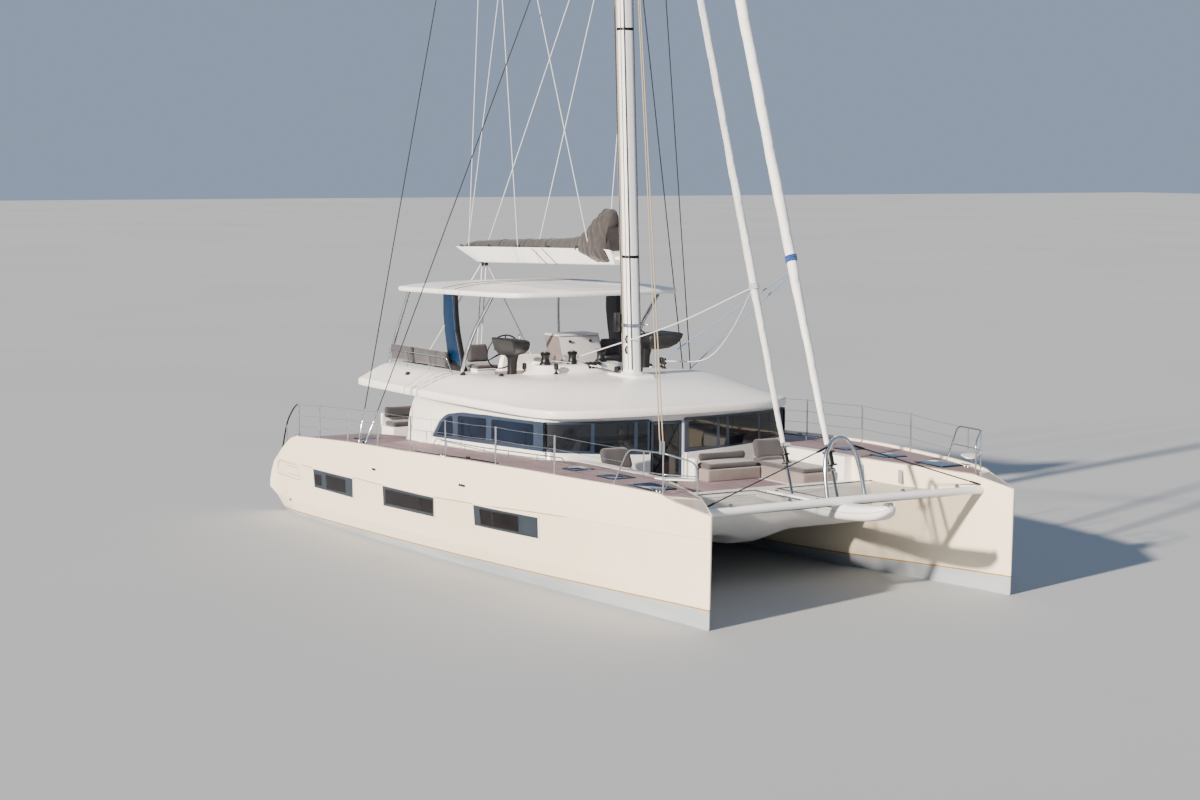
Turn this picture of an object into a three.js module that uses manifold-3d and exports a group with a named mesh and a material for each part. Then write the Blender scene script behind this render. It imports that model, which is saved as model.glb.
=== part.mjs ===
// Sailing catamaran with a flybridge, afloat.
// Frame: +X forward, +Y port, +Z up, millimetres. The origin lies on the centreline at the waterline, amidships.
// The starboard side is -Y. Pairs are built for port and mirrored to starboard.
import * as THREE from 'three';
import { mergeVertices } from 'three/addons/utils/BufferGeometryUtils.js';
import Module from 'manifold-3d';

const wasm = await Module();
wasm.setup();
const { Manifold, Mesh: SolidMesh } = wasm;

// Driving dimensions
const GAP = 0.3;                       // seam between touching pieces
const RUNNING = 0.8;                   // clearance round a pin or shaft
const PIN_SIDES = 24;
const HULL_CENTRE = 3700;              // hull centreline from the boat's centreline
const SOLE = 1950;                     // cockpit and saloon sole
const COAMING = 2500;                  // top of the bridgedeck's sides along the forward cockpit
const FOREDECK = 2060;                 // low deck forward of the forward cockpit, level with the nets
const TUNNEL_ROOF = 1150;              // underside of the bridgedeck
const NACELLE_BOTTOM = 750;
const BRIDGE_AFT = -8300;
const BRIDGE_FRONT = 6000;
const HOUSE_SIDE = 3300;               // outer face of the saloon sides
const HOUSE_AFT = -3900;
const HOUSE_FRONT = 2780;              // outer face of the front windows on the centreline
const WALL = 100;
const PANE = 24;
const ROOF_UNDERSIDE = 3430;
const ROOF_TOP = 4060;
const FLY_SOLE = 3620;
const HARDTOP_EDGE = 5880;
const MAST_FOOT = new THREE.Vector3(560, 0, 4190);
const MAST_HEAD_Z = 31500;
const MAST_RAKE = 0.053;               // how far the mast leans aft for each unit of height
const BEAM_X = 8950;
const BEAM_Z = 2200;
const BEAM_RADIUS = 125;
const CHAINPLATE = new THREE.Vector3(-4140, 4870, 2300);
const BOOM_PIVOT = new THREE.Vector3(110, 0, 6860);
const BOOM_PIN_RADIUS = 22;
const RUDDER_STOCK = new THREE.Vector3(-8300, 3720, -560);
const STOCK_RADIUS = 60;
const PROPELLER = new THREE.Vector3(-6950, HULL_CENTRE, -980);
const SHAFT_SLOPE = THREE.MathUtils.degToRad(8);
const SHAFT_RADIUS = 30;
const WHEEL_CENTRE = new THREE.Vector3(-2350, 1850, 4560);
const WHEEL_TILT = THREE.MathUtils.degToRad(18);
const WHEEL_SHAFT_RADIUS = 20;
const DOOR_PIN = new THREE.Vector3(2733, -848, SOLE);
const DOOR_PIN_RADIUS = 8;
const ARM_PIVOT = new THREE.Vector3(-7600, 0, 930);
const ARM_END = new THREE.Vector3(-8640, 0, 900);    // where the arms carry the tender platform
const ARM_Y = 1700;
const ARM_AXLE_RADIUS = 40;
const PLATFORM_AXLE_RADIUS = 30;

// Colours, roughness and metalness of the finishes
const FINISH = {
  gelcoat: { color: 0xf4eddc, roughness: 0.3 },
  white: { color: 0xf3f2ee, roughness: 0.35 },
  antifouling: { color: 0x9aa3a8, roughness: 0.8 },
  bronze: { color: 0xa98b57, roughness: 0.35, metalness: 0.9 },
  steel: { color: 0xc8ccd0, roughness: 0.25, metalness: 0.95 },
  glass: { color: 0x2a3640, roughness: 0.08, metalness: 0.2 },
  navy: { color: 0x16375e, roughness: 0.25 },
  black: { color: 0x15171a, roughness: 0.4 },
  cushion: { color: 0x8d8f93, roughness: 0.9 },
  canvas: { color: 0x777c84, roughness: 0.9 },
  sail: { color: 0xf1f1ee, roughness: 0.8 },
  net: { color: 0x4b5056, roughness: 0.9 },
  oak: { color: 0xa98762, roughness: 0.6 },
};

// Solids: small helpers that turn three.js shapes into closed bodies and back
const X = new THREE.Vector3(1, 0, 0);
const Y = new THREE.Vector3(0, 1, 0);
const Z = new THREE.Vector3(0, 0, 1);
const v3 = (x, y, z) => new THREE.Vector3(x, y, z);

function solidOf(geometry) {
  const bare = geometry.clone();
  bare.deleteAttribute('normal');
  bare.deleteAttribute('uv');
  const merged = mergeVertices(bare, 0.001);
  return new Manifold(new SolidMesh({
    numProp: 3,
    vertProperties: new Float32Array(merged.attributes.position.array),
    triVerts: new Uint32Array(merged.index.array),
  }));
}

function geometryOf(solid) {
  const mesh = solid.getMesh();
  const geometry = new THREE.BufferGeometry();
  geometry.setAttribute('position', new THREE.BufferAttribute(mesh.vertProperties, 3));
  geometry.setIndex(new THREE.BufferAttribute(mesh.triVerts, 1));
  geometry.computeVertexNormals();
  return geometry;
}

const shapeOf = (points) => new THREE.Shape(points.map(([a, b]) => new THREE.Vector2(a, b)));
const extruded = (points, depth, matrix) => solidOf(
  new THREE.ExtrudeGeometry(shapeOf(points), { depth, bevelEnabled: false }).applyMatrix4(matrix));

// An outline of [x, y] points, from height z0 to z1
const plate = (points, z0, z1) => extruded(points, z1 - z0, new THREE.Matrix4().makeTranslation(0, 0, z0));

// An outline of [x, z] points, from y0 to y1
function slabY(points, y0, y1) {
  const turn = new THREE.Matrix4().makeBasis(X, Z, Y.clone().negate());
  return extruded(points, y1 - y0, turn.setPosition(0, y1, 0));
}

// An outline of [y, z] points, from x0 to x1
function slabX(points, x0, x1) {
  const turn = new THREE.Matrix4().makeBasis(Y, Z, X);
  return extruded(points, x1 - x0, turn.setPosition(x0, 0, 0));
}

function box(x0, x1, y0, y1, z0, z1) {
  const geometry = new THREE.BoxGeometry(x1 - x0, y1 - y0, z1 - z0);
  return solidOf(geometry.translate((x0 + x1) / 2, (y0 + y1) / 2, (z0 + z1) / 2));
}

// A straight rod between two points
function rod(from, to, radius, sides = 8, endRadius = radius) {
  const along = to.clone().sub(from);
  const geometry = new THREE.CylinderGeometry(endRadius, radius, along.length(), sides);
  geometry.applyQuaternion(new THREE.Quaternion().setFromUnitVectors(Y, along.clone().normalize()));
  return solidOf(geometry.translate(...from.clone().add(to).multiplyScalar(0.5).toArray()));
}

// A bent tube through a list of points: rods with a ball at each bend
function bentTube(points, radius, sides = 8) {
  const parts = points.slice(1).map((point, i) => rod(points[i], point, radius, sides));
  const balls = points.slice(1, -1).map((point) => solidOf(
    new THREE.SphereGeometry(radius * 1.02, sides, 4).translate(point.x, point.y, point.z)));
  return joined(...parts, ...balls);
}

// A closed skin through rings of points, all with the same count
function loft(rings) {
  const count = rings[0].length;
  const positions = rings.flat(2);
  const triangles = [];
  rings.slice(1).forEach((_, r) => {
    for (let i = 0; i < count; i += 1) {
      const j = (i + 1) % count;
      const [a, b, c, d] = [r * count + i, r * count + j, (r + 1) * count + j, (r + 1) * count + i];
      triangles.push(a, b, c, a, c, d);
    }
  });
  const last = (rings.length - 1) * count;
  for (let i = 1; i < count - 1; i += 1) {
    triangles.push(0, i + 1, i);
    triangles.push(last, last + i, last + i + 1);
  }
  const geometry = new THREE.BufferGeometry();
  geometry.setAttribute('position', new THREE.Float32BufferAttribute(positions, 3));
  geometry.setIndex(signedVolume(positions, triangles) > 0 ? triangles : triangles.reverse());
  return solidOf(geometry);
}

function signedVolume(positions, triangles) {
  const at = (k) => v3(...positions.slice(3 * k, 3 * k + 3));
  let sum = 0;
  for (let t = 0; t < triangles.length; t += 3) {
    sum += at(triangles[t]).dot(at(triangles[t + 1]).cross(at(triangles[t + 2])));
  }
  return sum / 6;
}

// A straight tube along a line, with its own radius at each of a few points
function taperedTube(points, radii, sides) {
  const along = points[points.length - 1].clone().sub(points[0]).normalize();
  const sideways = Y.clone();
  const across = along.clone().cross(sideways);
  return loft(points.map((point, k) => Array.from({ length: sides }, (_, i) => {
    const turn = i * 2 * Math.PI / sides;
    return point.clone().addScaledVector(sideways, radii[k] * Math.sin(turn))
      .addScaledVector(across, radii[k] * Math.cos(turn)).toArray();
  })));
}

const joined = (...solids) => solids.reduce((all, next) => all.add(next));
const without = (solid, ...cutters) => cutters.reduce((rest, cutter) => rest.subtract(cutter), solid);
const mirrored = (solid) => solid.mirror([0, 1, 0]);

// Cuts a piece back so that it lies just clear of its neighbour along the directions named
function clearOf(solid, neighbour, directions) {
  const offsets = { up: [0, 0, GAP], down: [0, 0, -GAP], in: [0, -GAP, 0], out: [0, GAP, 0], aft: [-GAP, 0, 0] };
  return directions.reduce((rest, name) => rest.subtract(neighbour.translate(offsets[name])), solid);
}

const group = new THREE.Group();

function add(name, solid, finish, pivot = v3(0, 0, 0)) {
  const mesh = new THREE.Mesh(
    geometryOf(solid.translate(pivot.clone().negate().toArray())),
    new THREE.MeshStandardMaterial({ metalness: 0, ...FINISH[finish] }));
  mesh.name = name;
  mesh.position.copy(pivot);
  group.add(mesh);
}

function addPair(name, portSolid, finish, pivot = v3(0, 0, 0)) {
  add(`port_${name}`, portSolid, finish, pivot);
  add(`starboard_${name}`, mirrored(portSolid), finish, v3(pivot.x, -pivot.y, pivot.z));
}

// Hull: one row for each station, from the transom to the stem, port side
// x; inner deck edge y; outer deck edge y and z; outer knuckle y and z; chine y and z;
// outer and inner waterline y; keel line y and z; inner knuckle y and z
const STATIONS = [
  [-9700, 2900, 4850, 1950, 4880, 1150, 4700, 430, 4450, 3000, 3720, -150, 2880, 350],
  [-8300, 2800, 4950, 2080, 4950, 1180, 4740, 440, 4560, 2850, 3720, -400, 2760, 400],
  [-6500, 2750, 5000, 2210, 4990, 1250, 4760, 450, 4580, 2780, 3710, -620, 2620, 430],
  [-4000, 2750, 5010, 2340, 5005, 1340, 4760, 470, 4560, 2780, 3700, -740, 2530, 430],
  [-1000, 2750, 5020, 2440, 5015, 1450, 4730, 500, 4480, 2790, 3690, -800, 2500, 440],
  [2000, 2750, 4980, 2555, 4965, 1600, 4620, 550, 4340, 2840, 3680, -800, 2520, 450],
  [4500, 2760, 4800, 2600, 4760, 1720, 4440, 600, 4180, 3060, 3700, -740, 2720, 470],
  [6500, 2880, 4530, 2600, 4480, 1790, 4230, 640, 4030, 3420, 3750, -640, 3150, 520],
  [7900, 3200, 4290, 2575, 4240, 1800, 4060, 680, 3950, 3640, 3800, -560, 3480, 640],
  [8700, 3440, 4130, 2520, 4070, 1790, 3960, 700, 3900, 3740, 3830, -500, 3650, 690],
  [9660, 3810, 3890, 2290, 3885, 1780, 3880, 720, 3875, 3825, 3850, -420, 3820, 720],
];

function hullRing([x, yIn, yOut, zDeck, yKn, zKn, yCh, zCh, yWlOut, yWlIn, yKeel, zKeel, yInKn, zInKn]) {
  const keelHalf = Math.min(110, (yWlOut - yWlIn) * 0.3);
  const bilge = 0.72;
  return [
    [x, yIn, zDeck - 20], [x, yOut, zDeck], [x, yKn, zKn], [x, yCh, zCh], [x, yWlOut, 0],
    [x, yKeel + (yWlOut - yKeel) * bilge, zKeel * 0.62], [x, yKeel + keelHalf, zKeel],
    [x, yKeel - keelHalf, zKeel], [x, yKeel - (yKeel - yWlIn) * bilge, zKeel * 0.62],
    [x, yWlIn, 0], [x, yInKn, zInKn],
  ];
}

const STERN_CUT = [
  [-8310, 2400], [-8310, 2075], [-9330, 1300], [-9500, 1120], [-9590, 930], [-9590, 700], [-9500, 430],
  [-9330, 150], [-9150, -500], [-10500, -500], [-10500, 2400],
];
const STEM_CUT = [[9660, 2700], [9600, 0], [9500, -200], [9250, -400], [8800, -700], [10400, -700], [10400, 2700]];

// Stern steps: aft end, forward end and tread height of each
const STEPS = [[-8160, -7800, 1740], [-8520, -8160, 1380], [-8880, -8520, 1020], [-10000, -8880, 640]];

function hull() {
  const skin = loft(STATIONS.map(hullRing));
  const steps = STEPS.map(([aft, fore, tread]) => box(aft - 1, fore, 2000, 4640, tread, 2600));
  const rudderTube = rod(RUDDER_STOCK.clone().setZ(-900), RUDDER_STOCK.clone().setZ(260), STOCK_RADIUS + RUNNING, PIN_SIDES);
  const sternTube = rod(alongShaft(1300), alongShaft(2700), SHAFT_RADIUS + RUNNING, PIN_SIDES);
  return without(skin, slabY(STERN_CUT, 2000, 5500), slabY(STEM_CUT, 3000, 5000), ...steps,
    rudderTube, sternTube);
}

// A point on the shaft line, a distance forward of the propeller
const alongShaft = (distance) => PROPELLER.clone().add(
  v3(Math.cos(SHAFT_SLOPE), 0, Math.sin(SHAFT_SLOPE)).multiplyScalar(distance));

// Fixed underwater parts: keel and shaft bracket
const foilRing = (cx, cy, z, chord, thickness) => [
  [0.5, 0], [0.36, 0.42], [0.1, 0.5], [-0.25, 0.33], [-0.5, 0.05], [-0.5, -0.05], [-0.25, -0.33], [0.1, -0.5],
  [0.36, -0.42],
].map(([u, w]) => [cx + u * chord, cy + w * thickness, z]);

function keel(hullSolid) {
  const fin = loft([
    foilRing(350, 3690, -1550, 3100, 300), foilRing(300, 3690, -1200, 3500, 340),
    foilRing(250, 3690, -500, 4100, 400),
  ]);
  return clearOf(fin, hullSolid, ['down']);
}

function shaftBracket(hullSolid) {
  const barrel = rod(alongShaft(110), alongShaft(290), 58, 16);
  const arm = box(-6820, -6700, HULL_CENTRE - 16, HULL_CENTRE + 16, -930, -400);
  const bracket = without(joined(barrel, arm), rod(alongShaft(50), alongShaft(350), SHAFT_RADIUS + RUNNING, PIN_SIDES));
  return clearOf(bracket, hullSolid, ['down']);
}

// Turning underwater parts: rudder and propeller
function rudder() {
  const stock = rod(RUDDER_STOCK.clone().setZ(-620), RUDDER_STOCK.clone().setZ(240), STOCK_RADIUS, PIN_SIDES);
  const blade = loft([
    foilRing(RUDDER_STOCK.x - 70, RUDDER_STOCK.y, -1480, 520, 70),
    foilRing(RUDDER_STOCK.x - 70, RUDDER_STOCK.y, -1380, 620, 100),
    foilRing(RUDDER_STOCK.x - 60, RUDDER_STOCK.y, -520, 760, 130),
  ]);
  return joined(blade, stock);
}

function propeller() {
  const forward = alongShaft(1).sub(PROPELLER);
  const shaft = rod(alongShaft(-40), alongShaft(2650), SHAFT_RADIUS, PIN_SIDES);
  const hub = rod(alongShaft(-150), alongShaft(90), 50, 16, 66);
  const bladeOutline = [[-45, 0], [-95, 110], [-105, 200], [-60, 285], [0, 305], [60, 285], [105, 200],
    [95, 110], [45, 0]];
  const blades = [0, 1, 2, 3].map((i) => {
    const blade = new THREE.ExtrudeGeometry(shapeOf(bladeOutline), { depth: 14, bevelEnabled: false });
    blade.translate(0, 0, -7).rotateY(THREE.MathUtils.degToRad(58)).rotateX(i * Math.PI / 2);
    return solidOf(blade.rotateY(-SHAFT_SLOPE).translate(PROPELLER.x, PROPELLER.y, PROPELLER.z)
      .translate(forward.x * -20, 0, forward.z * -20));
  });
  return joined(shaft, hub, ...blades);
}

// Bridgedeck: tunnel roof, nacelle, soles and foredeck, between the hulls
const BRIDGE_SECTION = [
  [3400, COAMING], [-3400, COAMING], [-3400, TUNNEL_ROOF], [-1000, TUNNEL_ROOF], [-800, 900],
  [-450, NACELLE_BOTTOM], [450, NACELLE_BOTTOM], [800, 900], [1000, TUNNEL_ROOF], [3400, TUNNEL_ROOF],
];
const BRIDGE_PROFILE = [
  [BRIDGE_AFT, COAMING], [BRIDGE_AFT, 1200], [-7600, 600], [4300, 600], [5200, 800], [5700, 1080],
  [BRIDGE_FRONT, 1450], [BRIDGE_FRONT, COAMING],
];
const FORWARD_COCKPIT = { x0: 2700, x1: 5400, halfWidth: 2600 };

function bridgedeck(portHull) {
  const block = slabX(BRIDGE_SECTION, BRIDGE_AFT, BRIDGE_FRONT).intersect(slabY(BRIDGE_PROFILE, -3500, 3500));
  const cuts = [
    box(BRIDGE_AFT - 10, FORWARD_COCKPIT.x0, -3500, 3500, SOLE, 3000),
    box(FORWARD_COCKPIT.x0 - 10, FORWARD_COCKPIT.x1, -FORWARD_COCKPIT.halfWidth, FORWARD_COCKPIT.halfWidth,
      SOLE, 3000),
    box(FORWARD_COCKPIT.x1 - 10, BRIDGE_FRONT + 10, -3500, 3500, FOREDECK, 3000),
  ];
  const portBank = joined(portHull.translate([0, -GAP, 0]), portHull.translate([0, -GAP, 400]));
  return without(block, ...cuts, portBank, mirrored(portBank));
}

// Saloon: outline of the outer face, port half from aft to the centreline
const HOUSE_HALF = [
  [HOUSE_AFT, HOUSE_SIDE], [1750, HOUSE_SIDE], [2050, 3220], [2250, 2980], [2450, 2400], [2640, 1600],
  [2750, 800],
];
const bothHalves = (half, front) => [
  ...half, ...(front === undefined ? [] : [[front, 0]]), ...[...half].reverse().map(([x, y]) => [x, -y]),
].reverse();

// The same outline moved inward by a distance
function inset(outline, distance) {
  const count = outline.length;
  return outline.map((point, i) => {
    const before = outline[(i + count - 1) % count];
    const after = outline[(i + 1) % count];
    const edgeIn = new THREE.Vector2(point[0] - before[0], point[1] - before[1]).normalize();
    const edgeOut = new THREE.Vector2(after[0] - point[0], after[1] - point[1]).normalize();
    const normal = new THREE.Vector2(-edgeIn.y - edgeOut.y, edgeIn.x + edgeOut.x).normalize();
    const slant = normal.dot(new THREE.Vector2(-edgeIn.y, edgeIn.x));
    return [point[0] + normal.x * distance / slant, point[1] + normal.y * distance / slant];
  });
}

// Glazing: the side band's outline seen from the side, and the openings behind it
const SIDE_BAND = [
  [-3150, 2560], [2150, 2700], [2150, 3330], [-1700, 3230], [-2450, 3120], [-2850, 2900],
];
const SIDE_PANES = [[-2950, -1720], [-1600, 120], [240, 1990]];
const FRONT_BAND = { x0: 2060, z0: 2480, z1: 3330 };
const FRONT_PANES = [[-2900, -2000], [-1880, -1060], [100, 960], [1080, 1960], [2080, 2900]];
const FRONT_DOOR = { y0: -880, y1: -20, z1: 3300 };
const AFT_DOOR = { half: 1800, z1: 3280 };

function saloonWalls(portHull) {
  const outer = bothHalves(HOUSE_HALF, HOUSE_FRONT);
  const posts = joined(sidePost(), mirrored(sidePost()));
  const ring = without(plate(outer, SOLE + GAP, ROOF_UNDERSIDE - GAP),
    plate(inset(outer, WALL), SOLE - 100, ROOF_UNDERSIDE + 100)).add(posts);
  const band = slabY(inset(SIDE_BAND, -GAP), HOUSE_SIDE - PANE - GAP, HOUSE_SIDE + 50);
  const panes = SIDE_PANES.map(([a, b]) => slabY(SIDE_BAND, HOUSE_SIDE - 300, HOUSE_SIDE + 50)
    .intersect(box(a, b, 2000, 4000, 2600, 3260)));
  const front = frontBand(GAP).add(frontDoorway());
  const frontPanes = FRONT_PANES.map(([a, b]) => box(1900, 3200, a, b, FRONT_BAND.z0 + 60, FRONT_BAND.z1 - 60));
  const aftDoorway = box(HOUSE_AFT - 50, HOUSE_AFT + WALL + 50, -AFT_DOOR.half, AFT_DOOR.half,
    SOLE + 40, AFT_DOOR.z1);
  let walls = without(ring, band, mirrored(band), ...panes, ...panes.map(mirrored), front, ...frontPanes,
    aftDoorway, doorPin(DOOR_PIN_RADIUS + RUNNING, SOLE - 10, 3390));
  walls = clearOf(walls, portHull, ['up', 'in']);
  return clearOf(walls, mirrored(portHull), ['up', 'out']);
}

// The swept post that carries the house side on past the aft bulkhead, seen from the side
const SIDE_POST = [
  [-3200, ROOF_UNDERSIDE - GAP], [-3700, ROOF_UNDERSIDE - GAP], [-4110, 3070], [-4350, 2780], [-4500, 2420],
  [-4560, 2200], [-3200, 2200],
];
const sidePost = () => slabY(SIDE_POST, HOUSE_SIDE - 60, HOUSE_SIDE + 60);

const frontDoorway = () => box(2300, 3200, FRONT_DOOR.y0, FRONT_DOOR.y1, SOLE + 40, FRONT_DOOR.z1);

// The band of front glass, with room round it for the seam
function frontBand(margin) {
  const outer = bothHalves(HOUSE_HALF, HOUSE_FRONT);
  const skin = without(plate(outer, FRONT_BAND.z0 - margin, FRONT_BAND.z1 + margin),
    plate(inset(outer, PANE + margin), 2000, 3900));
  return skin.intersect(box(FRONT_BAND.x0 + 100 - margin, 3200, -3200, 3200, 2000, 3900));
}

function frontGlass(side, hulls) {
  const [y0, y1] = side > 0 ? [FRONT_DOOR.y1 + GAP, 3300] : [-3300, FRONT_DOOR.y0 - GAP];
  return clearOf(frontBand(0).intersect(box(2000, 3200, y0, y1, 2000, 3900)), hulls, ['up', 'in', 'out']);
}

const doorPin = (radius, z0, z1) => rod(DOOR_PIN.clone().setZ(z0), DOOR_PIN.clone().setZ(z1), radius, PIN_SIDES);

function forwardDoor() {
  const [y0, y1] = [FRONT_DOOR.y0 + 18, FRONT_DOOR.y1 - 8];
  const x = DOOR_PIN.x;
  const leaf = box(x - 20, x + 20, y0, y1, SOLE + 46, FRONT_DOOR.z1 - 6);
  const hole = box(x - 40, x + 40, y0 + 90, y1 - 90, SOLE + 140, FRONT_DOOR.z1 - 96);
  const pane = box(x - 8, x + 8, y0 + 40, y1 - 40, SOLE + 90, FRONT_DOOR.z1 - 50);
  return joined(without(leaf, hole), pane, doorPin(DOOR_PIN_RADIUS, SOLE + 5, 3380));
}

// Aft bulkhead: a fixed pane inside, a sliding door outside it
function aftPanel(x0, x1, y0, y1, margin) {
  const leaf = box(x0, x1, y0, y1, SOLE + 40 + margin, AFT_DOOR.z1 - margin);
  const hole = box(x0 - 5, x1 + 5, y0 + 80, y1 - 80, SOLE + 130, AFT_DOOR.z1 - 90);
  const pane = box(x0 + 12, x1 - 12, y0 + 40, y1 - 40, SOLE + 90, AFT_DOOR.z1 - 50);
  return joined(without(leaf, hole), pane);
}

function slidingDoor() {
  const shoe = (y) => box(HOUSE_AFT + 10, HOUSE_AFT + 40, y, y + 120, SOLE + 40.5, SOLE + 60);
  return joined(aftPanel(HOUSE_AFT + 5, HOUSE_AFT + 45, -50, AFT_DOOR.half - 6, 6), shoe(60), shoe(1560));
}

// Roof that is also the flybridge deck: one row per level with its height and the share of the outline's
// length kept forward, aft and across
const ROOF_HALF = [
  [-7250, 2600], [-7200, 3250], [-7050, 3420], [-3600, 3560], [0, 3540], [1500, 3460], [2150, 3300],
  [2480, 2950], [2750, 2200], [2900, 1100],
];
const ROOF_FRONT = 2950;
const ROOF_LEVELS = [
  [ROOF_UNDERSIDE, 0.985, 0.995, 0.985], [3480, 1, 1, 1], [3610, 1, 1, 1], [3680, 0.97, 0.998, 0.975],
  [3830, 0.83, 0.996, 0.87], [3960, 0.65, 0.994, 0.77], [4030, 0.5, 0.99, 0.7], [ROOF_TOP, 0.42, 0.985, 0.66],
];
const FLY_WELL = [
  [-6950, -2250], [-1900, -2250], [-1750, -2100], [-1750, 2100], [-1900, 2250], [-6950, 2250],
];
const MAST_PAD = { x0: 60, x1: 1050, half: 380 };

function roof() {
  const outline = bothHalves(ROOF_HALF, ROOF_FRONT);
  const rings = ROOF_LEVELS.map(([z, fore, aft, across]) => outline.map(
    ([x, y]) => [x > 0 ? x * fore : x * aft, y * across, z]));
  const well = plate(FLY_WELL, FLY_SOLE, 4500);
  const aftGate = box(-7400, -6900, -700, 700, FLY_SOLE, 4500);
  const pad = slabX([[-MAST_PAD.half - 90, ROOF_TOP - 60], [MAST_PAD.half + 90, ROOF_TOP - 60],
    [MAST_PAD.half, MAST_FOOT.z], [-MAST_PAD.half, MAST_FOOT.z]], MAST_PAD.x0, MAST_PAD.x1);
  return without(loft(rings), well, aftGate).add(pad);
}

// Flybridge fittings
function helmConsole() {
  const profile = [
    [-2050, FLY_SOLE + GAP], [-1800, FLY_SOLE + GAP], [-1800, 4350], [-1480, 4560], [-1460, 4700], [-1960, 4900],
    [-2120, 4620],
  ];
  const body = slabY(profile, WHEEL_CENTRE.y - 330, WHEEL_CENTRE.y + 290);
  return without(body, wheelShaft(WHEEL_SHAFT_RADIUS + RUNNING, 20, 460));
}

// The wheel's shaft line runs forward and down into the console
const wheelAxis = v3(Math.cos(WHEEL_TILT), 0, -Math.sin(WHEEL_TILT));
const wheelShaft = (radius, back, length) => rod(
  WHEEL_CENTRE.clone().addScaledVector(wheelAxis, -back),
  WHEEL_CENTRE.clone().addScaledVector(wheelAxis, length), radius, PIN_SIDES);

function helmWheel() {
  const turn = new THREE.Quaternion().setFromUnitVectors(Z, wheelAxis);
  const placed = (geometry) => solidOf(
    geometry.applyQuaternion(turn).translate(...WHEEL_CENTRE.toArray()));
  const rim = placed(new THREE.TorusGeometry(400, 17, 6, 28));
  const spokes = [0, 1, 2].map((i) => placed(
    new THREE.BoxGeometry(395, 34, 14).translate(200, 0, 0).rotateZ(i * 2 * Math.PI / 3 + Math.PI / 2)));
  return joined(rim, ...spokes, wheelShaft(55, 12, 30), wheelShaft(WHEEL_SHAFT_RADIUS, 0, 430));
}

function flybridgeSofa(roofSolid) {
  const bench = box(-6900, -4650, 1500, 2240, FLY_SOLE, 3960);
  const back = slabX([[2425, 3950], [2590, 3950], [2650, 4500], [2490, 4520]], -6970, -3840);
  const root = slabX([[2060, 3900], [2540, 3900], [2540, 4200], [2300, 4200], [2060, 4080]], -6850, -4700);
  const plinth = box(-4700, -3400, 1700, 2100, FLY_SOLE, 3700);
  const sofa = joined(bench, back, root, plinth, helmSeat());
  return clearOf(clearOf(sofa, roofSolid, ['up']), roofSolid, ['in']);
}

function helmSeat() {
  const post = box(-3500, -3050, 1650, 2200, FLY_SOLE, 4090);
  const seat = box(-3560, -2990, 1560, 2240, 4080, 4200);
  const back = slabY([[-3560, 4180], [-3440, 4180], [-3500, 4700], [-3610, 4700]], 1580, 2220);
  return joined(post, seat, back);
}

function flybridgeBar() {
  const profile = [[-3200, FLY_SOLE + GAP], [-2060, FLY_SOLE + GAP], [-2060, 4200], [-2560, 4900], [-3200, 4900]];
  return slabY(profile, -620, 980);
}

// Winches on a raised pod forward of the flybridge: x, y of each drum
const WINCHES = [[-1260, -1300], [-1180, -600], [-1400, 330]];
function winchDeck(roofSolid) {
  const pod = loft([[4000, 0], [4290, 80], [4300, 100]].map(([z, d]) => [
    [-1640 + d, 700 - d, z], [-1640 + d, -1560 + d, z], [-900 - d, -1560 + d, z], [-820 - d, -300, z],
    [-900 - d, 700 - d, z]]));
  const profile = [[0, 0], [150, 0], [150, 40], [95, 60], [88, 130], [110, 200], [118, 240], [0, 240]];
  const drums = WINCHES.map(([x, y]) => solidOf(
    new THREE.LatheGeometry(profile.map(([r, h]) => new THREE.Vector2(r, h)), 16)
      .rotateX(Math.PI / 2).translate(x, y, 4299)));
  return clearOf(joined(pod, ...drums), roofSolid, ['up']);
}

// Hardtop over the flybridge and what holds it up
const HARDTOP_HALF = [[-7000, 2250], [-6900, 2420], [-4000, 2480], [-1300, 2420], [-900, 2150], [-760, 1200]];
const HARDTOP_LEVELS = [
  [HARDTOP_EDGE, 0.97, 0.95], [HARDTOP_EDGE + 50, 1, 1], [HARDTOP_EDGE + 110, 1, 1],
  [HARDTOP_EDGE + 210, 0.9, 0.8], [HARDTOP_EDGE + 290, 0.7, 0.5], [HARDTOP_EDGE + 310, 0.5, 0.3],
];
const hardtopRise = (x) => (x + 4000) * 0.02;

function hardtop() {
  const outline = bothHalves(HARDTOP_HALF, -720);
  return loft(HARDTOP_LEVELS.map(([z, along, across]) => outline.map(([x, y]) => {
    const shrunk = -3900 + (x + 3900) * along;
    return [shrunk, y * across, z + hardtopRise(shrunk)];
  })));
}

function blade(roofSolid, topSolid) {
  const head = HARDTOP_EDGE + 70;
  const profile = [[-4380, head], [-3720, head], [-3560, 5000], [-3250, 3900], [-4150, 3900], [-4330, 5000]];
  const shape = slabY(profile, 2290, 2390);
  return clearOf(clearOf(clearOf(shape, roofSolid, ['up']), roofSolid, ['in']), topSolid, ['down']);
}

// A round strut from the flybridge coaming to a place x, y under the hardtop
function strut(foot, x, y, roofSolid, topSolid) {
  const head = v3(x, y, HARDTOP_EDGE + 60 + hardtopRise(x));
  return clearOf(clearOf(rod(foot, head, 32, 10), roofSolid, ['up']), topSolid, ['down']);
}

// Rig
const mastAt = (z) => v3(MAST_FOOT.x - MAST_RAKE * (z - MAST_FOOT.z), 0, z);
const SPREADER_Z = 18600;
const HOUNDS_Z = 28400;
const LOWERS_Z = 18300;
const CAP_AIM = mastAt(33900);
const spreaderTip = () => CHAINPLATE.clone().lerp(
  CAP_AIM, (SPREADER_Z - CHAINPLATE.z) / (CAP_AIM.z - CHAINPLATE.z));

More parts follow.
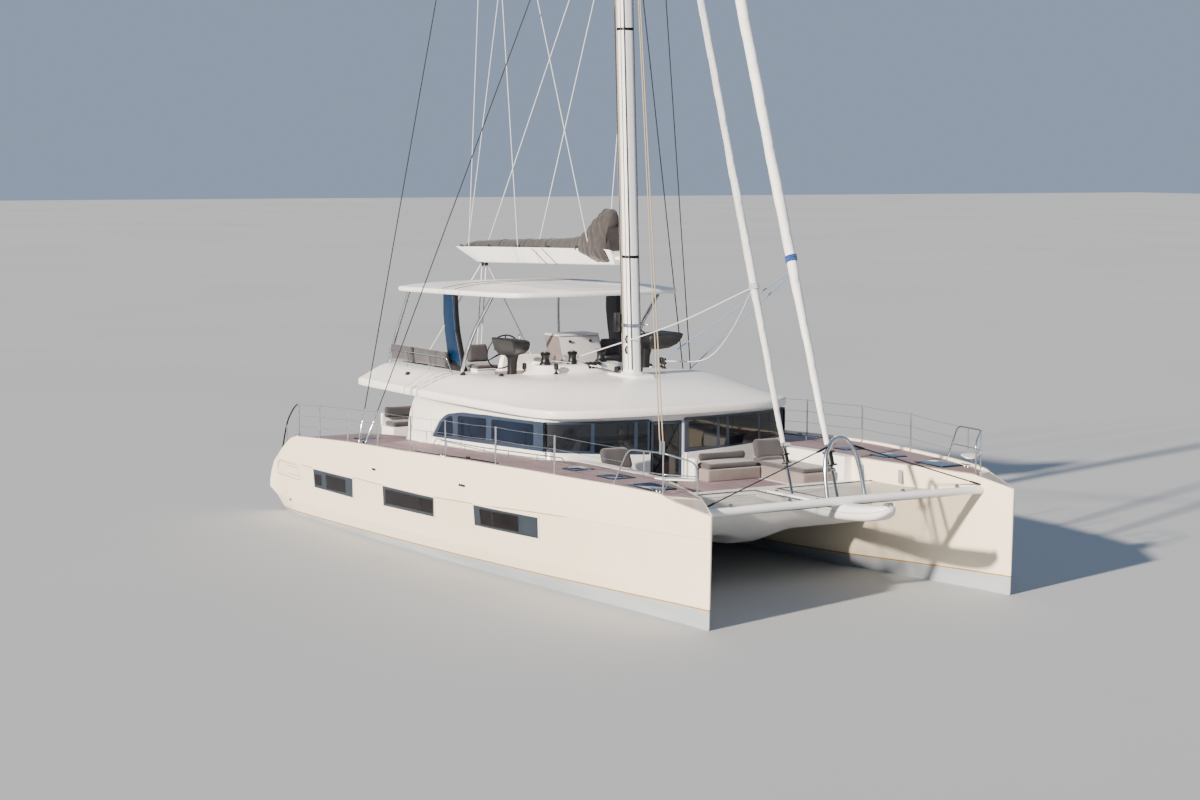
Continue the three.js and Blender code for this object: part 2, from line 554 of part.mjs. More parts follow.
function mast() {
  const section = (z, length, width) => Array.from({ length: 14 }, (_, i) => {
    const turn = i * 2 * Math.PI / 14;
    return [mastAt(z).x + length * Math.cos(turn), width * Math.sin(turn), z];
  });
  const tube = loft([section(MAST_FOOT.z + GAP, 215, 170), section(24000, 215, 170),
    section(MAST_HEAD_Z, 150, 120)]);
  const tip = spreaderTip();
  const spreaders = [1, -1].map((side) => rod(
    mastAt(SPREADER_Z), v3(tip.x, side * tip.y, tip.z), 70, 8, 40));
  const lugs = [-75, 45].map((offset) => joined(
    box(BOOM_PIVOT.x, 350, -60, 60, BOOM_PIVOT.z + offset, BOOM_PIVOT.z + offset + 30),
    rod(BOOM_PIVOT.clone().setZ(BOOM_PIVOT.z + offset), BOOM_PIVOT.clone().setZ(BOOM_PIVOT.z + offset + 30), 60, 16)));
  const pinHole = rod(BOOM_PIVOT.clone().setZ(BOOM_PIVOT.z - 90), BOOM_PIVOT.clone().setZ(BOOM_PIVOT.z + 90),
    BOOM_PIN_RADIUS + RUNNING, PIN_SIDES);
  const mastheadFittings = [
    box(mastAt(MAST_HEAD_Z).x - 420, mastAt(MAST_HEAD_Z).x + 260, -60, 60, MAST_HEAD_Z - 60, MAST_HEAD_Z + 60),
    rod(mastAt(MAST_HEAD_Z).add(v3(-330, 0, 0)), mastAt(MAST_HEAD_Z).add(v3(-330, 0, 1100)), 12, 6),
  ];
  return without(joined(tube, ...spreaders, ...lugs, ...mastheadFittings), pinHole);
}

function shrouds(mastSolid, hullSolid) {
  const plateOf = (y) => CHAINPLATE.clone().setY(y);
  const capTop = mastAt(HOUNDS_Z);
  const tip = spreaderTip().add(v3(0, 60, 0));
  const cap = bentTube([plateOf(CHAINPLATE.y).setZ(2200), tip, capTop], 14, 6);
  const lower = rod(plateOf(CHAINPLATE.y - 160).setZ(2200), mastAt(LOWERS_Z), 14, 6);
  const trim = (solid) => clearOf(clearOf(solid, mastSolid, ['up', 'down', 'out']), hullSolid, ['up']);
  return [trim(cap), trim(lower)];
}

// Headsails furled on their stays: tack, the height where the stay meets the mast, and the sail's ends
function furledSail(tack, headZ, sailFrom, sailTo, radii, mastSolid) {
  const head = mastAt(headZ);
  const at = (z) => tack.clone().lerp(head, (z - tack.z) / (head.z - tack.z));
  const stay = rod(tack, head, 11, 6);
  const drum = rod(at(sailFrom - 420), at(sailFrom - 250), 120, 14);
  const middle = sailFrom + (sailTo - sailFrom) * 0.3;
  const sail = taperedTube([at(sailFrom), at(middle), at(sailTo)], radii, 12);
  return joined(stay, drum, sail).subtract(mastSolid.translate([GAP, 0, 0]));
}

function boom() {
  const ring = (x, top, bottom, topHalf, bottomHalf) => [
    [x, -topHalf, top], [x, -bottomHalf, bottom], [x, bottomHalf, bottom], [x, topHalf, top]];
  const tray = loft([
    [[-8150, -260, 6880], [-7250, -70, 6490], [-7250, 70, 6490], [-8150, 260, 6880]],
    ring(-6800, 6910, 6500, 300, 80), ring(-300, 7080, 6690, 300, 90), ring(-100, 7040, 6720, 200, 80),
  ]);
  const tongue = box(-150, BOOM_PIVOT.x + 55, -45, 45, BOOM_PIVOT.z - 40, BOOM_PIVOT.z + 40);
  const pin = rod(BOOM_PIVOT.clone().setZ(BOOM_PIVOT.z - 85), BOOM_PIVOT.clone().setZ(BOOM_PIVOT.z + 85),
    BOOM_PIN_RADIUS, PIN_SIDES);
  return joined(tray, tongue, pin);
}

// The stowed mainsail in its cover: x, half width, height of each section over the boom
const SAIL_STACK = [[-7900, 120, 60], [-6500, 230, 170], [-3500, 255, 230], [-2000, 260, 330],
  [-1300, 265, 620], [-900, 270, 900], [-400, 215, 860], [-270, 150, 640]];

function mainsail(boomSolid) {
  const rings = SAIL_STACK.map(([x, half, height]) => {
    const base = 6880 + (x + 8150) * 0.0258;
    return [[x, -half, base - 20], [x, half, base - 20], [x, half * 1.12, base + height * 0.45],
      [x, half * 0.6, base + height * 0.92], [x, 0, base + height], [x, -half * 0.6, base + height * 0.92],
      [x, -half * 1.12, base + height * 0.45]];
  });
  return clearOf(loft(rings), boomSolid, ['up']);
}

// Bow: crossbeam, striker arch, bowsprit and nets
function crossbeam(portHull) {
  const tube = rod(v3(BEAM_X, -3900, BEAM_Z), v3(BEAM_X, 3900, BEAM_Z), BEAM_RADIUS, 16);
  return clearOf(clearOf(tube, portHull, ['in']), mirrored(portHull), ['out']);
}

function strikerArch(beamSolid) {
  const top = 3430;
  const half = 480;
  const arch = bentTube([
    v3(BEAM_X, -half - 20, BEAM_Z), v3(BEAM_X, -half, top - 330), v3(BEAM_X, -half * 0.75, top - 90),
    v3(BEAM_X, -half * 0.35, top), v3(BEAM_X, half * 0.35, top), v3(BEAM_X, half * 0.75, top - 90),
    v3(BEAM_X, half, top - 330), v3(BEAM_X, half + 20, BEAM_Z)], 30, 6);
  const stays = [1, -1].map((side) => rod(
    v3(BEAM_X, side * half * 0.3, top), v3(BEAM_X, side * 3150, BEAM_Z), 12, 6));
  return clearOf(joined(arch, ...stays), beamSolid, ['up']);
}

function bowsprit(beamSolid) {
  const root = BRIDGE_FRONT + GAP;
  const profile = [
    [root, 1900], [root, 2110], [8300, 2120], [8500, 2180], [8760, 2180], [9100, 2140], [10380, 2230],
    [10440, 2190], [10420, 2130], [9700, 1960], [8900, 1900], [8300, 1960],
  ];
  const halfPlan = [[5900, 250], [8200, 250], [8700, 190], [9600, 260], [10200, 250], [10400, 160]];
  const tongue = slabY(profile, -400, 400).intersect(plate(bothHalves(halfPlan, 10450), 1500, 2500));
  return clearOf(tongue, beamSolid, ['down', 'aft', 'up']);
}

const NET_Z = 2080;
const NET_FRONT = BEAM_X - BEAM_RADIUS - 40;
function net(portHull) {
  const aft = BRIDGE_FRONT + GAP;
  const outline = [[aft, 270], [NET_FRONT, 270], [NET_FRONT, 3700], [aft, 3300]];
  return clearOf(plate(outline, NET_Z, NET_Z + 14), portHull, ['in']);
}

// Guard rails: x of each stanchion, all at the outer deck edge
const STANCHIONS = [-7650, -6300, -4650, -3000, -1250, 470, 2710, 4920];
const RAIL_HEIGHT = 810;
const RAIL_INSET = 130;
function deckEdge(x) {
  const next = STATIONS.findIndex((row) => row[0] >= x);
  const [a, b] = [STATIONS[next - 1], STATIONS[next]];
  const t = (x - a[0]) / (b[0] - a[0]);
  return v3(x, a[2] + (b[2] - a[2]) * t, a[3] + (b[3] - a[3]) * t);
}
const railPoint = (x, height) => deckEdge(x).add(v3(0, -RAIL_INSET, height));

function guardRail(hullSolid) {
  const posts = STANCHIONS.map((x) => rod(railPoint(x, -60), railPoint(x, RAIL_HEIGHT + 10), 14, 6));
  const wires = [RAIL_HEIGHT * 0.5, RAIL_HEIGHT].flatMap((height) => STANCHIONS.slice(1).map(
    (x, i) => rod(railPoint(STANCHIONS[i], height), railPoint(x, height), 8, 4)));
  const pushpit = joined(bentTube([
    railPoint(-7650, RAIL_HEIGHT), v3(-7900, 4790, 2910), v3(-8580, 4760, 2390), v3(-8930, 4750, 1620)], 16, 6),
    rod(v3(-8580, 4750, 1700), v3(-8580, 4760, 2390), 14, 6));
  return clearOf(joined(...posts, ...wires, pushpit, pulpit()), hullSolid, ['up']);
}

// Pulpit on each bow: a top rail round the bow deck's corner, a middle rail, and their posts
function pulpit() {
  const [leg, legTop] = [v3(6850, 4380, 2520), v3(7300, 4300, 3370)];
  const [corner, front] = [v3(8300, 4110, 3370), v3(8750, 3560, 3180)];
  const foot = (top, z) => top.clone().setZ(z);
  const legAt = (z) => leg.clone().lerp(legTop, (z - leg.z) / (legTop.z - leg.z));
  const middle = 2960;
  const lifelines = [RAIL_HEIGHT * 0.5, RAIL_HEIGHT].map((height, i) => rod(
    railPoint(4920, height), i ? legTop : legAt(middle), 8, 4));
  return joined(bentTube([leg, legTop, corner, front, foot(front, 2400)], 16, 6),
    rod(foot(corner, 2440), corner, 14, 6),
    bentTube([legAt(middle), foot(corner, middle), foot(front, middle - 80)], 12, 6), ...lifelines);
}

// Forward cockpit lounges, aft cockpit and saloon furniture
// A sunpad on each side with its backrest at the aft end; on the port side it turns the corner to the door
function forwardLounge() {
  const base = box(2980, 5200, 1600, FORWARD_COCKPIT.halfWidth - 10, SOLE + GAP, 2330);
  const back = slabY([[3050, 2300], [3270, 2300], [3180, 2830], [3020, 2830]], 1650, 2400);
  return joined(base, back);
}
const cornerSeat = () => box(2980, 3600, 120, 1610, SOLE + GAP, 2400);

const SEAT_Z = 2380;
const aftSofa = () => joined(
  box(-8150, -7450, -2300, 2300, SOLE + GAP, SEAT_Z),
  slabY([[-8150, SEAT_Z - 5], [-7990, SEAT_Z - 5], [-8060, 2760], [-8180, 2760]], -2300, 2300));

const table = (x0, x1, y0, y1, height) => joined(
  box(x0, x1, y0, y1, height - 40, height),
  box((x0 + x1) / 2 - 90, (x0 + x1) / 2 + 90, (y0 + y1) / 2 - 90, (y0 + y1) / 2 + 90, SOLE + GAP, height - 39));

const saloonSofa = () => joined(
  box(-2600, 900, 1950, 2660, SOLE + GAP, SEAT_Z),
  box(-2600, 900, 2460, 2660, SEAT_Z - 5, 2780),
  box(150, 900, 900, 1951, SOLE + GAP, SEAT_Z));

// Platform between the sterns, carried on two arms that swing it down to the water
const axleY = (point, radius, y0, y1) => rod(
  point.clone().setY(y0), point.clone().setY(y1), radius, PIN_SIDES);

function platformArms() {
  const outline = [[ARM_PIVOT.x + 50, ARM_PIVOT.z - 50], [ARM_PIVOT.x + 50, ARM_PIVOT.z + 50],
    [ARM_END.x - 50, ARM_END.z + 45], [ARM_END.x - 50, ARM_END.z - 45]];
  const arm = joined(slabY(outline, ARM_Y - 40, ARM_Y + 40), axleY(ARM_PIVOT, ARM_AXLE_RADIUS, ARM_Y - 140, ARM_Y + 140));
  return joined(arm, mirrored(arm), axleY(ARM_END, PLATFORM_AXLE_RADIUS, -ARM_Y - 60, ARM_Y + 60));
}

// A pair of cheeks under the bridgedeck that hold one arm's axle
function platformBracket() {
  const [x, z] = [ARM_PIVOT.x, ARM_PIVOT.z];
  const outline = [[x - 130, TUNNEL_ROOF + 5], [x - 80, z - 70], [x + 80, z - 70], [x + 130, TUNNEL_ROOF + 5]];
  const cheeks = [-100, 100].map((dy) => slabY(outline, ARM_Y + dy - 25, ARM_Y + dy + 25));
  return cheeks.map((cheek) => without(cheek, axleY(ARM_PIVOT, ARM_AXLE_RADIUS + RUNNING, 0, 2500)));
}

const PLATFORM = { x0: -9560, x1: -8690, half: 2450, underside: 1000, top: 1080 };

function tenderPlatform() {
  const deck = box(PLATFORM.x0, PLATFORM.x1, -PLATFORM.half, PLATFORM.half, PLATFORM.underside, PLATFORM.top);
  const low = ARM_END.z - 55;
  const outline = [[ARM_END.x - 60, low], [ARM_END.x + 60, low], [ARM_END.x + 60, ARM_END.z + 50],
    [PLATFORM.x1 - 5, PLATFORM.top - 10], [PLATFORM.x1 - 200, PLATFORM.underside + 1]];
  const cheeks = [-1500, 1500].map((y) => slabY(outline, y - 30, y + 30));
  return without(joined(deck, ...cheeks), axleY(ARM_END, PLATFORM_AXLE_RADIUS + RUNNING, -2000, 2000));
}

// Assembly
const portHull = hull();
const cheeks = platformBracket();
const bridge = joined(bridgedeck(portHull), ...cheeks, ...cheeks.map(mirrored));
const roofSolid = roof();
const topSolid = hardtop();
const mastSolid = mast();
const beamSolid = crossbeam(portHull);
const boomSolid = boom();
const spritSolid = bowsprit(beamSolid);

addPair('hull', portHull, 'gelcoat');
addPair('keel', keel(portHull), 'antifouling');
addPair('shaft_bracket', shaftBracket(portHull), 'bronze');
addPair('rudder', rudder(), 'antifouling', RUDDER_STOCK);
addPair('propeller', propeller(), 'bronze', PROPELLER);
add('bridgedeck', bridge, 'gelcoat');

const walls = saloonWalls(portHull);
add('saloon_walls', walls, 'white');
addPair('side_glass', slabY(SIDE_BAND, HOUSE_SIDE - PANE, HOUSE_SIDE), 'glass');
const hulls = joined(portHull, mirrored(portHull));
add('port_front_glass', frontGlass(1, hulls), 'glass');
add('starboard_front_glass', frontGlass(-1, hulls), 'glass');
add('forward_door', forwardDoor(), 'glass', DOOR_PIN);
add('aft_fixed_window', aftPanel(HOUSE_AFT + 55, HOUSE_AFT + 95, -AFT_DOOR.half + GAP, 60, GAP), 'glass');
add('aft_sliding_door', slidingDoor(), 'glass');

add('flybridge_deck', roofSolid, 'white');
addPair('helm_console', helmConsole(), 'black');
addPair('helm_wheel', helmWheel(), 'black', WHEEL_CENTRE);
addPair('flybridge_sofa', flybridgeSofa(roofSolid), 'cushion');
add('flybridge_bar', flybridgeBar(), 'white');
add('winch_deck', winchDeck(roofSolid), 'white');
add('hardtop', topSolid, 'white');
addPair('hardtop_blade', blade(roofSolid, topSolid), 'navy');
addPair('hardtop_aft_strut', strut(v3(-7150, 2420, 3700), -6500, 2250, roofSolid, topSolid), 'steel');
addPair('hardtop_forward_strut', strut(v3(-3180, 2520, 3700), -1850, 2250, roofSolid, topSolid), 'steel');

add('mast', mastSolid, 'white');
const [capShroud, lowerShroud] = shrouds(mastSolid, portHull);
addPair('cap_shroud', capShroud, 'black');
addPair('lower_shroud', lowerShroud, 'black');
add('genoa', furledSail(v3(8640, 0, 2185), HOUNDS_Z, 3310, 27000, [125, 95, 45], mastSolid), 'sail');
const staysail = furledSail(v3(7030, 0, 2100), 23800, 3180, 22600, [95, 75, 40], mastSolid);
add('staysail', clearOf(staysail, spritSolid, ['up']), 'sail');
add('boom', boomSolid, 'white', BOOM_PIVOT);
add('stowed_mainsail', mainsail(boomSolid), 'canvas', BOOM_PIVOT);

add('crossbeam', beamSolid, 'white');
add('striker_arch', strikerArch(beamSolid), 'steel');
add('bowsprit', spritSolid, 'white');
addPair('net', net(portHull), 'net');
addPair('guard_rail', guardRail(portHull), 'steel');

add('port_forward_lounge', joined(forwardLounge(), cornerSeat()), 'cushion');
add('starboard_forward_lounge', mirrored(forwardLounge()), 'cushion');
add('aft_cockpit_sofa', aftSofa(), 'cushion');
add('aft_cockpit_table', table(-6600, -5400, -500, 900, 2680), 'oak');
add('saloon_sofa', saloonSofa(), 'cushion');
add('galley_island', box(-2400, -300, -1900, -1250, SOLE + GAP, 2880), 'oak');
add('platform_arms', platformArms(), 'steel', ARM_PIVOT);
add('tender_platform', tenderPlatform(), 'gelcoat', ARM_END);

export default group;
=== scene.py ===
# %% [markdown]
# A cruising catamaran afloat: two slim hulls, a bridgedeck with a saloon, a flybridge under a hardtop,
# a tall mast with two furled headsails, and nets forward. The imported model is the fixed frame: it says
# where each main form is and what moves. Everything made here is laid over that frame in metres,
# +X forward, +Y to port, +Z up, with the waterline at z = 0.

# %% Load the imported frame
import math

import bmesh
import bpy
import numpy as np
from mathutils import Matrix, Vector


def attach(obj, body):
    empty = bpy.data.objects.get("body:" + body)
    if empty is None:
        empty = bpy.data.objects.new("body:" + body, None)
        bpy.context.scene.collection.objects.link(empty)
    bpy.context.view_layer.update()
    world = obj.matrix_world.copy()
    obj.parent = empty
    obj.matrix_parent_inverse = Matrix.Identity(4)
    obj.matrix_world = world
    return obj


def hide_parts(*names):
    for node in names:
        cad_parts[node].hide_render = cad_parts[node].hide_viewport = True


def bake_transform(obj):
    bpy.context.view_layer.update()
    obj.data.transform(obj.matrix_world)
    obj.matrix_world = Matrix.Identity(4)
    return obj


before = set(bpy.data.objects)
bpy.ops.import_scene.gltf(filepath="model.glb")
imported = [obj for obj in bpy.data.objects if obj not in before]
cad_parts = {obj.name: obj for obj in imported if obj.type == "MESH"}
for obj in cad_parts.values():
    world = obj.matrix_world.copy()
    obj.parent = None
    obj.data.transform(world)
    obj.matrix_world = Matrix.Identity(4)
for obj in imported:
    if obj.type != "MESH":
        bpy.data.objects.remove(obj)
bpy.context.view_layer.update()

# %% [markdown]
# The camera stands off the starboard bow, a little above the boat, with a long lens, as from a second
# boat or a low drone. Its angle, distance and lens were solved from points whose places on the boat are
# known. Building its axes from azimuth, elevation and roll keeps the numbers readable.

# %% Camera
AZIMUTH, ELEVATION, ROLL = 1.025535, 0.101946, 0.00354      # radians
DISTANCE, LENS = 58.0016, 72.45                             # metres; mm on a 36 mm wide sensor
AIM = Vector((-0.886178, 0.0, 3.42863))

back = Vector((math.sin(AZIMUTH) * math.cos(ELEVATION), -math.cos(AZIMUTH) * math.cos(ELEVATION),
               math.sin(ELEVATION)))
right = Vector((math.cos(AZIMUTH), math.sin(AZIMUTH), 0))
up = back.cross(right)
rolled = (right * math.cos(ROLL) + up * math.sin(ROLL), up * math.cos(ROLL) - right * math.sin(ROLL), back)
camera = bpy.data.objects.new("camera", bpy.data.cameras.new("camera"))
camera.data.sensor_width, camera.data.lens = 36, LENS
camera.data.clip_end = 2000
camera.matrix_world = Matrix.Translation(AIM + back * DISTANCE) @ Matrix(rolled).transposed().to_4x4()
bpy.context.scene.collection.objects.link(camera)
bpy.context.scene.camera = camera
print("camera at", [round(c, 2) for c in camera.location])

# %% [markdown]
# Every shape below is a surface: a grid of points worked out with numpy, with faces between neighbours.
# A shell is four arrays: points, face corners, face sizes and a UV in metres for each corner. Shells join
# by stacking, and one function turns a list of them into a finished piece. Doubled points are merged and
# the faces turned outwards there, so no maker below has to think about winding.

# %% Shells
def grid(points, wrap_u=False, wrap_v=False):
    """A sheet of quads over points[u, v]; a wrapped direction joins its last row to its first.
    UV is the mean length run along each direction, in metres."""
    nu, nv = points.shape[:2]
    index = np.arange(nu * nv).reshape(nu, nv)
    full = points
    if wrap_u:
        index, full = np.vstack([index, index[:1]]), np.concatenate([full, full[:1]])
    if wrap_v:
        index, full = np.hstack([index, index[:, :1]]), np.concatenate([full, full[:, :1]], axis=1)
    run_u = np.r_[0, np.cumsum(np.linalg.norm(np.diff(full, axis=0), axis=2).mean(1))]
    run_v = np.r_[0, np.cumsum(np.linalg.norm(np.diff(full, axis=1), axis=2).mean(0))]
    corner = np.stack([index[:-1, :-1], index[1:, :-1], index[1:, 1:], index[:-1, 1:]], axis=-1)
    uv = np.stack(np.meshgrid(run_u, run_v, indexing="ij"), axis=-1)
    corner_uv = np.stack([uv[:-1, :-1], uv[1:, :-1], uv[1:, 1:], uv[:-1, 1:]], axis=2)
    count = corner.shape[0] * corner.shape[1]
    return points.reshape(-1, 3), corner.ravel(), np.full(count, 4), corner_uv.reshape(-1, 2)


def cap(ring):
    """One many-sided face over a ring of points."""
    count = len(ring)
    return ring, np.arange(count), np.array([count]), ring[:, :2].copy()


def joined(shells):
    """Several shells as one, their point numbers shifted to follow on."""
    starts = np.cumsum([0] + [len(s[0]) for s in shells[:-1]])
    return (np.concatenate([s[0] for s in shells]),
            np.concatenate([s[1] + start for s, start in zip(shells, starts)]),
            np.concatenate([s[2] for s in shells]), np.concatenate([s[3] for s in shells]))


def mirrored(shell):
    """The same shell on the other side of the centreline."""
    return (shell[0] * [1, -1, 1], *shell[1:])


def circle(count):
    """Evenly spaced angles once round, the first one 0."""
    return np.linspace(0, 2 * np.pi, count, endpoint=False)


def lobe(wave, power):
    """A sine or cosine raised to a power with its sign kept, which squares or pinches a round section."""
    return np.sign(wave) * np.abs(wave) ** power


def loft(rings):
    """A skin over rings[station, point], closed round each ring and over its two ends."""
    return joined([grid(rings, wrap_v=True), cap(rings[0]), cap(rings[-1])])


def shut(front, rear):
    """A closed shell from two sheets of matching points, with a rim along each of their four edges."""
    edges = [(a[k], b[k]) for a, b in ((front, rear), (front.swapaxes(0, 1), rear.swapaxes(0, 1)))
             for k in (0, -1)]
    return joined([grid(front), grid(rear)] + [grid(np.stack(pair)) for pair in edges])


SIDES = {"port": lambda shell: shell, "starboard": mirrored}
MERGE = 2e-5                                                # points closer than this are one


def piece(name, shells, material, body="hull", slot=None, stands_for=(), sharp=32, closed=True):
    """A finished piece of the boat: shells joined, doubles merged, faces outwards, edges sharper than an
    angle left crisp, riding on its body, or on none where none is given."""
    points, corners, sizes, uv = joined(shells if isinstance(shells, list) else [shells])
    mesh = bpy.data.meshes.new(name)
    mesh.vertices.add(len(points))
    mesh.vertices.foreach_set("co", points.astype(np.float32).ravel())
    mesh.loops.add(len(corners))
    mesh.loops.foreach_set("vertex_index", corners.astype(np.int32))
    mesh.polygons.add(len(sizes))
    mesh.polygons.foreach_set("loop_start", np.r_[0, np.cumsum(sizes)[:-1]].astype(np.int32))
    mesh.uv_layers.new(name="metres").data.foreach_set("uv", uv.astype(np.float32).ravel())
    mesh.update(calc_edges=True)
    work = bmesh.new()
    work.from_mesh(mesh)
    bmesh.ops.remove_doubles(work, verts=work.verts, dist=MERGE)
    bmesh.ops.dissolve_degenerate(work, edges=work.edges, dist=MERGE / 2)
    if closed:
        bmesh.ops.recalc_face_normals(work, faces=work.faces)
    work.to_mesh(mesh)
    work.free()
    mesh.polygons.foreach_set("use_smooth", np.ones(len(mesh.polygons), bool))
    mesh.set_sharp_from_angle(angle=math.radians(sharp))
    made = bpy.data.objects.new(name, mesh)
    bpy.context.scene.collection.objects.link(made)
    mesh.materials.append(material)
    if body:
        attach(made, body)
    if stands_for:
        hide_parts(*([stands_for] if isinstance(stands_for, str) else stands_for))
    return made


def both(name, shells, material, body="hull", stands_for=(), **more):
    """The same piece on either side of the boat. A star in a name stands for the side's own name."""
    shells = shells if isinstance(shells, list) else [shells]
    nodes = [stands_for] if isinstance(stands_for, str) else stands_for
    for side, flip in SIDES.items():
        piece(f"{side}_{name}", [flip(shell) for shell in shells], material, body.replace("*", side),
              stands_for=[node.replace("*", side) for node in nodes], **more)


# %% [markdown]
# Boats are drawn with fair curves through a few measured points. A monotone cubic keeps a curve from
# swinging past its points, which suits the hull tables. Corners on moulded parts are rounded by a short
# curve between a point before the corner and one after it, always with the same number of samples, so
# that rings with rounded corners still match each other point for point.

# %% Fair curves and rounded corners
def fair(x, xs, ys):
    """Monotone cubic through (xs, ys): slopes are harmonic means of the neighbouring chords."""
    xs, ys = np.asarray(xs, float), np.asarray(ys, float)
    ys2 = ys[:, None] if ys.ndim == 1 else ys
    step = np.diff(xs)[:, None]
    chord = np.diff(ys2, axis=0) / step
    product = chord[:-1] * chord[1:]
    total = np.where(chord[:-1] + chord[1:] == 0, 1, chord[:-1] + chord[1:])
    slope = np.vstack([chord[:1], np.where(product > 0, 2 * product / total, 0), chord[-1:]])
    k = np.clip(np.searchsorted(xs, x, side="right") - 1, 0, len(xs) - 2)
    h = np.diff(xs)[k]
    t = np.clip((np.asarray(x, float) - xs[k]) / h, 0, 1)[..., None]
    h = h[..., None]
    value = ((1 + 2 * t) * (1 - t) ** 2 * ys2[k] + t * (1 - t) ** 2 * h * slope[k]
             + t * t * (3 - 2 * t) * ys2[k + 1] + t * t * (t - 1) * h * slope[k + 1])
    return value[..., 0] if ys.ndim == 1 else value


def rounded(points, radius, samples=5, closed=True):
    """Corners of points[..., corner, axis] rounded: each becomes a quadratic Bezier that starts and ends
    radius away from it, or half the side where that is shorter."""
    points = np.asarray(points, float)
    if not closed:
        inner = rounded(points, radius, samples)
        count = points.shape[-2]
        keep = inner[..., samples:samples * (count - 1), :]
        return np.concatenate([points[..., :1, :], keep, points[..., -1:, :]], axis=-2)
    before, after = np.roll(points, 1, axis=-2) - points, np.roll(points, -1, axis=-2) - points
    radius = np.broadcast_to(radius, points.shape[-2])[..., None]
    sides = [np.maximum(np.linalg.norm(side, axis=-1, keepdims=True), 1e-9) for side in (before, after)]
    start = points + before * np.minimum(radius / sides[0], 0.5)
    end = points + after * np.minimum(radius / sides[1], 0.5)
    t = np.linspace(0, 1, samples)[:, None]
    curve = (start[..., None, :] * (1 - t) ** 2 + points[..., None, :] * 2 * t * (1 - t)
             + end[..., None, :] * t * t)
    return curve.reshape(*points.shape[:-2], -1, points.shape[-1])


def even(path, step):
    """Points a step apart along a broken line."""
    path = np.asarray(path, float)
    run = np.r_[0, np.cumsum(np.linalg.norm(np.diff(path, axis=0), axis=1))]
    at = np.linspace(0, run[-1], max(2, int(round(run[-1] / step)) + 1))
    return np.stack([np.interp(at, run, path[:, k]) for k in range(path.shape[1])], axis=1)


def spline(points, per=8, closed=False):
    """Catmull-Rom curve: each stretch leaves and arrives parallel to the line between its neighbours."""
    p = np.asarray(points, float)
    before, after = (p[-1:], p[:2]) if closed else (2 * p[:1] - p[1:2], 2 * p[-1:] - p[-2:-1])
    p = np.vstack([before, p, after])
    t = np.linspace(0, 1, per, endpoint=False)[None, :, None]
    a, b, c, d = (p[k:len(p) - 3 + k, None, :] for k in range(4))
    curve = 0.5 * (2 * b + (c - a) * t + (2 * a - 5 * b + 4 * c - d) * t ** 2
                   + (3 * b - a - 3 * c + d) * t ** 3).reshape(-1, p.shape[1])
    return curve if closed else np.vstack([curve, p[-2:-1]])


# %% [markdown]
# Rails, struts, ropes and mouldings are a round profile carried along a path. Flat-sided parts, such as
# hatches, tables and consoles, are an outline with rounded corners, carried through a few levels whose
# edges draw in, which gives each its small moulded radius.

# %% Tubes, slabs and turned parts
def tube(path, radius, sides=12, ends=True):
    """A circle carried along a path: each point's ring lies square to the path, and both ends are
    rounded off by a shorter ring."""
    path = np.asarray(path, float)
    tangent = np.gradient(path, axis=0)
    tangent /= np.linalg.norm(tangent, axis=1, keepdims=True)
    guide = np.eye(3)[np.argmin(np.abs(tangent).max(axis=0))]
    across = np.cross(tangent, guide)
    across /= np.linalg.norm(across, axis=1, keepdims=True)
    other = np.cross(tangent, across)
    radius = np.broadcast_to(radius, len(path)).astype(float)
    if ends:
        path = np.vstack([path[:1] - tangent[:1] * radius[0] * 0.3, path,
                          path[-1:] + tangent[-1:] * radius[-1] * 0.3])
        across, other = (np.vstack([a[:1], a, a[-1:]]) for a in (across, other))
        radius = np.r_[radius[0] * 0.6, radius, radius[-1] * 0.6]
    turn = circle(sides)
    rings = (path[:, None] + radius[:, None, None]
             * (across[:, None] * np.cos(turn)[:, None] + other[:, None] * np.sin(turn)[:, None]))
    return loft(rings)


def bent(points, bend, radius, sides=12, samples=7):
    """A tube through straight stretches with rounded bends."""
    return tube(rounded(points, bend, samples, closed=False), radius, sides)


def grown(outline, distance):
    """A closed outline moved outwards by a distance, each corner along its mitre. A counterclockwise
    outline is taken; the other way round is turned first."""
    ahead, behind = np.roll(outline, -1, axis=0) - outline, outline - np.roll(outline, 1, axis=0)
    area = np.sum(outline[:, 0] * np.roll(outline[:, 1], -1) - outline[:, 1] * np.roll(outline[:, 0], -1))
    out = [np.stack([e[:, 1], -e[:, 0]], axis=1) / np.maximum(np.linalg.norm(e, axis=1, keepdims=True), 1e-9)
           for e in (ahead, behind)]
    normal = out[0] + out[1]
    normal /= np.maximum(np.linalg.norm(normal, axis=1, keepdims=True), 1e-9)
    slant = np.maximum(np.sum(normal * out[0], axis=1, keepdims=True), 0.4)
    return outline + np.sign(area) * normal * distance / slant


def lifted(outline, height, plane="xy"):
    """A flat outline placed at a height along the axis that its plane leaves out."""
    a, b = outline[:, 0], outline[:, 1]
    level = np.broadcast_to(height, a.shape)
    return np.stack({"xy": (a, b, level), "xz": (a, level, b), "yz": (level, a, b)}[plane], axis=1)


def oblong(a0, a1, b0, b1):
    """The four corners of an upright rectangle."""
    return [(a0, b0), (a1, b0), (a1, b1), (a0, b1)]


def slab(outline, low, high, edge=0.01, plane="xy", corner=0.0):
    """An outline carried from low to high, its corners rounded and its two rims drawn in by a quarter
    round of the edge's radius."""
    outline = np.asarray(outline, float)
    if corner:
        outline = rounded(outline, corner)
    turn = np.linspace(0, np.pi / 2, 4)
    levels = [(low + edge * (1 - math.cos(t)), -edge * (1 - math.sin(t))) for t in turn]
    levels += [(high - edge * (1 - math.sin(t)), -edge * (1 - math.cos(t))) for t in turn]
    return loft(np.stack([lifted(grown(outline, inset), height, plane) for height, inset in levels]))


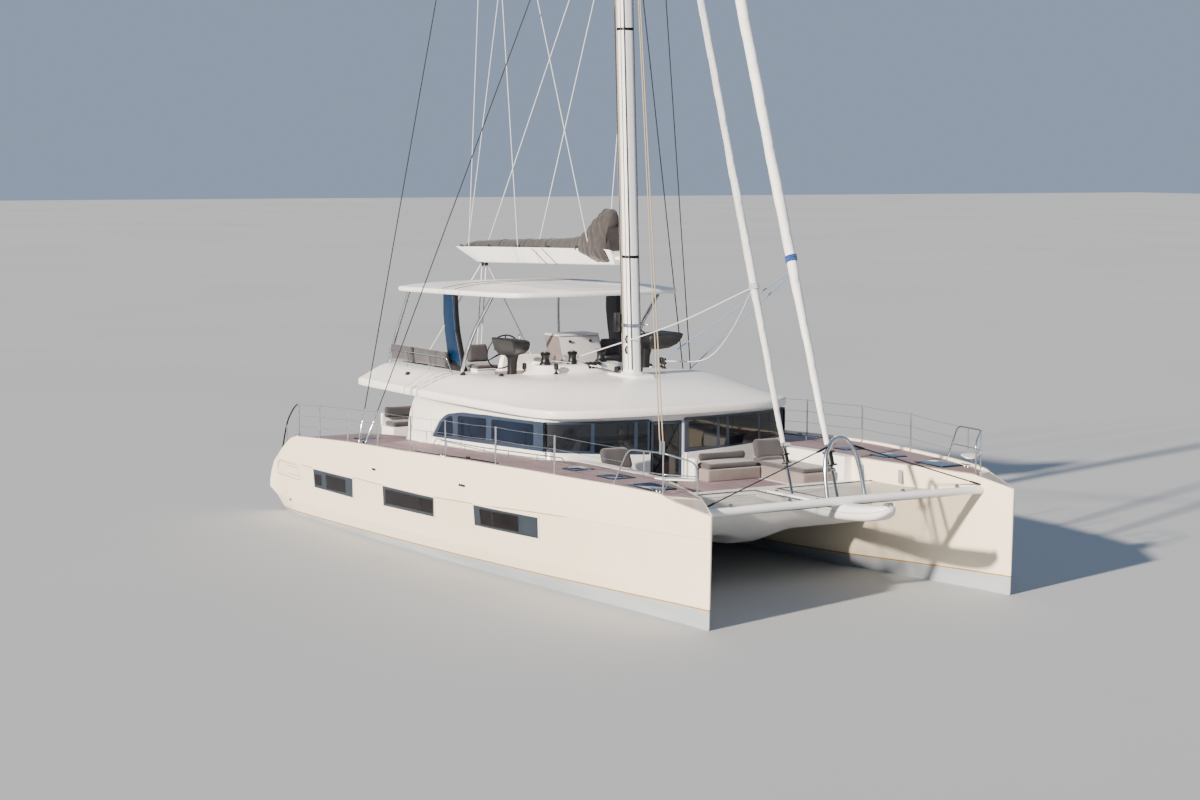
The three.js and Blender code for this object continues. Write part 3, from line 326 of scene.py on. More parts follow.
def block(x0, x1, y0, y1, z0, z1, corner=0.03, edge=0.012):
    """A moulded box: a rounded rectangle from z0 to z1."""
    return slab(oblong(x0, x1, y0, y1), z0, z1, edge, corner=corner)


def turned(profile, centre, axis="z", sides=32):
    """A profile of (radius, height) pairs turned round an axis through the centre."""
    profile = np.asarray(profile, float)
    turn = circle(sides)
    r, h = profile[:, :1], np.broadcast_to(profile[:, 1:], (len(profile), sides))
    a, b = r * np.cos(turn), r * np.sin(turn)
    rings = np.stack({"z": (a, b, h), "y": (a, h, b), "x": (h, a, b)}[axis], axis=-1) + np.asarray(centre)
    return loft(rings)


def thick(points, depth):
    """A closed shell from an open sheet points[u, v], its other face a depth away along the normals."""
    du, dv = np.gradient(points, axis=0), np.gradient(points, axis=1)
    normal = np.cross(du, dv)
    normal /= np.maximum(np.linalg.norm(normal, axis=2, keepdims=True), 1e-12)
    return shut(points, points + normal * depth)


# %% [markdown]
# Materials are node trees. One function turns a colour from the usual web form to the linear values that
# shaders take, one adds a node with its settings and links, and one starts a material with the shader
# that all of them end in. Patterns are laid out in the object's own coordinates, which are metres here.

# %% Material helpers
def linear(code):
    """sRGB hex to linear light."""
    s = np.array([int(code[k:k + 2], 16) / 255 for k in (0, 2, 4)])
    return (*np.where(s <= 0.04045, s / 12.92, ((s + 0.055) / 1.055) ** 2.4).tolist(), 1.0)


def add_node(tree, kind, inputs=None, **settings):
    """Adds a node: inputs are its sockets' values or the sockets that feed them, settings its properties."""
    node = tree.nodes.new("ShaderNode" + kind)
    for key, value in settings.items():
        setattr(node, key, value)
    for key, value in (inputs or {}).items():
        if isinstance(value, bpy.types.NodeSocket):
            tree.links.new(value, node.inputs[key])
        else:
            node.inputs[key].default_value = value
    return node


def calc(tree, operation, *values):
    """One step of arithmetic on sockets and numbers."""
    return add_node(tree, "Math", dict(enumerate(values)), operation=operation).outputs[0]


def mixed(tree, factor, first, second):
    """A colour between two others."""
    node = add_node(tree, "Mix", {"Factor": factor, "A": first, "B": second}, data_type="RGBA")
    return node.outputs["Result"]


def noise_of(tree, where, scale, detail):
    """Noise over the object, its lumps about 1 / scale metres apart."""
    return add_node(tree, "TexNoise", {"Vector": where, "Scale": scale, "Detail": detail}).outputs["Fac"]


def ramped(tree, factor, tones, start, end):
    """A colour that goes from the first hex value to the second as the factor goes from start to end."""
    ramp = add_node(tree, "ValToRGB", {"Fac": factor})
    for element, place, tone in zip(ramp.color_ramp.elements, (start, end), tones):
        element.position, element.color = place, linear(tone)
    return ramp.outputs["Color"]


def blotched(tree, where, tones, scale, detail=3.0, stretch=(1, 1, 1)):
    """A colour that wanders between two hex values over a noise of about 1 / scale metres."""
    spot = add_node(tree, "Mapping", {"Vector": where, "Scale": stretch}).outputs[0]
    return ramped(tree, noise_of(tree, spot, scale, detail), tones, 0.35, 0.65)


def started(name, tones=None, scale=1.0, detail=3.0, stretch=(1, 1, 1), **sockets):
    """A material with one Principled shader, its named sockets set. Where tones are given, the base colour
    wanders between them. Returns the material, its tree, the shader and the coordinates."""
    material = bpy.data.materials.new(name)
    material.use_nodes = True
    tree = material.node_tree
    shader = tree.nodes["Principled BSDF"]
    for key, value in sockets.items():
        shader.inputs[key.replace("_", " ")].default_value = value
    where = add_node(tree, "TexCoord").outputs
    if tones:
        tree.links.new(blotched(tree, where["Object"], tones, scale, detail, stretch),
                       shader.inputs["Base Color"])
    return material, tree, shader, where


def bumped(tree, shader, height, distance, strength=0.5):
    """A bump of a real height in metres on the shader's normal."""
    bump = add_node(tree, "Bump", {"Height": height, "Distance": distance, "Strength": strength})
    tree.links.new(bump.outputs[0], shader.inputs["Normal"])


def grained(made, scale, detail, depth, strength=0.5):
    """A started material given a bump of noise, and then the material alone."""
    material, tree, shader, where = made
    bumped(tree, shader, noise_of(tree, where["Object"], scale, detail), depth, strength)
    return material


# %% [markdown]
# Topsides and deck mouldings are polyester gelcoat: sprayed in a mould, so it is glossy and even, with a
# very faint waviness in long reflections. The hull sides are a warm ivory, and the antifouling paint
# starts just over the waterline, on a line that climbs slowly towards the bow. That line is a step in the
# height of the point, with a thin tan stripe just over it, so it is painted by the material.

# %% Gelcoat
def gelcoat(name, light, shade, roughness=0.22):
    """Moulded gelcoat, IOR 1.5: broad tone changes of a few metres, and a ripple too small to see as a
    shape, about 0.4 mm deep over 0.3 m, that only breaks up reflections."""
    return grained(started(name, (light, shade), 0.35, Roughness=roughness, IOR=1.5), 3.0, 1.0, 0.0004)


ivory = gelcoat("ivory_gelcoat", "f6ead2", "f1e4ca")
white = gelcoat("white_gelcoat", "f1f0ee", "e9e9e8", 0.28)
navy = gelcoat("navy_gelcoat", "002343", "001c39", 0.36)

PAINT_AMIDSHIPS, PAINT_RISE = 0.22, 0.0165          # height of the paint line, and its climb per metre
made = started("topsides_with_bottom_paint", IOR=1.5)
topsides = grained(made, 1.6, 1.0, 0.0006)
_, tree, shader, where = made
axes = add_node(tree, "SeparateXYZ", {"Vector": where["Object"]}).outputs
over = calc(tree, "SUBTRACT", axes["Z"], calc(tree, "MULTIPLY_ADD", axes["X"], PAINT_RISE, PAINT_AMIDSHIPS))
edge = add_node(tree, "MapRange", {"Value": over, "From Min": -0.006, "From Max": 0.006}).outputs[0]
ivory_tone = blotched(tree, where["Object"], ("f7ebd3", "f2e5cb"), 0.3)
paint_tone = blotched(tree, where["Object"], ("aab1b8", "98a1aa"), 1.4, stretch=(0.4, 0.4, 2.0))
striped = mixed(tree, calc(tree, "COMPARE", over, 0.02, 0.018), ivory_tone, linear("a3854f"))
tree.links.new(mixed(tree, edge, paint_tone, striped), shader.inputs["Base Color"])
matt = add_node(tree, "MapRange", {"Value": edge, "To Min": 0.6, "To Max": 0.2})
tree.links.new(matt.outputs[0], shader.inputs["Roughness"])

# %% [markdown]
# The walking surfaces: planked synthetic teak, weathered to a mauve brown with black caulking, and
# moulded non-slip on the bows, whose fine diamonds are drawn as a soft grain. Planks on such a deck are
# 45 to 60 mm wide. They are drawn 90 mm wide here, because a narrower seam would not show at this size.

# %% Deck coverings
PLANK = 0.09
teak, tree, shader, where = started("synthetic_teak_planks", Roughness=0.62, IOR=1.5)
axes = add_node(tree, "SeparateXYZ", {"Vector": where["Object"]}).outputs
board = calc(tree, "DIVIDE", axes["Y"], PLANK)
seam = calc(tree, "COMPARE", calc(tree, "FRACT", board), 0.5, 0.43)
tone = add_node(tree, "TexWhiteNoise", {"W": calc(tree, "FLOOR", board)}, noise_dimensions="1D")
grain = blotched(tree, where["Object"], ("7c666c", "9d858a"), 5.0, 6.0, stretch=(0.25, 6.0, 1.0))
shift = add_node(tree, "MapRange", {"Value": tone.outputs["Value"], "To Min": 0.9, "To Max": 1.1}).outputs[0]
varied = add_node(tree, "HueSaturation", {"Color": grain, "Saturation": 0.95, "Value": shift}).outputs[0]
tree.links.new(mixed(tree, seam, linear("4a3f41"), varied), shader.inputs["Base Color"])
bumped(tree, shader, seam, 0.002, 0.6)

non_slip, tree, shader, where = started("moulded_non_slip", ("a09b98", "938f8d"), 2.5, Roughness=0.7,
                                        IOR=1.5)
grit = add_node(tree, "TexVoronoi", {"Vector": where["Object"], "Scale": 60.0})
bumped(tree, shader, grit.outputs["Distance"], 0.002)

# %% [markdown]
# Metals: polished stainless for rails and winch tops, bronze for propellers, and aluminium painted white for
# the spars. Polished tube is nearly a mirror, its roughness wandering a little.

# %% Metals
def metal(name, tones, roughness):
    """Metal with the default IOR: its roughness wanders by a few hundredths where hands and salt dull it."""
    material, tree, shader, where = started(name, tones, 6.0, Metallic=1.0)
    dull = add_node(tree, "MapRange", {"Value": noise_of(tree, where["Object"], 9.0, 4.0),
                                       "To Min": roughness - 0.05, "To Max": roughness + 0.05})
    tree.links.new(dull.outputs[0], shader.inputs["Roughness"])
    return material


steel = metal("polished_stainless_steel", ("d5d8da", "bfc4c8"), 0.2)
bronze = metal("cast_bronze", ("b3935c", "8f7a52"), 0.38)
dark_steel = metal("darkened_steel_fitting", ("3a3c40", "24262a"), 0.35)
paint = started("white_painted_aluminium", ("f4f5f6", "e9ebed"), 1.2, stretch=(1, 1, 0.2), Roughness=0.3,
                IOR=1.5)
painted = grained(paint, 45.0, 2.0, 0.0004, 0.4)

# %% [markdown]
# Saloon and hull windows are dark tinted acrylic or toughened glass, nearly black from outside, glossy,
# with a painted blue-grey border that hides the glue line. Plastic mouldings are black ABS or nylon with
# a fine spark-eroded grain.

# %% Glass and mouldings
smoked = started("smoked_glass", ("0d1116", "1d2126"), 0.9, 2.0, Roughness=0.04, IOR=1.52, Alpha=0.86)[0]
blue_smoked = started("blue_tinted_side_glass", ("050e20", "0b182c"), 0.9, 2.0, Roughness=0.06, IOR=1.3,
                      Alpha=0.96)[0]
hull_glass = started("black_hull_window_glass", ("0b0a0c", "17151a"), 2.0, 2.0, Roughness=0.1, IOR=1.2)[0]
acrylic = started("hatch_acrylic", ("3f5a7c", "2f4562"), 1.5, 2.0, Roughness=0.08, IOR=1.49)[0]


def plastic(name, tones, roughness):
    """Moulded or painted plastic: a slight mottle and a fine mould grain, drawn about 3 mm wide."""
    return grained(started(name, tones, 4.0, Roughness=roughness, IOR=1.5), 300.0, 2.0, 0.0003)


black = plastic("black_moulded_abs", ("0c0d10", "121417"), 0.42)
frame_grey = plastic("blue_grey_window_border", ("2b384c", "253143"), 0.3)
slate = plastic("slate_hull_window_border", ("222e3b", "1c2733"), 0.35)
# A tan line that is painted shade: it stands for the shadow under the small step at the hull's relief line.
relief_step_shade = plastic("relief_step_painted_shade", ("9c8155", "8f754b"), 0.6)
rubber = plastic("black_rubber_seal", ("141415", "1b1b1c"), 0.7)
wood = plastic("oak_veneer", ("a5825c", "8a6b4a"), 0.45)
seam_dark = plastic("mould_seam_shadow", ("6f6c68", "63605d"), 0.6)

# %% [markdown]
# Cloth: marine upholstery is a close grey weave, sail covers are acrylic canvas that has faded and
# wrinkled, sails are hard-finished polyester, and nets are knotless polyester. A 1 mm weave is too fine to
# show from this distance, so the threads are drawn 8 to 12 mm apart, enough to break the light.

# %% Cloth
def banded(tree, where, direction, width, distortion):
    """Waves that run across a direction, a width in metres apart."""
    inputs = {"Vector": where, "Scale": 0.314 / width, "Distortion": distortion}
    return add_node(tree, "TexWave", inputs, bands_direction=direction).outputs["Fac"]


def woven(name, tones, thread, roughness=0.85, depth=0.0012, sheen=0.25):
    """Plain weave from crossed waves in the object's coordinates, with sheen for the fibre ends."""
    material, tree, shader, where = started(name, tones, 2.2, 5.0, Roughness=roughness, IOR=1.45,
                                            Sheen_Weight=sheen)
    waves = [banded(tree, where["Object"], direction, thread, 0.4) for direction in "XYZ"]
    bumped(tree, shader, calc(tree, "ADD", calc(tree, "MULTIPLY", *waves[:2]), waves[2]), depth, 0.6)
    return material


upholstery = woven("grey_marine_upholstery", ("454246", "3a383c"), 0.009)
taupe = woven("taupe_seat_covering", ("7f7472", "716765"), 0.009)
canvas = woven("faded_grey_acrylic_canvas", ("3b3736", "2f2c2e"), 0.010)
navy_canvas = woven("navy_acrylic_canvas", ("1b2c44", "16243a"), 0.010)
sailcloth = woven("white_polyester_sailcloth", ("f3f3f2", "e6e7e8"), 0.012, 0.6, 0.0006, 0.1)
blue_tape = woven("blue_sail_tie", ("1f4f93", "193f78"), 0.008)

# %% [markdown]
# Nets are see-through from close by and grey from far off. Alpha cuts square holes in a thin sheet, so
# the deck below stays visible between the strands. Real meshes are 20 mm wide. They are drawn 50 mm wide.

# %% Net
MESH, STRAND = 0.05, 0.32
netting, tree, shader, where = started("knotless_net", ("b7b4ae", "a29f99"), 1.1, Roughness=0.8, IOR=1.45)
axes = add_node(tree, "SeparateXYZ", {"Vector": where["Object"]}).outputs
strands = [calc(tree, "LESS_THAN", calc(tree, "FRACT", calc(tree, "DIVIDE", axes[key], MESH)), STRAND)
           for key in "XY"]
tree.links.new(calc(tree, "MAXIMUM", *strands), shader.inputs["Alpha"])

# %% [markdown]
# Ropes are braided: two sets of strands that cross on a helix. The tube's own UV runs round and along it
# in metres, so the braid follows each rope wherever it leads. Wire and rod rigging is dark and plain.

# %% Rope
def braid(name, base, fleck):
    """Braided cover: a diagonal stripe of the fleck colour, and a ridged bump, both from the tube's UV."""
    material, tree, shader, where = started(name, Roughness=0.8, IOR=1.45, Sheen_Weight=0.2)
    laid = add_node(tree, "Mapping",
                    {"Vector": where["UV"], "Rotation": (0, 0, math.radians(35))}).outputs[0]
    wave = banded(tree, laid, "X", 0.034, 0.5)
    tree.links.new(ramped(tree, wave, (base, fleck), 0.72, 0.8), shader.inputs["Base Color"])
    bumped(tree, shader, wave, 0.001)
    return material


rope_black = braid("black_braided_line", "1d1f22", "2d3034")
rope_blue = braid("blue_braided_line", "4a76a8", "86a5c9")
rope_pale = braid("pale_braided_line", "d8d9da", "b7c0cc")
rope_tan = braid("tan_braided_line", "a59a84", "7d745f")
wire = plastic("dark_rod_rigging", ("26282c", "1b1d20"), 0.45)
print("materials", len(bpy.data.materials))

# %% [markdown]
# Each hull is long and slim, with nearly plumb topsides, a fine plumb stem, steps cut into its stern
# inside a curved wing, and a bevelled bow deck. A naval architect gives such a shape as stations, a few
# points on each of a dozen cross sections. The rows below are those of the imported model, in metres. Fair
# curves through each column give as many sections as the surface needs.

# %% Hull stations
# x; inner deck edge y; outer edge y, z; upper side y; chine y, z; waterline y out, in; keel y, z;
# inner knuckle y, z
ROWS = np.array([
    [-9.70, 2.90, 4.76, 1.95, 4.80, 4.64, .43, 4.45, 3.00, 3.72, -.15, 2.88, .35],
    [-9.05, 2.85, 4.86, 2.02, 4.88, 4.70, .44, 4.50, 2.90, 3.72, -.30, 2.80, .38],
    [-8.30, 2.80, 4.92, 2.08, 4.94, 4.74, .44, 4.56, 2.85, 3.72, -.40, 2.76, .40],
    [-6.50, 2.75, 5.00, 2.21, 4.99, 4.76, .45, 4.58, 2.78, 3.71, -.62, 2.62, .43],
    [-4.00, 2.75, 5.01, 2.34, 5.005, 4.76, .47, 4.56, 2.78, 3.70, -.74, 2.53, .43],
    [-1.00, 2.75, 5.02, 2.44, 5.015, 4.73, .50, 4.48, 2.79, 3.69, -.80, 2.50, .44],
    [2.00, 2.75, 4.98, 2.555, 4.965, 4.62, .55, 4.34, 2.84, 3.68, -.80, 2.52, .45],
    [4.50, 2.76, 4.80, 2.60, 4.76, 4.44, .60, 4.18, 3.06, 3.70, -.74, 2.72, .47],
    [6.50, 2.88, 4.53, 2.60, 4.48, 4.23, .64, 4.03, 3.42, 3.75, -.64, 3.15, .52],
    [7.90, 3.20, 4.29, 2.575, 4.24, 4.06, .68, 3.95, 3.64, 3.80, -.56, 3.48, .64],
    [8.70, 3.44, 4.13, 2.55, 4.07, 3.96, .70, 3.90, 3.74, 3.83, -.50, 3.65, .69],
    [9.66, 3.81, 3.89, 2.52, 3.885, 3.88, .72, 3.875, 3.825, 3.85, -.42, 3.82, .72]])
RELIEF = ([-9.7, -7.0, -4.7, -2.5, -0.4, 1.56, 5.45, 9.7], [1.43, 1.47, 1.51, 1.52, 1.55, 1.62, 1.77, 1.8])
STERN_TOP = ([-9.59, -9.52, -9.3, -9.05, -8.44, -7.9, -7.5], [.93, 1.09, 1.27, 1.46, 1.84, 2.09, 2.17])
STERN_END = ([-.5, .15, .43, .7, .93], [-9.15, -9.38, -9.5, -9.58, -9.59])    # heights, x of the transom
STEM = ([-.7, -.4, -.2, 0, 2.7], [8.8, 9.25, 9.5, 9.6, 9.66])                 # heights, x of the stem
TREADS = [(-8.88, .64), (-8.52, 1.02), (-8.16, 1.38), (-7.8, 1.74)]           # each step's fore end, height
AFT_END, FORE_END, WING_INNER = -9.59, 9.66, 4.64
CREASE = np.array([8.43, 4.18, 2.54])                              # where the bow deck starts to fall
CREASE_FALL = np.array([0.2157, 0.107])                            # drop per metre forward and outboard


def row_at(x, column):
    """One column of the stations' table at any x."""
    return fair(x, ROWS[:, 0], ROWS[:, column])


def deck_edge(x):
    """Height of the hull's outer deck edge before the bow's bevel and the stern's curve."""
    return row_at(x, 3)


def deck_z(x, y):
    """The deck's own height: 3 cm under the rail, cut down forward by the bevel's sloping plane. The two
    meet in a soft minimum 1 cm wide, which is the moulded crease."""
    flat = deck_edge(x) - 0.03
    bevel = CREASE[2] - 0.02 - CREASE_FALL[0] * (x - CREASE[0]) - CREASE_FALL[1] * (y - CREASE[1])
    return 0.5 * (flat + bevel - np.sqrt((flat - bevel) ** 2 + 0.012 ** 2))


def side_y(x, z):
    """Half breadth of the topsides at a height: straight between waterline, chine, relief line and edge."""
    row = fair(x, ROWS[:, 0], ROWS[:, 1:])
    relief = fair(x, *RELIEF)
    levels = [np.zeros_like(relief), row[..., 5], relief, row[..., 2]]
    breadths = [row[..., 6], row[..., 4], row[..., 3], row[..., 1]]
    y = breadths[0]
    for low, high, a, b in zip(levels, levels[1:], breadths, breadths[1:]):
        t = (z - low) / (high - low)
        y = np.where(t > 0, a + (b - a) * np.clip(t, 0, 1.3 if high is levels[-1] else 1), y)
    return y


# %% [markdown]
# One ring of corners runs round each section: up the stern wing or the low bulwark, over the rail, down
# the side past the relief line, chine and waterline to the keel, up the inner side and back across the
# deck. Every ring has the same corners, so their rounded versions loft straight into one skin. At a stair
# riser two sections share one x, and forward and aft the sections lean to the stem's and transom's line.

# %% Hull skin
SAMPLES = 5


def hull_sections():
    """The stations' x, and their corner points [station, corner, xyz] before rounding."""
    risers = np.array([x + d for x, _ in TREADS for d in (-1e-4, 1e-4)])
    s = np.unique(np.r_[np.linspace(AFT_END, -7.4, 44), np.linspace(-7.4, 6.8, 96),
                        np.linspace(6.8, FORE_END, 62), risers])
    row = fair(s, ROWS[:, 0], ROWS[:, 1:])
    y_in, y_out, _, y_up, y_chine, z_chine, y_wl, y_wl_in, y_keel, z_keel, y_knuckle, z_knuckle = row.T
    astern = s < -7.8
    fade = np.clip((8.75 - s) / 0.5, 0, 1)                        # the bulwark runs out at the bow's crease
    top = np.where(s < -7.5, fair(s, *STERN_TOP), deck_z(s, y_out) + 0.05 * fade)
    lip = np.where(astern, y_out - WING_INNER, 0.10)
    foot_y, lip_y = y_out - lip - 0.03 * ~astern * fade, y_out - lip * np.where(astern, 1, fade) - 0.002
    floor = deck_z(s, foot_y)
    for x, height in TREADS[::-1]:
        floor = np.where(s < x, height, floor)
    aft = np.clip((-9.2 - s) / 0.39, 0, 1)
    relief = np.minimum(fair(s, *RELIEF), top - 0.03 - 0.26 * aft)
    inner = [y_in + (foot_y - y_in) * k for k in (0, 0.25, 0.5, 0.75)]
    flat = [np.where(s < TREADS[-1][0], floor, deck_z(s, y)) for y in inner]
    bilge = 0.72
    keel_half = np.minimum(0.11, (y_wl - y_wl_in) * 0.3)
    corners = [(foot_y, floor), (lip_y, top), (y_out, top), (y_up + 0.005, relief + 0.006),
               (y_up - 0.006, relief - 0.008), (y_chine, z_chine), (y_wl, 0 * s),
               (y_keel + (y_wl - y_keel) * bilge, z_keel * 0.62), (y_keel, z_keel - keel_half * 0.2),
               (y_keel - (y_keel - y_wl_in) * bilge, z_keel * 0.62), (y_wl_in, 0 * s),
               (y_knuckle, z_knuckle), (inner[0], flat[0]), (inner[1], flat[1]), (inner[2], flat[2]),
               (inner[3], flat[3])]
    rings = np.stack([np.stack([s, y, z], axis=1) for y, z in corners], axis=1)
    radii = [.012, .02, .025, .003, .003, .05, .4, .4, .5, .4, .4, .12, .05, .02, .02, .02]
    return rounded(rings, np.array(radii), SAMPLES)


def leaned(rings):
    """Sections aft of -8.3 lean to the transom's line and those forward of 8.7 to the stem's."""
    x, z = rings[..., 0], rings[..., 2]
    end = np.interp(z, *STERN_END)
    stem = np.interp(z, *STEM)
    x = np.where(x < -8.3, -8.3 + (x + 8.3) * (end + 8.3) / (AFT_END + 8.3), x)
    x = np.where(x > 8.7, 8.7 + (x - 8.7) * (stem - 8.7) / (FORE_END - 8.7), x)
    return np.stack([x, rings[..., 1], z], axis=-1)


def strip(first, second):
    """A row of quads between two lines of points, which closes an end of the skin."""
    return grid(np.stack([first, second]))


rings = leaned(hull_sections())
turn = np.linspace(0, 1, 5)[1:, None]
nose = np.repeat(rings[-1:], 4, axis=0)
nose[..., 1] = 3.85 + (nose[..., 1] - 3.85) * np.cos(turn * 1.45)
nose[..., 0] += 0.03 * np.sin(turn * 1.45)
rings = np.concatenate([rings, nose])
stern, keel_mid = rings[0], 8 * SAMPLES + SAMPLES // 2
lower = strip(stern[4 * SAMPLES:keel_mid + 1], stern[keel_mid:13 * SAMPLES][::-1])
upper = strip(stern[2 * SAMPLES:4 * SAMPLES][::-1], stern[:2 * SAMPLES])
hull_skin = joined([grid(rings, wrap_v=True), lower, upper, cap(rings[-1])])
both("hull_skin", hull_skin, topsides, slot="gelcoat", stands_for="*_hull", sharp=24)
print("hull skin", len(hull_skin[2]), "faces; breadth amidships", round(float(side_y(0.0, 2.0)), 3))

# %% [markdown]
# Plates that lie on the topsides, such as windows, hatch lids and vents, are outlines in side view. Each
# is filled by shrinking it towards its middle, and every point is pushed out to the hull side's own
# breadth, so the plate curves with the hull. The real windows are flush panes in a shallow pale recess
# behind a painted border, split into a small opening light and a larger fixed one.

# %% Hull windows and side details
LEVELS = np.linspace(0, 2.6, 131)
outer_side = rings[:-4, 2 * SAMPLES:7 * SAMPLES]
station_x = outer_side[:, 0, 0]
skin_table = np.stack([np.interp(LEVELS, one[::-1, 2], one[::-1, 1]) for one in outer_side])


def skin_y(x, z):
    """Half breadth of the finished skin: its stations and heights, with straight lines between them."""
    x, z = np.broadcast_arrays(np.asarray(x, float), np.asarray(z, float))
    i = np.clip(np.searchsorted(station_x, x) - 1, 0, len(station_x) - 2)
    j = np.clip((z / LEVELS[1]).astype(int), 0, len(LEVELS) - 2)
    u = (x - station_x[i]) / (station_x[i + 1] - station_x[i])
    v = z / LEVELS[1] - j
    return ((1 - u) * ((1 - v) * skin_table[i, j] + v * skin_table[i, j + 1])
            + u * ((1 - v) * skin_table[i + 1, j] + v * skin_table[i + 1, j + 1]))


def dense(ring, step=0.08):
    """A closed outline with points added so that none lie further apart than a step."""
    around = np.vstack([ring, ring[:1]])
    run = np.r_[0, np.cumsum(np.linalg.norm(np.diff(around, axis=0), axis=1))]
    wanted = np.unique(np.r_[run, np.arange(0, run[-1], step)])[:-1]
    return np.stack([np.interp(wanted, run, around[:, k]) for k in (0, 1)], axis=1)


def side_plate(outline, lift, depth=0.012, corner=0.04, surface=skin_y):
    """A curved plate: outline of (x, z) points on a surface y(x, z), standing lift proud of it."""
    ring = dense(rounded(np.asarray(outline, float), corner, 5))
    middle = ring.mean(0)
    scale = np.linspace(0, 1, 5)[:, None, None]
    fill = middle + (ring - middle) * scale
    face = np.stack([fill[..., 0], surface(fill[..., 0], fill[..., 1]) + lift, fill[..., 1]], axis=-1)
    rear = face - [0, depth, 0]
    return joined([grid(face, wrap_v=True), grid(rear, wrap_v=True),
                   grid(np.stack([face[-1], rear[-1]]), wrap_v=True)])


def side_ring(outline, width, lift, depth=0.012, corner=0.04, surface=skin_y):
    """A border of a given width round an outline on the side, such as a frame or a groove's lip."""
    outer = dense(rounded(np.asarray(outline, float), corner, 5))
    inner = grown(outer, -width)
    levels = [(outer, lift - depth), (outer, lift), (inner, lift), (inner, lift - depth)]
    rings = np.stack([np.stack([o[:, 0], surface(o[:, 0], o[:, 1]) + h, o[:, 1]], axis=1)
                      for o, h in levels])
    return grid(rings, wrap_u=True, wrap_v=True)


# Each window: its painted border, then its panes, as corners aft low, aft high, forward high, forward low
WINDOWS = [([(-6.65, .957), (-6.49, 1.452), (-4.16, 1.475), (-4.39, .965)],
            [[(-6.53, 1.048), (-6.43, 1.311), (-6.08, 1.321), (-6.19, 1.054)],
             [(-5.87, 1.022), (-5.75, 1.374), (-4.66, 1.374), (-4.80, 1.056)]]),
           ([(-2.72, .993), (-2.51, 1.511), (.12, 1.545), (-.13, 1.053)],
            [[(-2.54, 1.080), (-2.385, 1.420), (-.62, 1.450), (-.78, 1.128)],
             [(-.74, 1.128), (-.58, 1.450), (-.02, 1.462), (-.18, 1.142)]]),
           ([(1.71, 1.11), (1.92, 1.612), (4.41, 1.632), (4.23, 1.141)],
            [[(2.03, 1.182), (2.15, 1.537), (2.62, 1.541), (2.50, 1.188)],
             [(2.55, 1.190), (2.67, 1.542), (3.65, 1.556), (3.51, 1.204)]])]
recess, border, panes, gap_lines = [], [], [], []
for plate, lights in WINDOWS:
    recess.append(side_ring(grown(np.array(plate), .045), .05, .012, .03, .02))
    border.append(side_plate(plate, .006, .03, .015))
    for pane in lights:
        panes.append(side_plate(pane, .011, .02, .012))
        gap_lines.append(side_ring(grown(np.array(pane), .012), .012, .013, .02, .03))
hatch_lid = [(-9.2, 1.05), (-8.76, 1.43), (-7.56, 1.42), (-7.49, 1.02)]
grooves = [side_ring(hatch_lid, 0.012, 0.003, 0.02, 0.08, side_y)]
for z in (1.34, 1.13):
    grooves.append(side_plate([(-8.25, z), (-8.25, z + .012), (-7.65, z + .012), (-7.65, z)], 0.004, 0.01,
                              0.004, side_y))
vents = []
for x, z, count in ((-3.01, 1.84, 2), (1.34, 1.98, 3), (-8.47, .41, 1)):
    for k in range(count):
        at = x + 0.1 * k
        vents.append(side_plate([(at - .045, z - .03), (at - .045, z + .03), (at + .045, z + .03),
                                 (at + .045, z - .03)], 0.012, 0.03, 0.04, side_y))
# The relief line: a thin tan tube along the small step in the topsides, painted shade under that step.
line_x = np.linspace(-7.2, 5.4, 90)
line_z = fair(line_x, *RELIEF) - .004
relief_line = tube(np.stack([line_x, skin_y(line_x, line_z), line_z], axis=1), .009, 6)
for label, shells, finish in (("window_recess", recess, ivory), ("window_borders", border, slate),
                              ("relief_line", relief_line, relief_step_shade), ("window_panes", panes, hull_glass),
                              ("window_seals", gap_lines, rubber), ("stern_locker_seam", grooves, seam_dark),
                              ("side_vents", vents, black)):
    both(label, shells, finish)
print("hull windows", len(WINDOWS), "a side, the longest",
      round(WINDOWS[1][0][2][0] - WINDOWS[1][0][0][0], 2), "m")

# %% [markdown]
# The side decks are planked from the stern steps to the bow's crease, between the saloon side and the
# bulwark. Each panel is the deck's own surface lifted 4 mm, closed below, so it can't float or sink. The
# bows forward of the crease have a moulded non-slip panel, and flush hatches let light into the cabins.

# %% Deck panels and hatches
def outer_margin(x):
    """Outer edge of the planking, 19 cm inside the hull's own edge."""
    return row_at(x, 2) - 0.19


def inner_margin(x):
    """Inner edge of the planking: clear of the saloon side, the forward coaming or the hull's own edge."""
    return np.interp(x, [-7.8, -4.6, -4.4, 2.1, 2.9, 5.3, 6.1, 6.5, 7.9, 8.7],
                     [2.87, 2.87, 3.42, 3.42, 2.95, 2.95, 2.95, 2.99, 3.31, 3.55])


def crease_x(y):
    """Where the deck starts to fall, at a breadth."""
    return CREASE[0] + (CREASE[1] - y) * 0.625


def deck_panel(x, y, lift=0.004, depth=0.012):
    """A closed panel over the deck at the points (x, y), its top a lift above it."""
    x, y = np.broadcast_arrays(x, y)
    return thick(np.stack([x, y, deck_z(x, y) + lift], axis=-1), -depth)


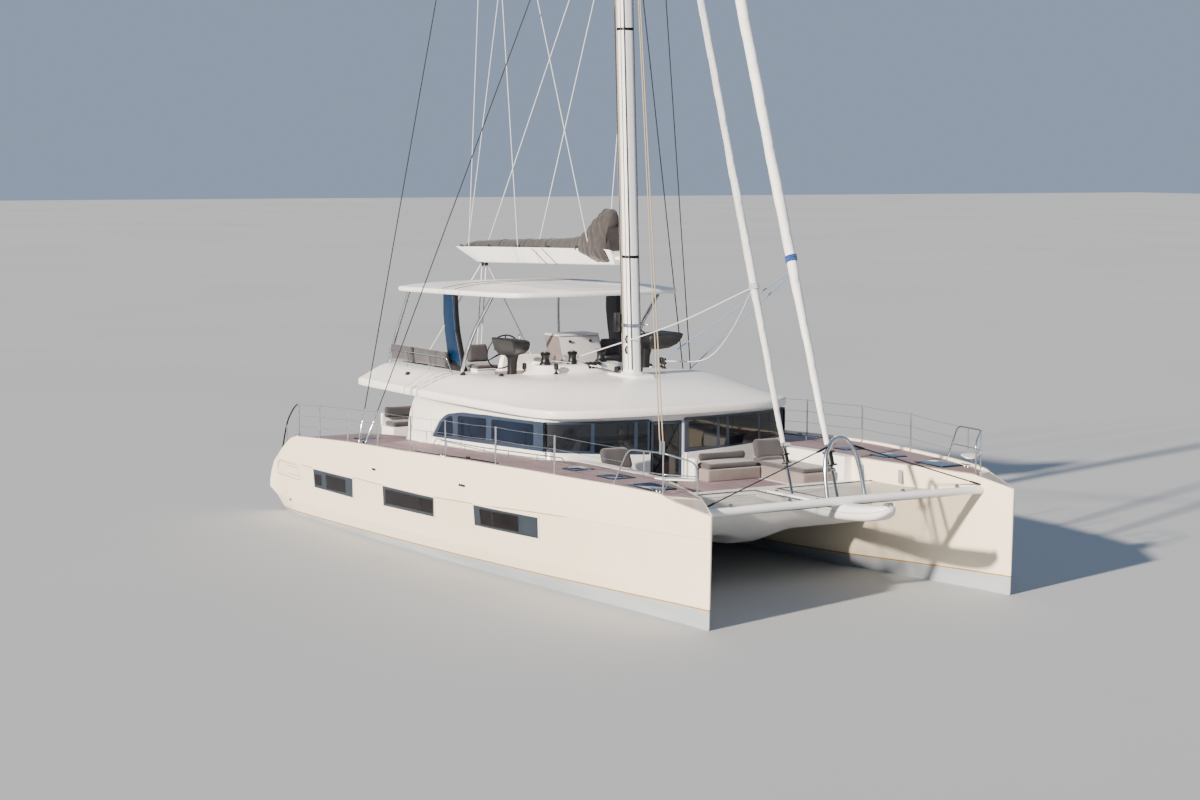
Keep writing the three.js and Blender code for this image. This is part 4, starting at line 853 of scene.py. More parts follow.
BEVEL = 6.4                                    # aft of it the planks' ends are square, forward slanted
across = np.linspace(0, 1, 10)[None, :]
planks = []
for x in (np.linspace(-7.78, BEVEL, 140)[:, None],
          BEVEL + (crease_x(3.3 + 0.8 * across) - 0.06 - BEVEL) * np.linspace(0, 1, 24)[:, None]):
    planks.append(deck_panel(x, inner_margin(x) + (outer_margin(x) - inner_margin(x)) * across))
for (x1, z), x0 in zip(TREADS, (-9.5, -8.88, -8.52, -8.16)):
    planks.append(block(x0 + .03, x1 - .03, 2.98, 4.58, z - .004, z + .006, 0.04, 0.003))
start = crease_x(3.5 + 0.6 * across) + 0.07
x = start + (9.52 - start) * np.linspace(0, 1, 24)[:, None]
edge_in, edge_out = row_at(x, 1), row_at(x, 2)
y = edge_in + 0.05 + (edge_out - edge_in - 0.10) * across
y = np.where(edge_out - edge_in > 0.14, y, (edge_in + edge_out) / 2 + 0.02 * (across - 0.5))
bow_panel = deck_panel(x, y, 0.003, 0.01)

HATCHES = [(4.2, 3.62, .27, .27), (5.7, 3.60, .34, .30), (7.3, 3.72, .50, .30), (-5.6, 3.9, .27, .27)]
hatch_frames, hatch_lights = [], []
for x, y, half_x, half_y in HATCHES:
    level = float(deck_z(np.array(x), np.array(y)))
    hatch_frames.append(block(x - half_x, x + half_x, y - half_y, y + half_y,
                              level - .02, level + .022, .06, .01))
    hatch_lights.append(block(x - half_x + .04, x + half_x - .04, y - half_y + .04, y + half_y - .04,
                              level, level + .028, .05, .006))
for label, shells, finish in (("deck_planks", planks, teak), ("bow_non_slip", bow_panel, non_slip),
                              ("hatch_frames", hatch_frames, black),
                              ("hatch_lights", hatch_lights, acrylic)):
    both(label, shells, finish)
print("deck falls", round(float(deck_z(8.0, 4.2) - deck_z(9.6, 3.85)), 2), "m over the bow")

# %% [markdown]
# Between the hulls lies the bridgedeck: one moulding whose top is the cockpit and saloon sole, a step
# down from the side decks, and whose underside is the tunnel roof with a rounded nacelle down its middle.
# Forward it ends in a blunt nose under the low foredeck. It is lofted like the hull, from rings of half
# sections, and at each end of the forward cockpit two rings share one x so that its walls stand upright.

# %% Bridgedeck
SOLE, TUNNEL, FOREDECK = 1.95, 1.15, 2.06
BRIDGE_AFT, BRIDGE_FORE, COCKPIT_AFT, COCKPIT_FORE = -8.3, 6.0, 2.79, 5.4
NACELLE_HALF = ([-8.3, 0, 4.0, 6.0], [.85, .80, .62, .50])            # x, half breadth of the nacelle
BELLY = ([-8.3, -7.6, -7.0, 4.0, 5.0, 5.6, 6.0], [1.10, .90, .75, .74, .80, 1.0, 1.35])


def bridge_rings():
    """Half sections from the top centre out to the hull, down and back under, then their mirror image."""
    x = np.unique(np.r_[np.linspace(BRIDGE_AFT, -7, 14), np.linspace(-7, 4, 24),
                        np.linspace(4, BRIDGE_FORE, 30), COCKPIT_AFT - 1e-4, COCKPIT_AFT + 1e-4,
                        COCKPIT_FORE - 1e-4, COCKPIT_FORE + 1e-4])
    well = (x > COCKPIT_AFT) & (x < COCKPIT_FORE)
    bow = np.clip((x - 5.85) / 0.15, 0, 1)
    round_off = 0.10 * (1 - np.sqrt(1 - np.minimum(bow, 0.995) ** 2))
    sole = np.where(x > COCKPIT_FORE, FOREDECK - round_off, SOLE)
    coaming = np.where(well, deck_edge(x) - 0.02, sole)
    inner = np.where(well, 2.60, 2.9)
    half = fair(x, *NACELLE_HALF)
    belly = fair(x, *BELLY) + round_off
    roof = np.maximum(TUNNEL, belly + 0.05)
    corners = [(0 * x, sole), (inner - 0.02, sole), (inner, coaming), (2.95 + 0 * x, coaming),
               (2.95 + 0 * x, roof), (half + 0.45, roof), (half, np.maximum(roof - 0.12, belly + 0.02)),
               (half * 0.75, belly), (0 * x, belly)]
    half_ring = np.stack([np.stack([x, y, z], axis=1) for y, z in corners], axis=1)
    radii = np.array([.01, .04, .05, .02, .02, .3, .15, .25, .01])
    mirror = half_ring[:, -2:0:-1] * [1, -1, 1]
    return rounded(np.concatenate([half_ring, mirror], axis=1), np.r_[radii, radii[-2:0:-1]], 5)


piece("bridgedeck_moulding", loft(bridge_rings()), white, slot="white_gelcoat", stands_for="bridgedeck",
      sharp=28)

cockpit_planks = [block(-8.2, -3.95, -2.7, 2.7, SOLE - .01, SOLE + .006, .1, .004),
                  block(COCKPIT_AFT + .06, COCKPIT_FORE - .06, -1.5, 1.5, SOLE - .01, SOLE + .006, .1, .004)]
piece("cockpit_planks", cockpit_planks, teak)
axle_cheeks = [slab([(-7.73, TUNNEL + .02), (-7.68, .86), (-7.52, .86), (-7.47, TUNNEL + .02)],
                    y - .025, y + .025, .004, "xz", .02) for y in (1.6, 1.8, -1.6, -1.8)]
piece("platform_arm_brackets", axle_cheeks, dark_steel)

# %% [markdown]
# The saloon's sides are a moulded white base that follows the deck, a band of glass that wraps round the
# front corners, and at the aft end a swept post that widens into the roof. The walls themselves are the
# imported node. Over them go a thin outer skin for the base, the glass as one curved sheet a side with its
# painted border, and separate panes behind it, because the real border is painted round each pane.

# %% Saloon plan
HOUSE = np.array([(-3.91, 3.10), (-3.82, 3.28), (-3.6, 3.31), (1.60, 3.31), (2.06, 3.21), (2.30, 2.93),
                  (2.50, 2.36), (2.67, 1.58), (2.77, 0.8), (2.80, 0.0)])
PLAN_POINTS = 240
line = even(spline(HOUSE, 12), 0.02)
plan = even(line, np.linalg.norm(np.diff(line, axis=0), axis=1).sum() / (PLAN_POINTS - 1))
plan_run = np.r_[0, np.cumsum(np.linalg.norm(np.diff(plan, axis=0), axis=1))]
plan_normal = np.gradient(plan, axis=0)[:, ::-1] * [-1, 1]
plan_normal /= np.linalg.norm(plan_normal, axis=1, keepdims=True)


def on_house(run, z, lift):
    """Points on the saloon's side: a distance run forward from the aft corner, a height, and a lift."""
    base = np.stack([np.interp(run, plan_run, plan[:, k]) for k in (0, 1)], axis=-1)
    out = np.stack([np.interp(run, plan_run, plan_normal[:, k]) for k in (0, 1)], axis=-1)
    place = base + out * np.broadcast_to(lift, run.shape)[..., None]
    return np.stack([place[..., 0], place[..., 1], z], axis=-1)


def run_at(x=None, y=None):
    """Where along the plan a given x, or on the front a given y, lies."""
    return float(np.interp(x, plan[:, 0], plan_run) if y is None else np.interp(-y, -plan[:, 1], plan_run))


def wrapped_plate(outline, lift, depth, corner):
    """A plate on the saloon's side from an outline of (run, height), split in strips so that it follows
    the plan's curve, its top and bottom edges taken from the outline at each strip."""
    ring = rounded(np.asarray(outline, float), corner, 7)
    r0, r1 = ring[:, 0].min(), ring[:, 0].max()
    run = r0 + (r1 - r0) * 0.5 * (1 - np.cos(np.linspace(0, np.pi, max(12, int((r1 - r0) / 0.08)))))
    turn_low, turn_high = ring[:, 0].argmin(), ring[:, 0].argmax()
    ring = np.roll(ring, -turn_low, axis=0)
    split = (turn_high - turn_low) % len(ring)
    first, second = ring[:split + 1], np.vstack([ring[split:], ring[:1]])[::-1]
    edges = [np.interp(run, half[:, 0], half[:, 1]) for half in (first, second)]
    share = np.linspace(0, 1, 4)
    z = edges[0][:, None] + (edges[1] - edges[0])[:, None] * share
    r = np.broadcast_to(run[:, None], z.shape)
    return shut(on_house(r, z, lift), on_house(r, z, lift - depth))


def pane(outline, corner=0.03):
    """A pane of glass 10 mm thick that stands 4 mm proud of the painted border."""
    return wrapped_plate(outline, 0.014, 0.010, corner)


AFT_POST, CORNER, FRONT_END = run_at(x=-3.15), run_at(x=2.0), plan_run[-1]
BAND_TOP, BAND_BASE = 3.36, 2.56


def base_height(run):
    """Lower edge of the glass: it climbs along the side and levels out round the front."""
    return np.interp(run, [AFT_POST, CORNER, FRONT_END], [2.50, 2.70, 2.56])


side_band = [(AFT_POST - .10, 2.50), (AFT_POST + .32, 2.92), (AFT_POST + .72, 3.13), (AFT_POST + 1.5, 3.24),
             (CORNER + .05, BAND_TOP), (CORNER + .05, 2.70)]
front_end = {"port": run_at(y=0.02), "starboard": run_at(y=0.90)}
side_panes = [[(.16, 2.58), (.44, 2.90), (.78, 3.07), (.98, 3.10), (1.0, 2.62)],
              [(1.26, 2.63), (1.26, 3.13), (2.66, 3.20), (2.66, 2.70)],
              [(2.92, 2.71), (2.92, 3.21), (4.86, 3.28), (4.86, 2.80)]]
apron_run = np.linspace(0.05, FRONT_END, 160)
# Each light's outboard and inboard y
front_lights = {"port": [(2.22, 1.28), (1.20, 1.0), (0.92, 0.12)], "starboard": [(2.22, 1.28), (1.20, 0.96)]}
both("window_border", wrapped_plate(side_band, 0.010, 0.034, 0.12), frame_grey, stands_for="*_side_glass")
both("side_panes", [pane([(AFT_POST + r, z) for r, z in one], 0.06) for one in side_panes], blue_smoked)
for side, flip in SIDES.items():
    stop = front_end[side]
    outline = [(CORNER - .05, 2.70), (CORNER - .05, BAND_TOP), (stop, BAND_TOP), (stop, BAND_BASE)]
    front = wrapped_plate(outline, 0.010, 0.034, 0.02)
    piece(f"{side}_front_window_border", flip(front), frame_grey, stands_for=f"{side}_front_glass")
    a, b = CORNER + .12, run_at(y=2.3)
    shells = [pane([(a, 2.76), (a, 3.31), (b, 3.31), (b, 2.70)])]
    for y0, y1 in front_lights[side]:
        a, b = run_at(y=y0), run_at(y=y1)
        shells.append(pane([(a, 2.66), (a, 3.31), (b, 3.31), (b, 2.66)]))
    piece(f"{side}_saloon_panes", [flip(s) for s in shells], smoked)
    run = apron_run[apron_run < stop + .02]
    along_side = deck_z(plan[np.searchsorted(plan_run, run).clip(0, PLAN_POINTS - 1), 0], 3.4) - .03
    low = np.where(run < run_at(x=2.2), along_side, SOLE - .01)
    share = np.linspace(0, 1, 6)
    z = low[:, None] + (base_height(run) - low)[:, None] * share
    flare = 0.035 * (1 - share) ** 2 * (run < run_at(x=2.3))[:, None]
    run = np.broadcast_to(run[:, None], z.shape)
    base = shut(on_house(run, z, 0.008 + flare), on_house(run, z, -0.02))
    piece(f"{side}_saloon_base", flip(base), white)

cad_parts["saloon_walls"].data.materials.clear()
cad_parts["saloon_walls"].data.materials.append(white)
print("glass band runs", round(FRONT_END - AFT_POST, 2), "m a side")

# %% [markdown]
# Aft of the side windows the wall sweeps up and out into the roof in one hollow surface, with a curved
# trailing edge: it is what the eye reads as the saloon's flank. It is a patch between a lower curve, which
# follows the deck and then the glass's own outline, and an upper one under the roof's edge, with a middle
# curve that pulls it hollow, as a quadratic Bezier in the second direction.

# %% Swept side posts
LOWER = np.array([(-4.56, 2.20), (-4.2, 2.24), (-3.6, 2.34), (-3.30, 2.52), (-2.96, 2.84), (-2.60, 3.06),
                  (-2.2, 3.16), (-1.5, 3.23), (-0.4, 3.29), (0.8, 3.34), (1.7, 3.36)])
UPPER_X = np.array([-3.70, -3.62, -3.5, -3.35, -3.1, -2.75, -2.3, -1.5, -0.4, 0.8, 1.7])
FLARE = np.array([.20, .20, .20, .20, .20, .19, .18, .14, .08, .03, .0])
lower, upper_x, flare = spline(LOWER, 8), spline(UPPER_X[:, None], 8)[:, 0], spline(FLARE[:, None], 8)[:, 0]
low = np.stack([lower[:, 0], 3.322 + 0 * flare, lower[:, 1]], axis=1)
high = np.stack([upper_x, 3.325 + flare, 3.47 + 0 * flare], axis=1)
pull = np.clip((lower[:, 0] + 4.56) / 1.2, 0, 1)[:, None]
middle = np.stack([low[:, 0] * .5 + high[:, 0] * .5, 3.315 + flare * .12,
                   low[:, 2] + (high[:, 2] - low[:, 2]) * .72], axis=1)
middle = middle * pull + np.array([-4.50, 3.34, 3.02]) * (1 - pull)
v = np.linspace(0, 1, 18)[None, :, None]
flank = low[:, None] * (1 - v) ** 2 + middle[:, None] * 2 * v * (1 - v) + high[:, None] * v ** 2
inner_flank = flank.copy()
inner_flank[..., 1] = np.minimum(flank[..., 1] - 0.05, 3.29)
both("swept_post", shut(flank, inner_flank), white)
both("cockpit_post", tube([(-4.0, 3.05, 1.96), (-3.98, 3.05, 3.46)], 0.035), black)
print("post sweeps", round(float(high[0, 0] - low[0, 0]), 2), "m forward from deck to roof")

# %% [markdown]
# Doors: the forward one is hinged and the aft one slides, so each is its own piece on its own body. A
# door leaf is an aluminium frame, four bars with a rounded outer corner, round one pane of glass.

# %% Doors
BAR = 0.07


def leaf(low, high, y0, y1, z0, z1):
    """A door frame between two depths and its pane: a ring of four bars, and a thin plate inside it."""
    outer = rounded(oblong(y0, y1, z0, z1), 0.05)
    inner = grown(outer, -BAR)
    rings = np.stack([lifted(o, h, "yz")
                      for o, h in ((outer, low), (outer, high), (inner, high), (inner, low))])
    mid = (low + high) / 2
    pane_shell = slab(grown(outer, .01 - BAR), mid - .006, mid + .006, .001, "yz")
    return grid(rings, wrap_u=True, wrap_v=True), pane_shell


aluminium = metal("anodised_aluminium", ("b9bdc1", "a6abb0"), 0.4)
ring, light = leaf(2.713, 2.753, -0.862, -0.028, 1.998, 3.294)
piece("forward_door_leaf",
      [ring, turned([(0, 1.96), (.012, 1.96), (.012, 3.36), (0, 3.36)], (2.733, -.848, 0), sides=12)],
      frame_grey, "forward_door", stands_for="forward_door")
piece("forward_door_pane", light, smoked, "forward_door")
ring, light = leaf(-3.895, -3.855, -0.05, 1.794, 1.998, 3.272)
piece("aft_sliding_door_leaf", ring, aluminium, "aft_sliding_door", stands_for="aft_sliding_door")
piece("aft_sliding_door_pane", light, smoked, "aft_sliding_door")
ring, light = leaf(-3.845, -3.805, -1.795, 0.06, 1.995, 3.278)
piece("aft_window_frame", ring, aluminium, stands_for="aft_fixed_window")
piece("aft_window_pane", light, smoked)
door_pull = bent([(-3.90, .08, 2.5), (-3.95, .08, 2.5), (-3.95, .08, 2.9), (-3.90, .08, 2.9)], .03, .012)
piece("aft_door_pull", door_pull, steel, "aft_sliding_door")

# %% [markdown]
# The saloon roof is also the flybridge floor: a broad white moulding with a thick rounded rim, a shallow
# dome rising to a flat crest, and a well cut into the crest for the flybridge. Three plans describe it,
# the rim, the crest and the well, drawn through the same number of matching points. Rings between them
# follow a profile: under the rim, round its edge, up the dome, over the crest and down into the well.

# %% Roof plans
RIM = [(-7.25, 0), (-7.25, 1.2), (-7.25, 2.2), (-7.24, 2.9), (-7.16, 3.32), (-6.9, 3.47), (-5.4, 3.52),
       (-3.6, 3.555), (-1.6, 3.56), (0.2, 3.54), (1.5, 3.47), (2.16, 3.30), (2.52, 2.92), (2.76, 2.2),
       (2.90, 1.1), (2.95, 0)]
CREST = [(-7.10, 0), (-7.10, 1.0), (-7.10, 1.9), (-7.10, 2.3), (-7.02, 2.52), (-6.8, 2.58), (-5.4, 2.62),
         (-3.8, 2.62), (-2.4, 2.56), (-1.2, 2.42), (-0.2, 2.2), (0.45, 1.9), (0.85, 1.5), (1.08, 1.0),
         (1.18, .5), (1.20, 0)]
WELL = [(-6.95, 0), (-6.95, .9), (-6.95, 1.7), (-6.95, 2.0), (-6.90, 2.20), (-6.7, 2.25), (-5.4, 2.25),
        (-3.8, 2.25), (-2.6, 2.25), (-2.1, 2.22), (-1.86, 2.1), (-1.78, 1.85), (-1.75, 1.4), (-1.75, .9),
        (-1.75, .4), (-1.75, 0)]
RIM_LOW, RIM_HIGH, WELL_FLOOR = 3.44, 3.63, 3.62


def whole(half, per=10):
    """A closed plan from its port half: spline through the half and its mirror image."""
    half = np.asarray(half, float)
    return spline(np.vstack([half, half[-2:0:-1] * [1, -1]]), per, closed=True)


def crest_height(x, y):
    """The crest rises forward from 3.98 to 4.10 and is cambered 7 cm across."""
    return fair(x, [-7.3, -5, -2, 0, 1.3], [3.98, 3.99, 4.03, 4.08, 4.04]) + 0.07 * (1 - (y / 2.6) ** 2)


def share(a, b, t):
    """The point a share t of the way from a to b."""
    return a + (b - a) * t


rim, crest, well = whole(RIM), whole(CREST), whole(WELL)
levels = []
for inset, z in ((.10, RIM_LOW - .015), (.04, RIM_LOW - .005), (.012, RIM_LOW + .012), (0, RIM_LOW + .04),
                 (.002, RIM_HIGH - .06), (.012, RIM_HIGH - .025), (.035, RIM_HIGH)):
    levels.append((grown(rim, -inset), np.full(len(rim), z)))
start = grown(rim, -.035)
for t in np.linspace(0.06, 1, 14):
    place = share(start, crest, t)
    rise = np.sin(t * np.pi / 2) ** 1.15                       # steeper at the rim, level at the crest
    levels.append((place, share(RIM_HIGH, crest_height(place[:, 0], place[:, 1]), rise)))
for t in (.3, .6, .9):
    place = share(crest, well, t)
    levels.append((place, crest_height(place[:, 0], place[:, 1])))
lip = crest_height(well[:, 0], well[:, 1])
levels += [(well, lip - .008), (grown(well, -.02), lip - .03)]
levels += [(grown(well, -inset), np.full(len(well), WELL_FLOOR + rise))
           for inset, rise in ((.03, .05), (.06, 0), (.6, 0), (1.2, 0))]
rings = np.stack([lifted(place, z) for place, z in levels])
gate = np.clip((0.72 - np.abs(rings[..., 1])) / 0.04, 0, 1)                     # the way in from the stern
gate = gate * (rings[..., 0] < -6.6) * (rings[..., 2] > WELL_FLOOR)
rings[..., 2] = share(rings[..., 2], np.minimum(rings[..., 2], WELL_FLOOR + .01), gate)
underside = lifted(grown(rim, -.10), RIM_LOW - .015)
roof_shell = joined([grid(rings, wrap_v=True), cap(rings[-1]), cap(underside)])
MAST_X, MAST_Z = 0.56, 4.19
pad = [(-.10, .47, 4.03), (-.02, .41, 4.11), (0, .38, 4.17), (.012, .365, 4.185), (.05, .33, 4.188)]
pad_plans = [[(.02 + d, -h), (1.14 - d, -h * .8), (1.14 - d, h * .8), (.02 + d, h)] for d, h, _ in pad]
pad_rings = np.stack([lifted(rounded(plan, .1), z) for plan, (_, _, z) in zip(pad_plans, pad)])
piece("roof_moulding", [roof_shell, loft(pad_rings)], white, slot="white_gelcoat",
      stands_for="flybridge_deck", sharp=28)
piece("flybridge_planks",
      [block(-6.85, -1.95, -1.45, 1.45, WELL_FLOOR - .005, WELL_FLOOR + .008, .12, .004)], teak)


def roof_z(x, y):
    """Height of the dome at a point: its share of the way from rim to crest, put through the profile."""
    angle_share = np.linspace(0, 1, 41)[:, None, None]
    path = share(start, crest, angle_share)
    nearest = np.linalg.norm(path - np.array([x, y]), axis=2)
    k = np.unravel_index(nearest.argmin(), nearest.shape)
    t = k[0] / 40
    if t == 1:
        return float(crest_height(x, y))
    return float(share(RIM_HIGH, crest_height(*path[k]), math.sin(t * math.pi / 2) ** 1.15))


seams = []
for offset in (0.16, 0.44):
    line = [np.array([-3.55 + offset - .45 * t, -(2.66 + (3.52 - 2.66) * t)]) for t in np.linspace(0, 1, 14)]
    path = [(x, y, roof_z(x, y) + .006) for x, y in line]
    path += [(line[-1][0], -3.56, 3.60), (line[-1][0] + .01, -3.565, 3.47)]
    seams += [tube(path, .009, 6), mirrored(tube(path, .009, 6))]
piece("roof_mould_seams", seams, seam_dark)
print("roof crest", round(roof_z(0.3, 0.0), 2), "rim", RIM_HIGH)

# %% [markdown]
# The hardtop is a thin, slightly cambered wing: a crisp edge, a shallow dish in its top,
# and two drain seams across it. On each side it stands on a black blade with a navy outer skin
# and two polished tubes. Its edge height rises 2 cm a metre towards the bow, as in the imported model.

# %% Hardtop
TOP_PLAN = [(-7.0, 0), (-7.0, 1.1), (-7.0, 2.0), (-6.97, 2.28), (-6.82, 2.40), (-6.0, 2.44), (-4.0, 2.48),
            (-2.2, 2.45), (-1.4, 2.40), (-1.05, 2.28), (-.88, 2.0), (-.77, 1.2), (-.73, .6), (-.72, 0)]
top_plan = whole(TOP_PLAN)
TOP_LEVELS = [(1.0, -.10, 5.885), (.97, -.03, 5.872), (1, -.006, 5.90), (1, 0, 5.93), (1, -.006, 5.965),
              (1, -.03, 5.99), (.9, 0, 6.045), (.84, 0, 6.07), (.78, 0, 6.09), (.71, 0, 6.109),
              (.64, 0, 6.125), (.57, 0, 6.138), (.50, 0, 6.148), (.43, 0, 6.154), (.36, 0, 6.158),
              (.27, 0, 6.161), (.18, 0, 6.162)]
middle = np.array([-3.87, 0.0])
rings = []
for k, (scale, inset, z) in enumerate(TOP_LEVELS):
    plan_k = grown(top_plan, inset) if k < 6 else middle + (grown(top_plan, -.03) - middle) * scale
    rings.append(lifted(plan_k, z + (plan_k[:, 0] + 4.0) * 0.02))
rings = np.stack(rings)
dish = np.exp(-(((rings[..., 0] + 2.9) / 1.5) ** 6) - (rings[..., 1] / 1.25) ** 6) * (rings[..., 2] > 6.05)
rings[..., 2] -= 0.08 * dish
piece("hardtop_moulding", loft(rings), white, slot="white_gelcoat",
      stands_for="hardtop", sharp=30)


def top_z(x, y):
    """Height of the hardtop's upper side: the level whose scaled plan passes through the point."""
    reach = np.linalg.norm(np.array([x, y]) - middle)
    angle = np.arctan2(y - middle[1], x - middle[0])
    around = np.arctan2(top_plan[:, 1] - middle[1], top_plan[:, 0] - middle[0])
    edge = np.linalg.norm(top_plan - middle, axis=1)
    order = np.argsort(around)
    scale = reach / np.interp(angle, around[order], edge[order], period=2 * np.pi)
    scales, heights = zip(*[(s, z) for s, _, z in TOP_LEVELS[5:]][::-1])
    return float(np.interp(scale, scales, heights)) + (x + 4.0) * 0.02


seams = []
for x in (-4.30, -3.65):
    path = [(x - .12 * (abs(y) / 2.3) ** 2, y, top_z(x, y) + .002) for y in np.linspace(-2.40, 2.40, 40)]
    path = [(x - .12, -2.482, 5.905), (x - .12, -2.476, 5.95), *path, (x - .12, 2.476, 5.95),
            (x - .12, 2.482, 5.905)]
    seams.append(tube(path, .008, 6))
piece("hardtop_drain_seams", seams, seam_dark)

BLADE_AFT = [(-4.37, 5.86), (-4.37, 5.38), (-4.295, 4.96), (-4.22, 4.68), (-4.13, 4.33)]
BLADE_FORE = [(-3.42, 4.13), (-3.515, 4.42), (-3.63, 4.70), (-3.735, 4.98), (-3.81, 5.38), (-3.88, 5.86)]
skin_line = np.array(BLADE_AFT + BLADE_FORE)
core_line = np.array([(-4.36, 5.97)] + BLADE_AFT[1:] + [(-4.13, 3.95), (-3.28, 3.95)] + BLADE_FORE[:-1]
                     + [(-3.87, 5.97)])
outer_skin = slab(skin_line, 2.385, 2.418, .010, "xz", .02)
core = slab(core_line, 2.270, 2.388, .010, "xz", .012)
FORWARD_STRUT = [(-3.36, 2.44, 4.0), (-3.18, 2.41, 4.47), (-3.0, 2.40, 4.76), (-2.74, 2.38, 5.13),
                 (-2.47, 2.37, 5.40), (-1.96, 2.36, 5.92)]
struts = [tube(spline([(-7.20, 2.5, 3.94), (-7.02, 2.42, 4.6), (-6.80, 2.28, 5.35), (-6.60, 2.2, 5.90)], 6),
               .042, 14),
          tube(spline(FORWARD_STRUT, 6), .045, 16)]
feet = [turned([(0, 0), (.085, 0), (.085, .012), (.05, .03), (0, .03)], (x, y, z), sides=20)
        for x, y, z in ((-7.20, 2.5, 3.93), (-3.36, 2.44, 3.99))]
both("blade_outer", outer_skin, navy, slot="navy_gelcoat", stands_for="*_hardtop_blade")
both("blade_core", core, black)
both("hardtop_tubes", struts + feet, steel, stands_for=["*_hardtop_aft_strut", "*_hardtop_forward_strut"])
print("hardtop edge", TOP_LEVELS[3][2], "to crown", round(top_z(-3.9, 0), 2))

# %% [markdown]
# Each helm is a black moulded console: a narrow pedestal that opens into a broad flat wing with the dash on
# its aft side. The wing is drawn in plan at six heights. From its belly up it spreads forward and outboard
# to a sharp brow, whose outer corner reaches furthest, and the aft edges of all plans lie in the dash.

# %% Helm consoles
WING = [  # height; inboard, outboard y; forward x at the inboard and at the outboard corner
    (4.52, 1.82, 2.12, -1.64, -1.50), (4.58, 1.74, 2.20, -1.44, -1.18), (4.68, 1.69, 2.30, -1.34, -.98),
    (4.80, 1.67, 2.37, -1.31, -.89), (4.885, 1.68, 2.41, -1.31, -.88), (4.915, 1.72, 2.38, -1.38, -.97)]


def console_wing():
    """Plans lofted upwards: each is a four-cornered outline with rounded corners, its brow tilted so that
    it rises 5 cm towards the outboard end."""
    rings = []
    for z, y_in, y_out, x_in, x_out in WING:
        aft = -2.06 + (z - 4.46) * .295
        plan = rounded(np.array([(aft, y_in), (x_in, y_in), (x_out, y_out), (aft, y_out)]),
                       [.03, .06, .08, .04], 5)
        tilt = np.clip((plan[:, 1] - 1.9) / .5, -1, 1) * np.clip((z - 4.6) / .3, 0, 1)
        rings.append(lifted(plan, z + .05 * tilt))
    return loft(np.stack(rings))


pedestal_levels = [(0, -1.86, .15, .15), (.03, -1.86, .14, .14), (.30, -1.86, .10, .10),
                   (.72, -1.84, .10, .10), (.98, -1.80, .14, .12)]
pedestal = loft(np.stack([lifted(rounded(oblong(x - a, x + a, 1.88 - b, 1.88 + b), .06), WELL_FLOOR + h)
                          for h, x, a, b in pedestal_levels]))
wheel_arm = tube([(-2.22, 1.85, 4.518), (-2.10, 1.85, 4.479), (-1.98, 1.86, 4.45), (-1.84, 1.88, 4.42)],
                 np.array([.042, .05, .06, .08]), 18)


def on_dash(u, v, lift=0.0):
    """A point on the dash, the sloping aft face: u across the boat, v up the slope from its lower edge."""
    tilt = math.atan2(.11, .30)
    sine, cosine = math.sin(tilt), math.cos(tilt)
    return np.array([-2.035 + v * sine - lift * cosine, u, 4.585 + v * cosine + lift * sine])


def dash_plate(u0, u1, v0, v1, depth):
    """A small plate on the dash with rounded corners."""
    outline = rounded(oblong(u0, u1, v0, v1), .015, 4)
    return loft(np.stack([np.array([on_dash(u, v, level) for u, v in grown(outline, inset)])
                          for level, inset in ((-.02, 0), (depth - .004, 0), (depth, -.004))]))


screens = [dash_plate(1.74, 1.99, .06, .27, .012), dash_plate(2.03, 2.28, .06, .27, .012)]
throttle = [block(-1.90, -1.76, 1.62, 1.72, 4.66, 4.82, .03, .012),
            bent([(-1.83, 1.66, 4.80), (-1.85, 1.66, 4.95), (-1.89, 1.66, 4.99)], .03, .012),
            tube([(-1.89, 1.63, 4.99), (-1.89, 1.70, 4.99)], .02)]
both("helm_console_wing", [console_wing(), pedestal, wheel_arm], black, stands_for="*_helm_console",
     sharp=40)
both("helm_screens", screens, smoked)
piece("starboard_throttle", [mirrored(s) for s in throttle], steel)

# %% [markdown]
# The wheels are carbon: a slim round rim and three flat spokes that taper outwards from a metal hub. The
# wheel's plane leans back 18 degrees. Everything is laid out on three axes of the wheel, its shaft and two
# square to it, which are the joint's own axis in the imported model.

# %% Wheels
WHEEL, TILT, WHEEL_RADIUS = np.array([-2.35, 1.85, 4.56]), math.radians(18), 0.43
shaft = np.array([math.cos(TILT), 0, -math.sin(TILT)])
side_on, upright = np.array([0.0, 1, 0]), np.array([math.sin(TILT), 0, math.cos(TILT)])


def on_wheel(radius, turn, along):
    """A point of the wheel by radius, angle round the shaft and distance along it."""
    radius, turn, along = np.broadcast_arrays(radius, turn, along)
    return (WHEEL
            + radius[..., None] * (side_on * np.cos(turn)[..., None] + upright * np.sin(turn)[..., None])
            + along[..., None] * shaft)


around, section = np.meshgrid(circle(72), circle(12), indexing="ij")
rim_points = on_wheel(WHEEL_RADIUS + .018 * np.cos(section), around, .018 * np.sin(section))
rim_shell = grid(rim_points, wrap_u=True, wrap_v=True)
reach, section = np.meshgrid(np.linspace(.03, WHEEL_RADIUS - .005, 14), circle(12), indexing="ij")
sideways = (.034 - .02 * reach / WHEEL_RADIUS) * np.cos(section)
dished = .02 * (1 - reach / WHEEL_RADIUS) ** 2 + .008 * np.sin(section)
spokes = [grid(on_wheel(np.hypot(reach, sideways), turn + np.arctan2(sideways, reach), dished), wrap_v=True)
          for turn in np.radians([90, 210, 330])]
hub_radius = np.array([0, .03, .052, .055, .05, .022, .020, .020, 0])[:, None]
hub_along = np.array([-.02, -.02, -.012, 0, .03, .035, .05, .36, .36])[:, None]
hub = loft(on_wheel(hub_radius, circle(24)[None, :], hub_along))
both("wheel_rim", [rim_shell] + spokes, black, "*_helm_wheel", stands_for="*_helm_wheel")
both("wheel_hub", hub, steel, "*_helm_wheel")
print("wheels", 2 * WHEEL_RADIUS, "m across")
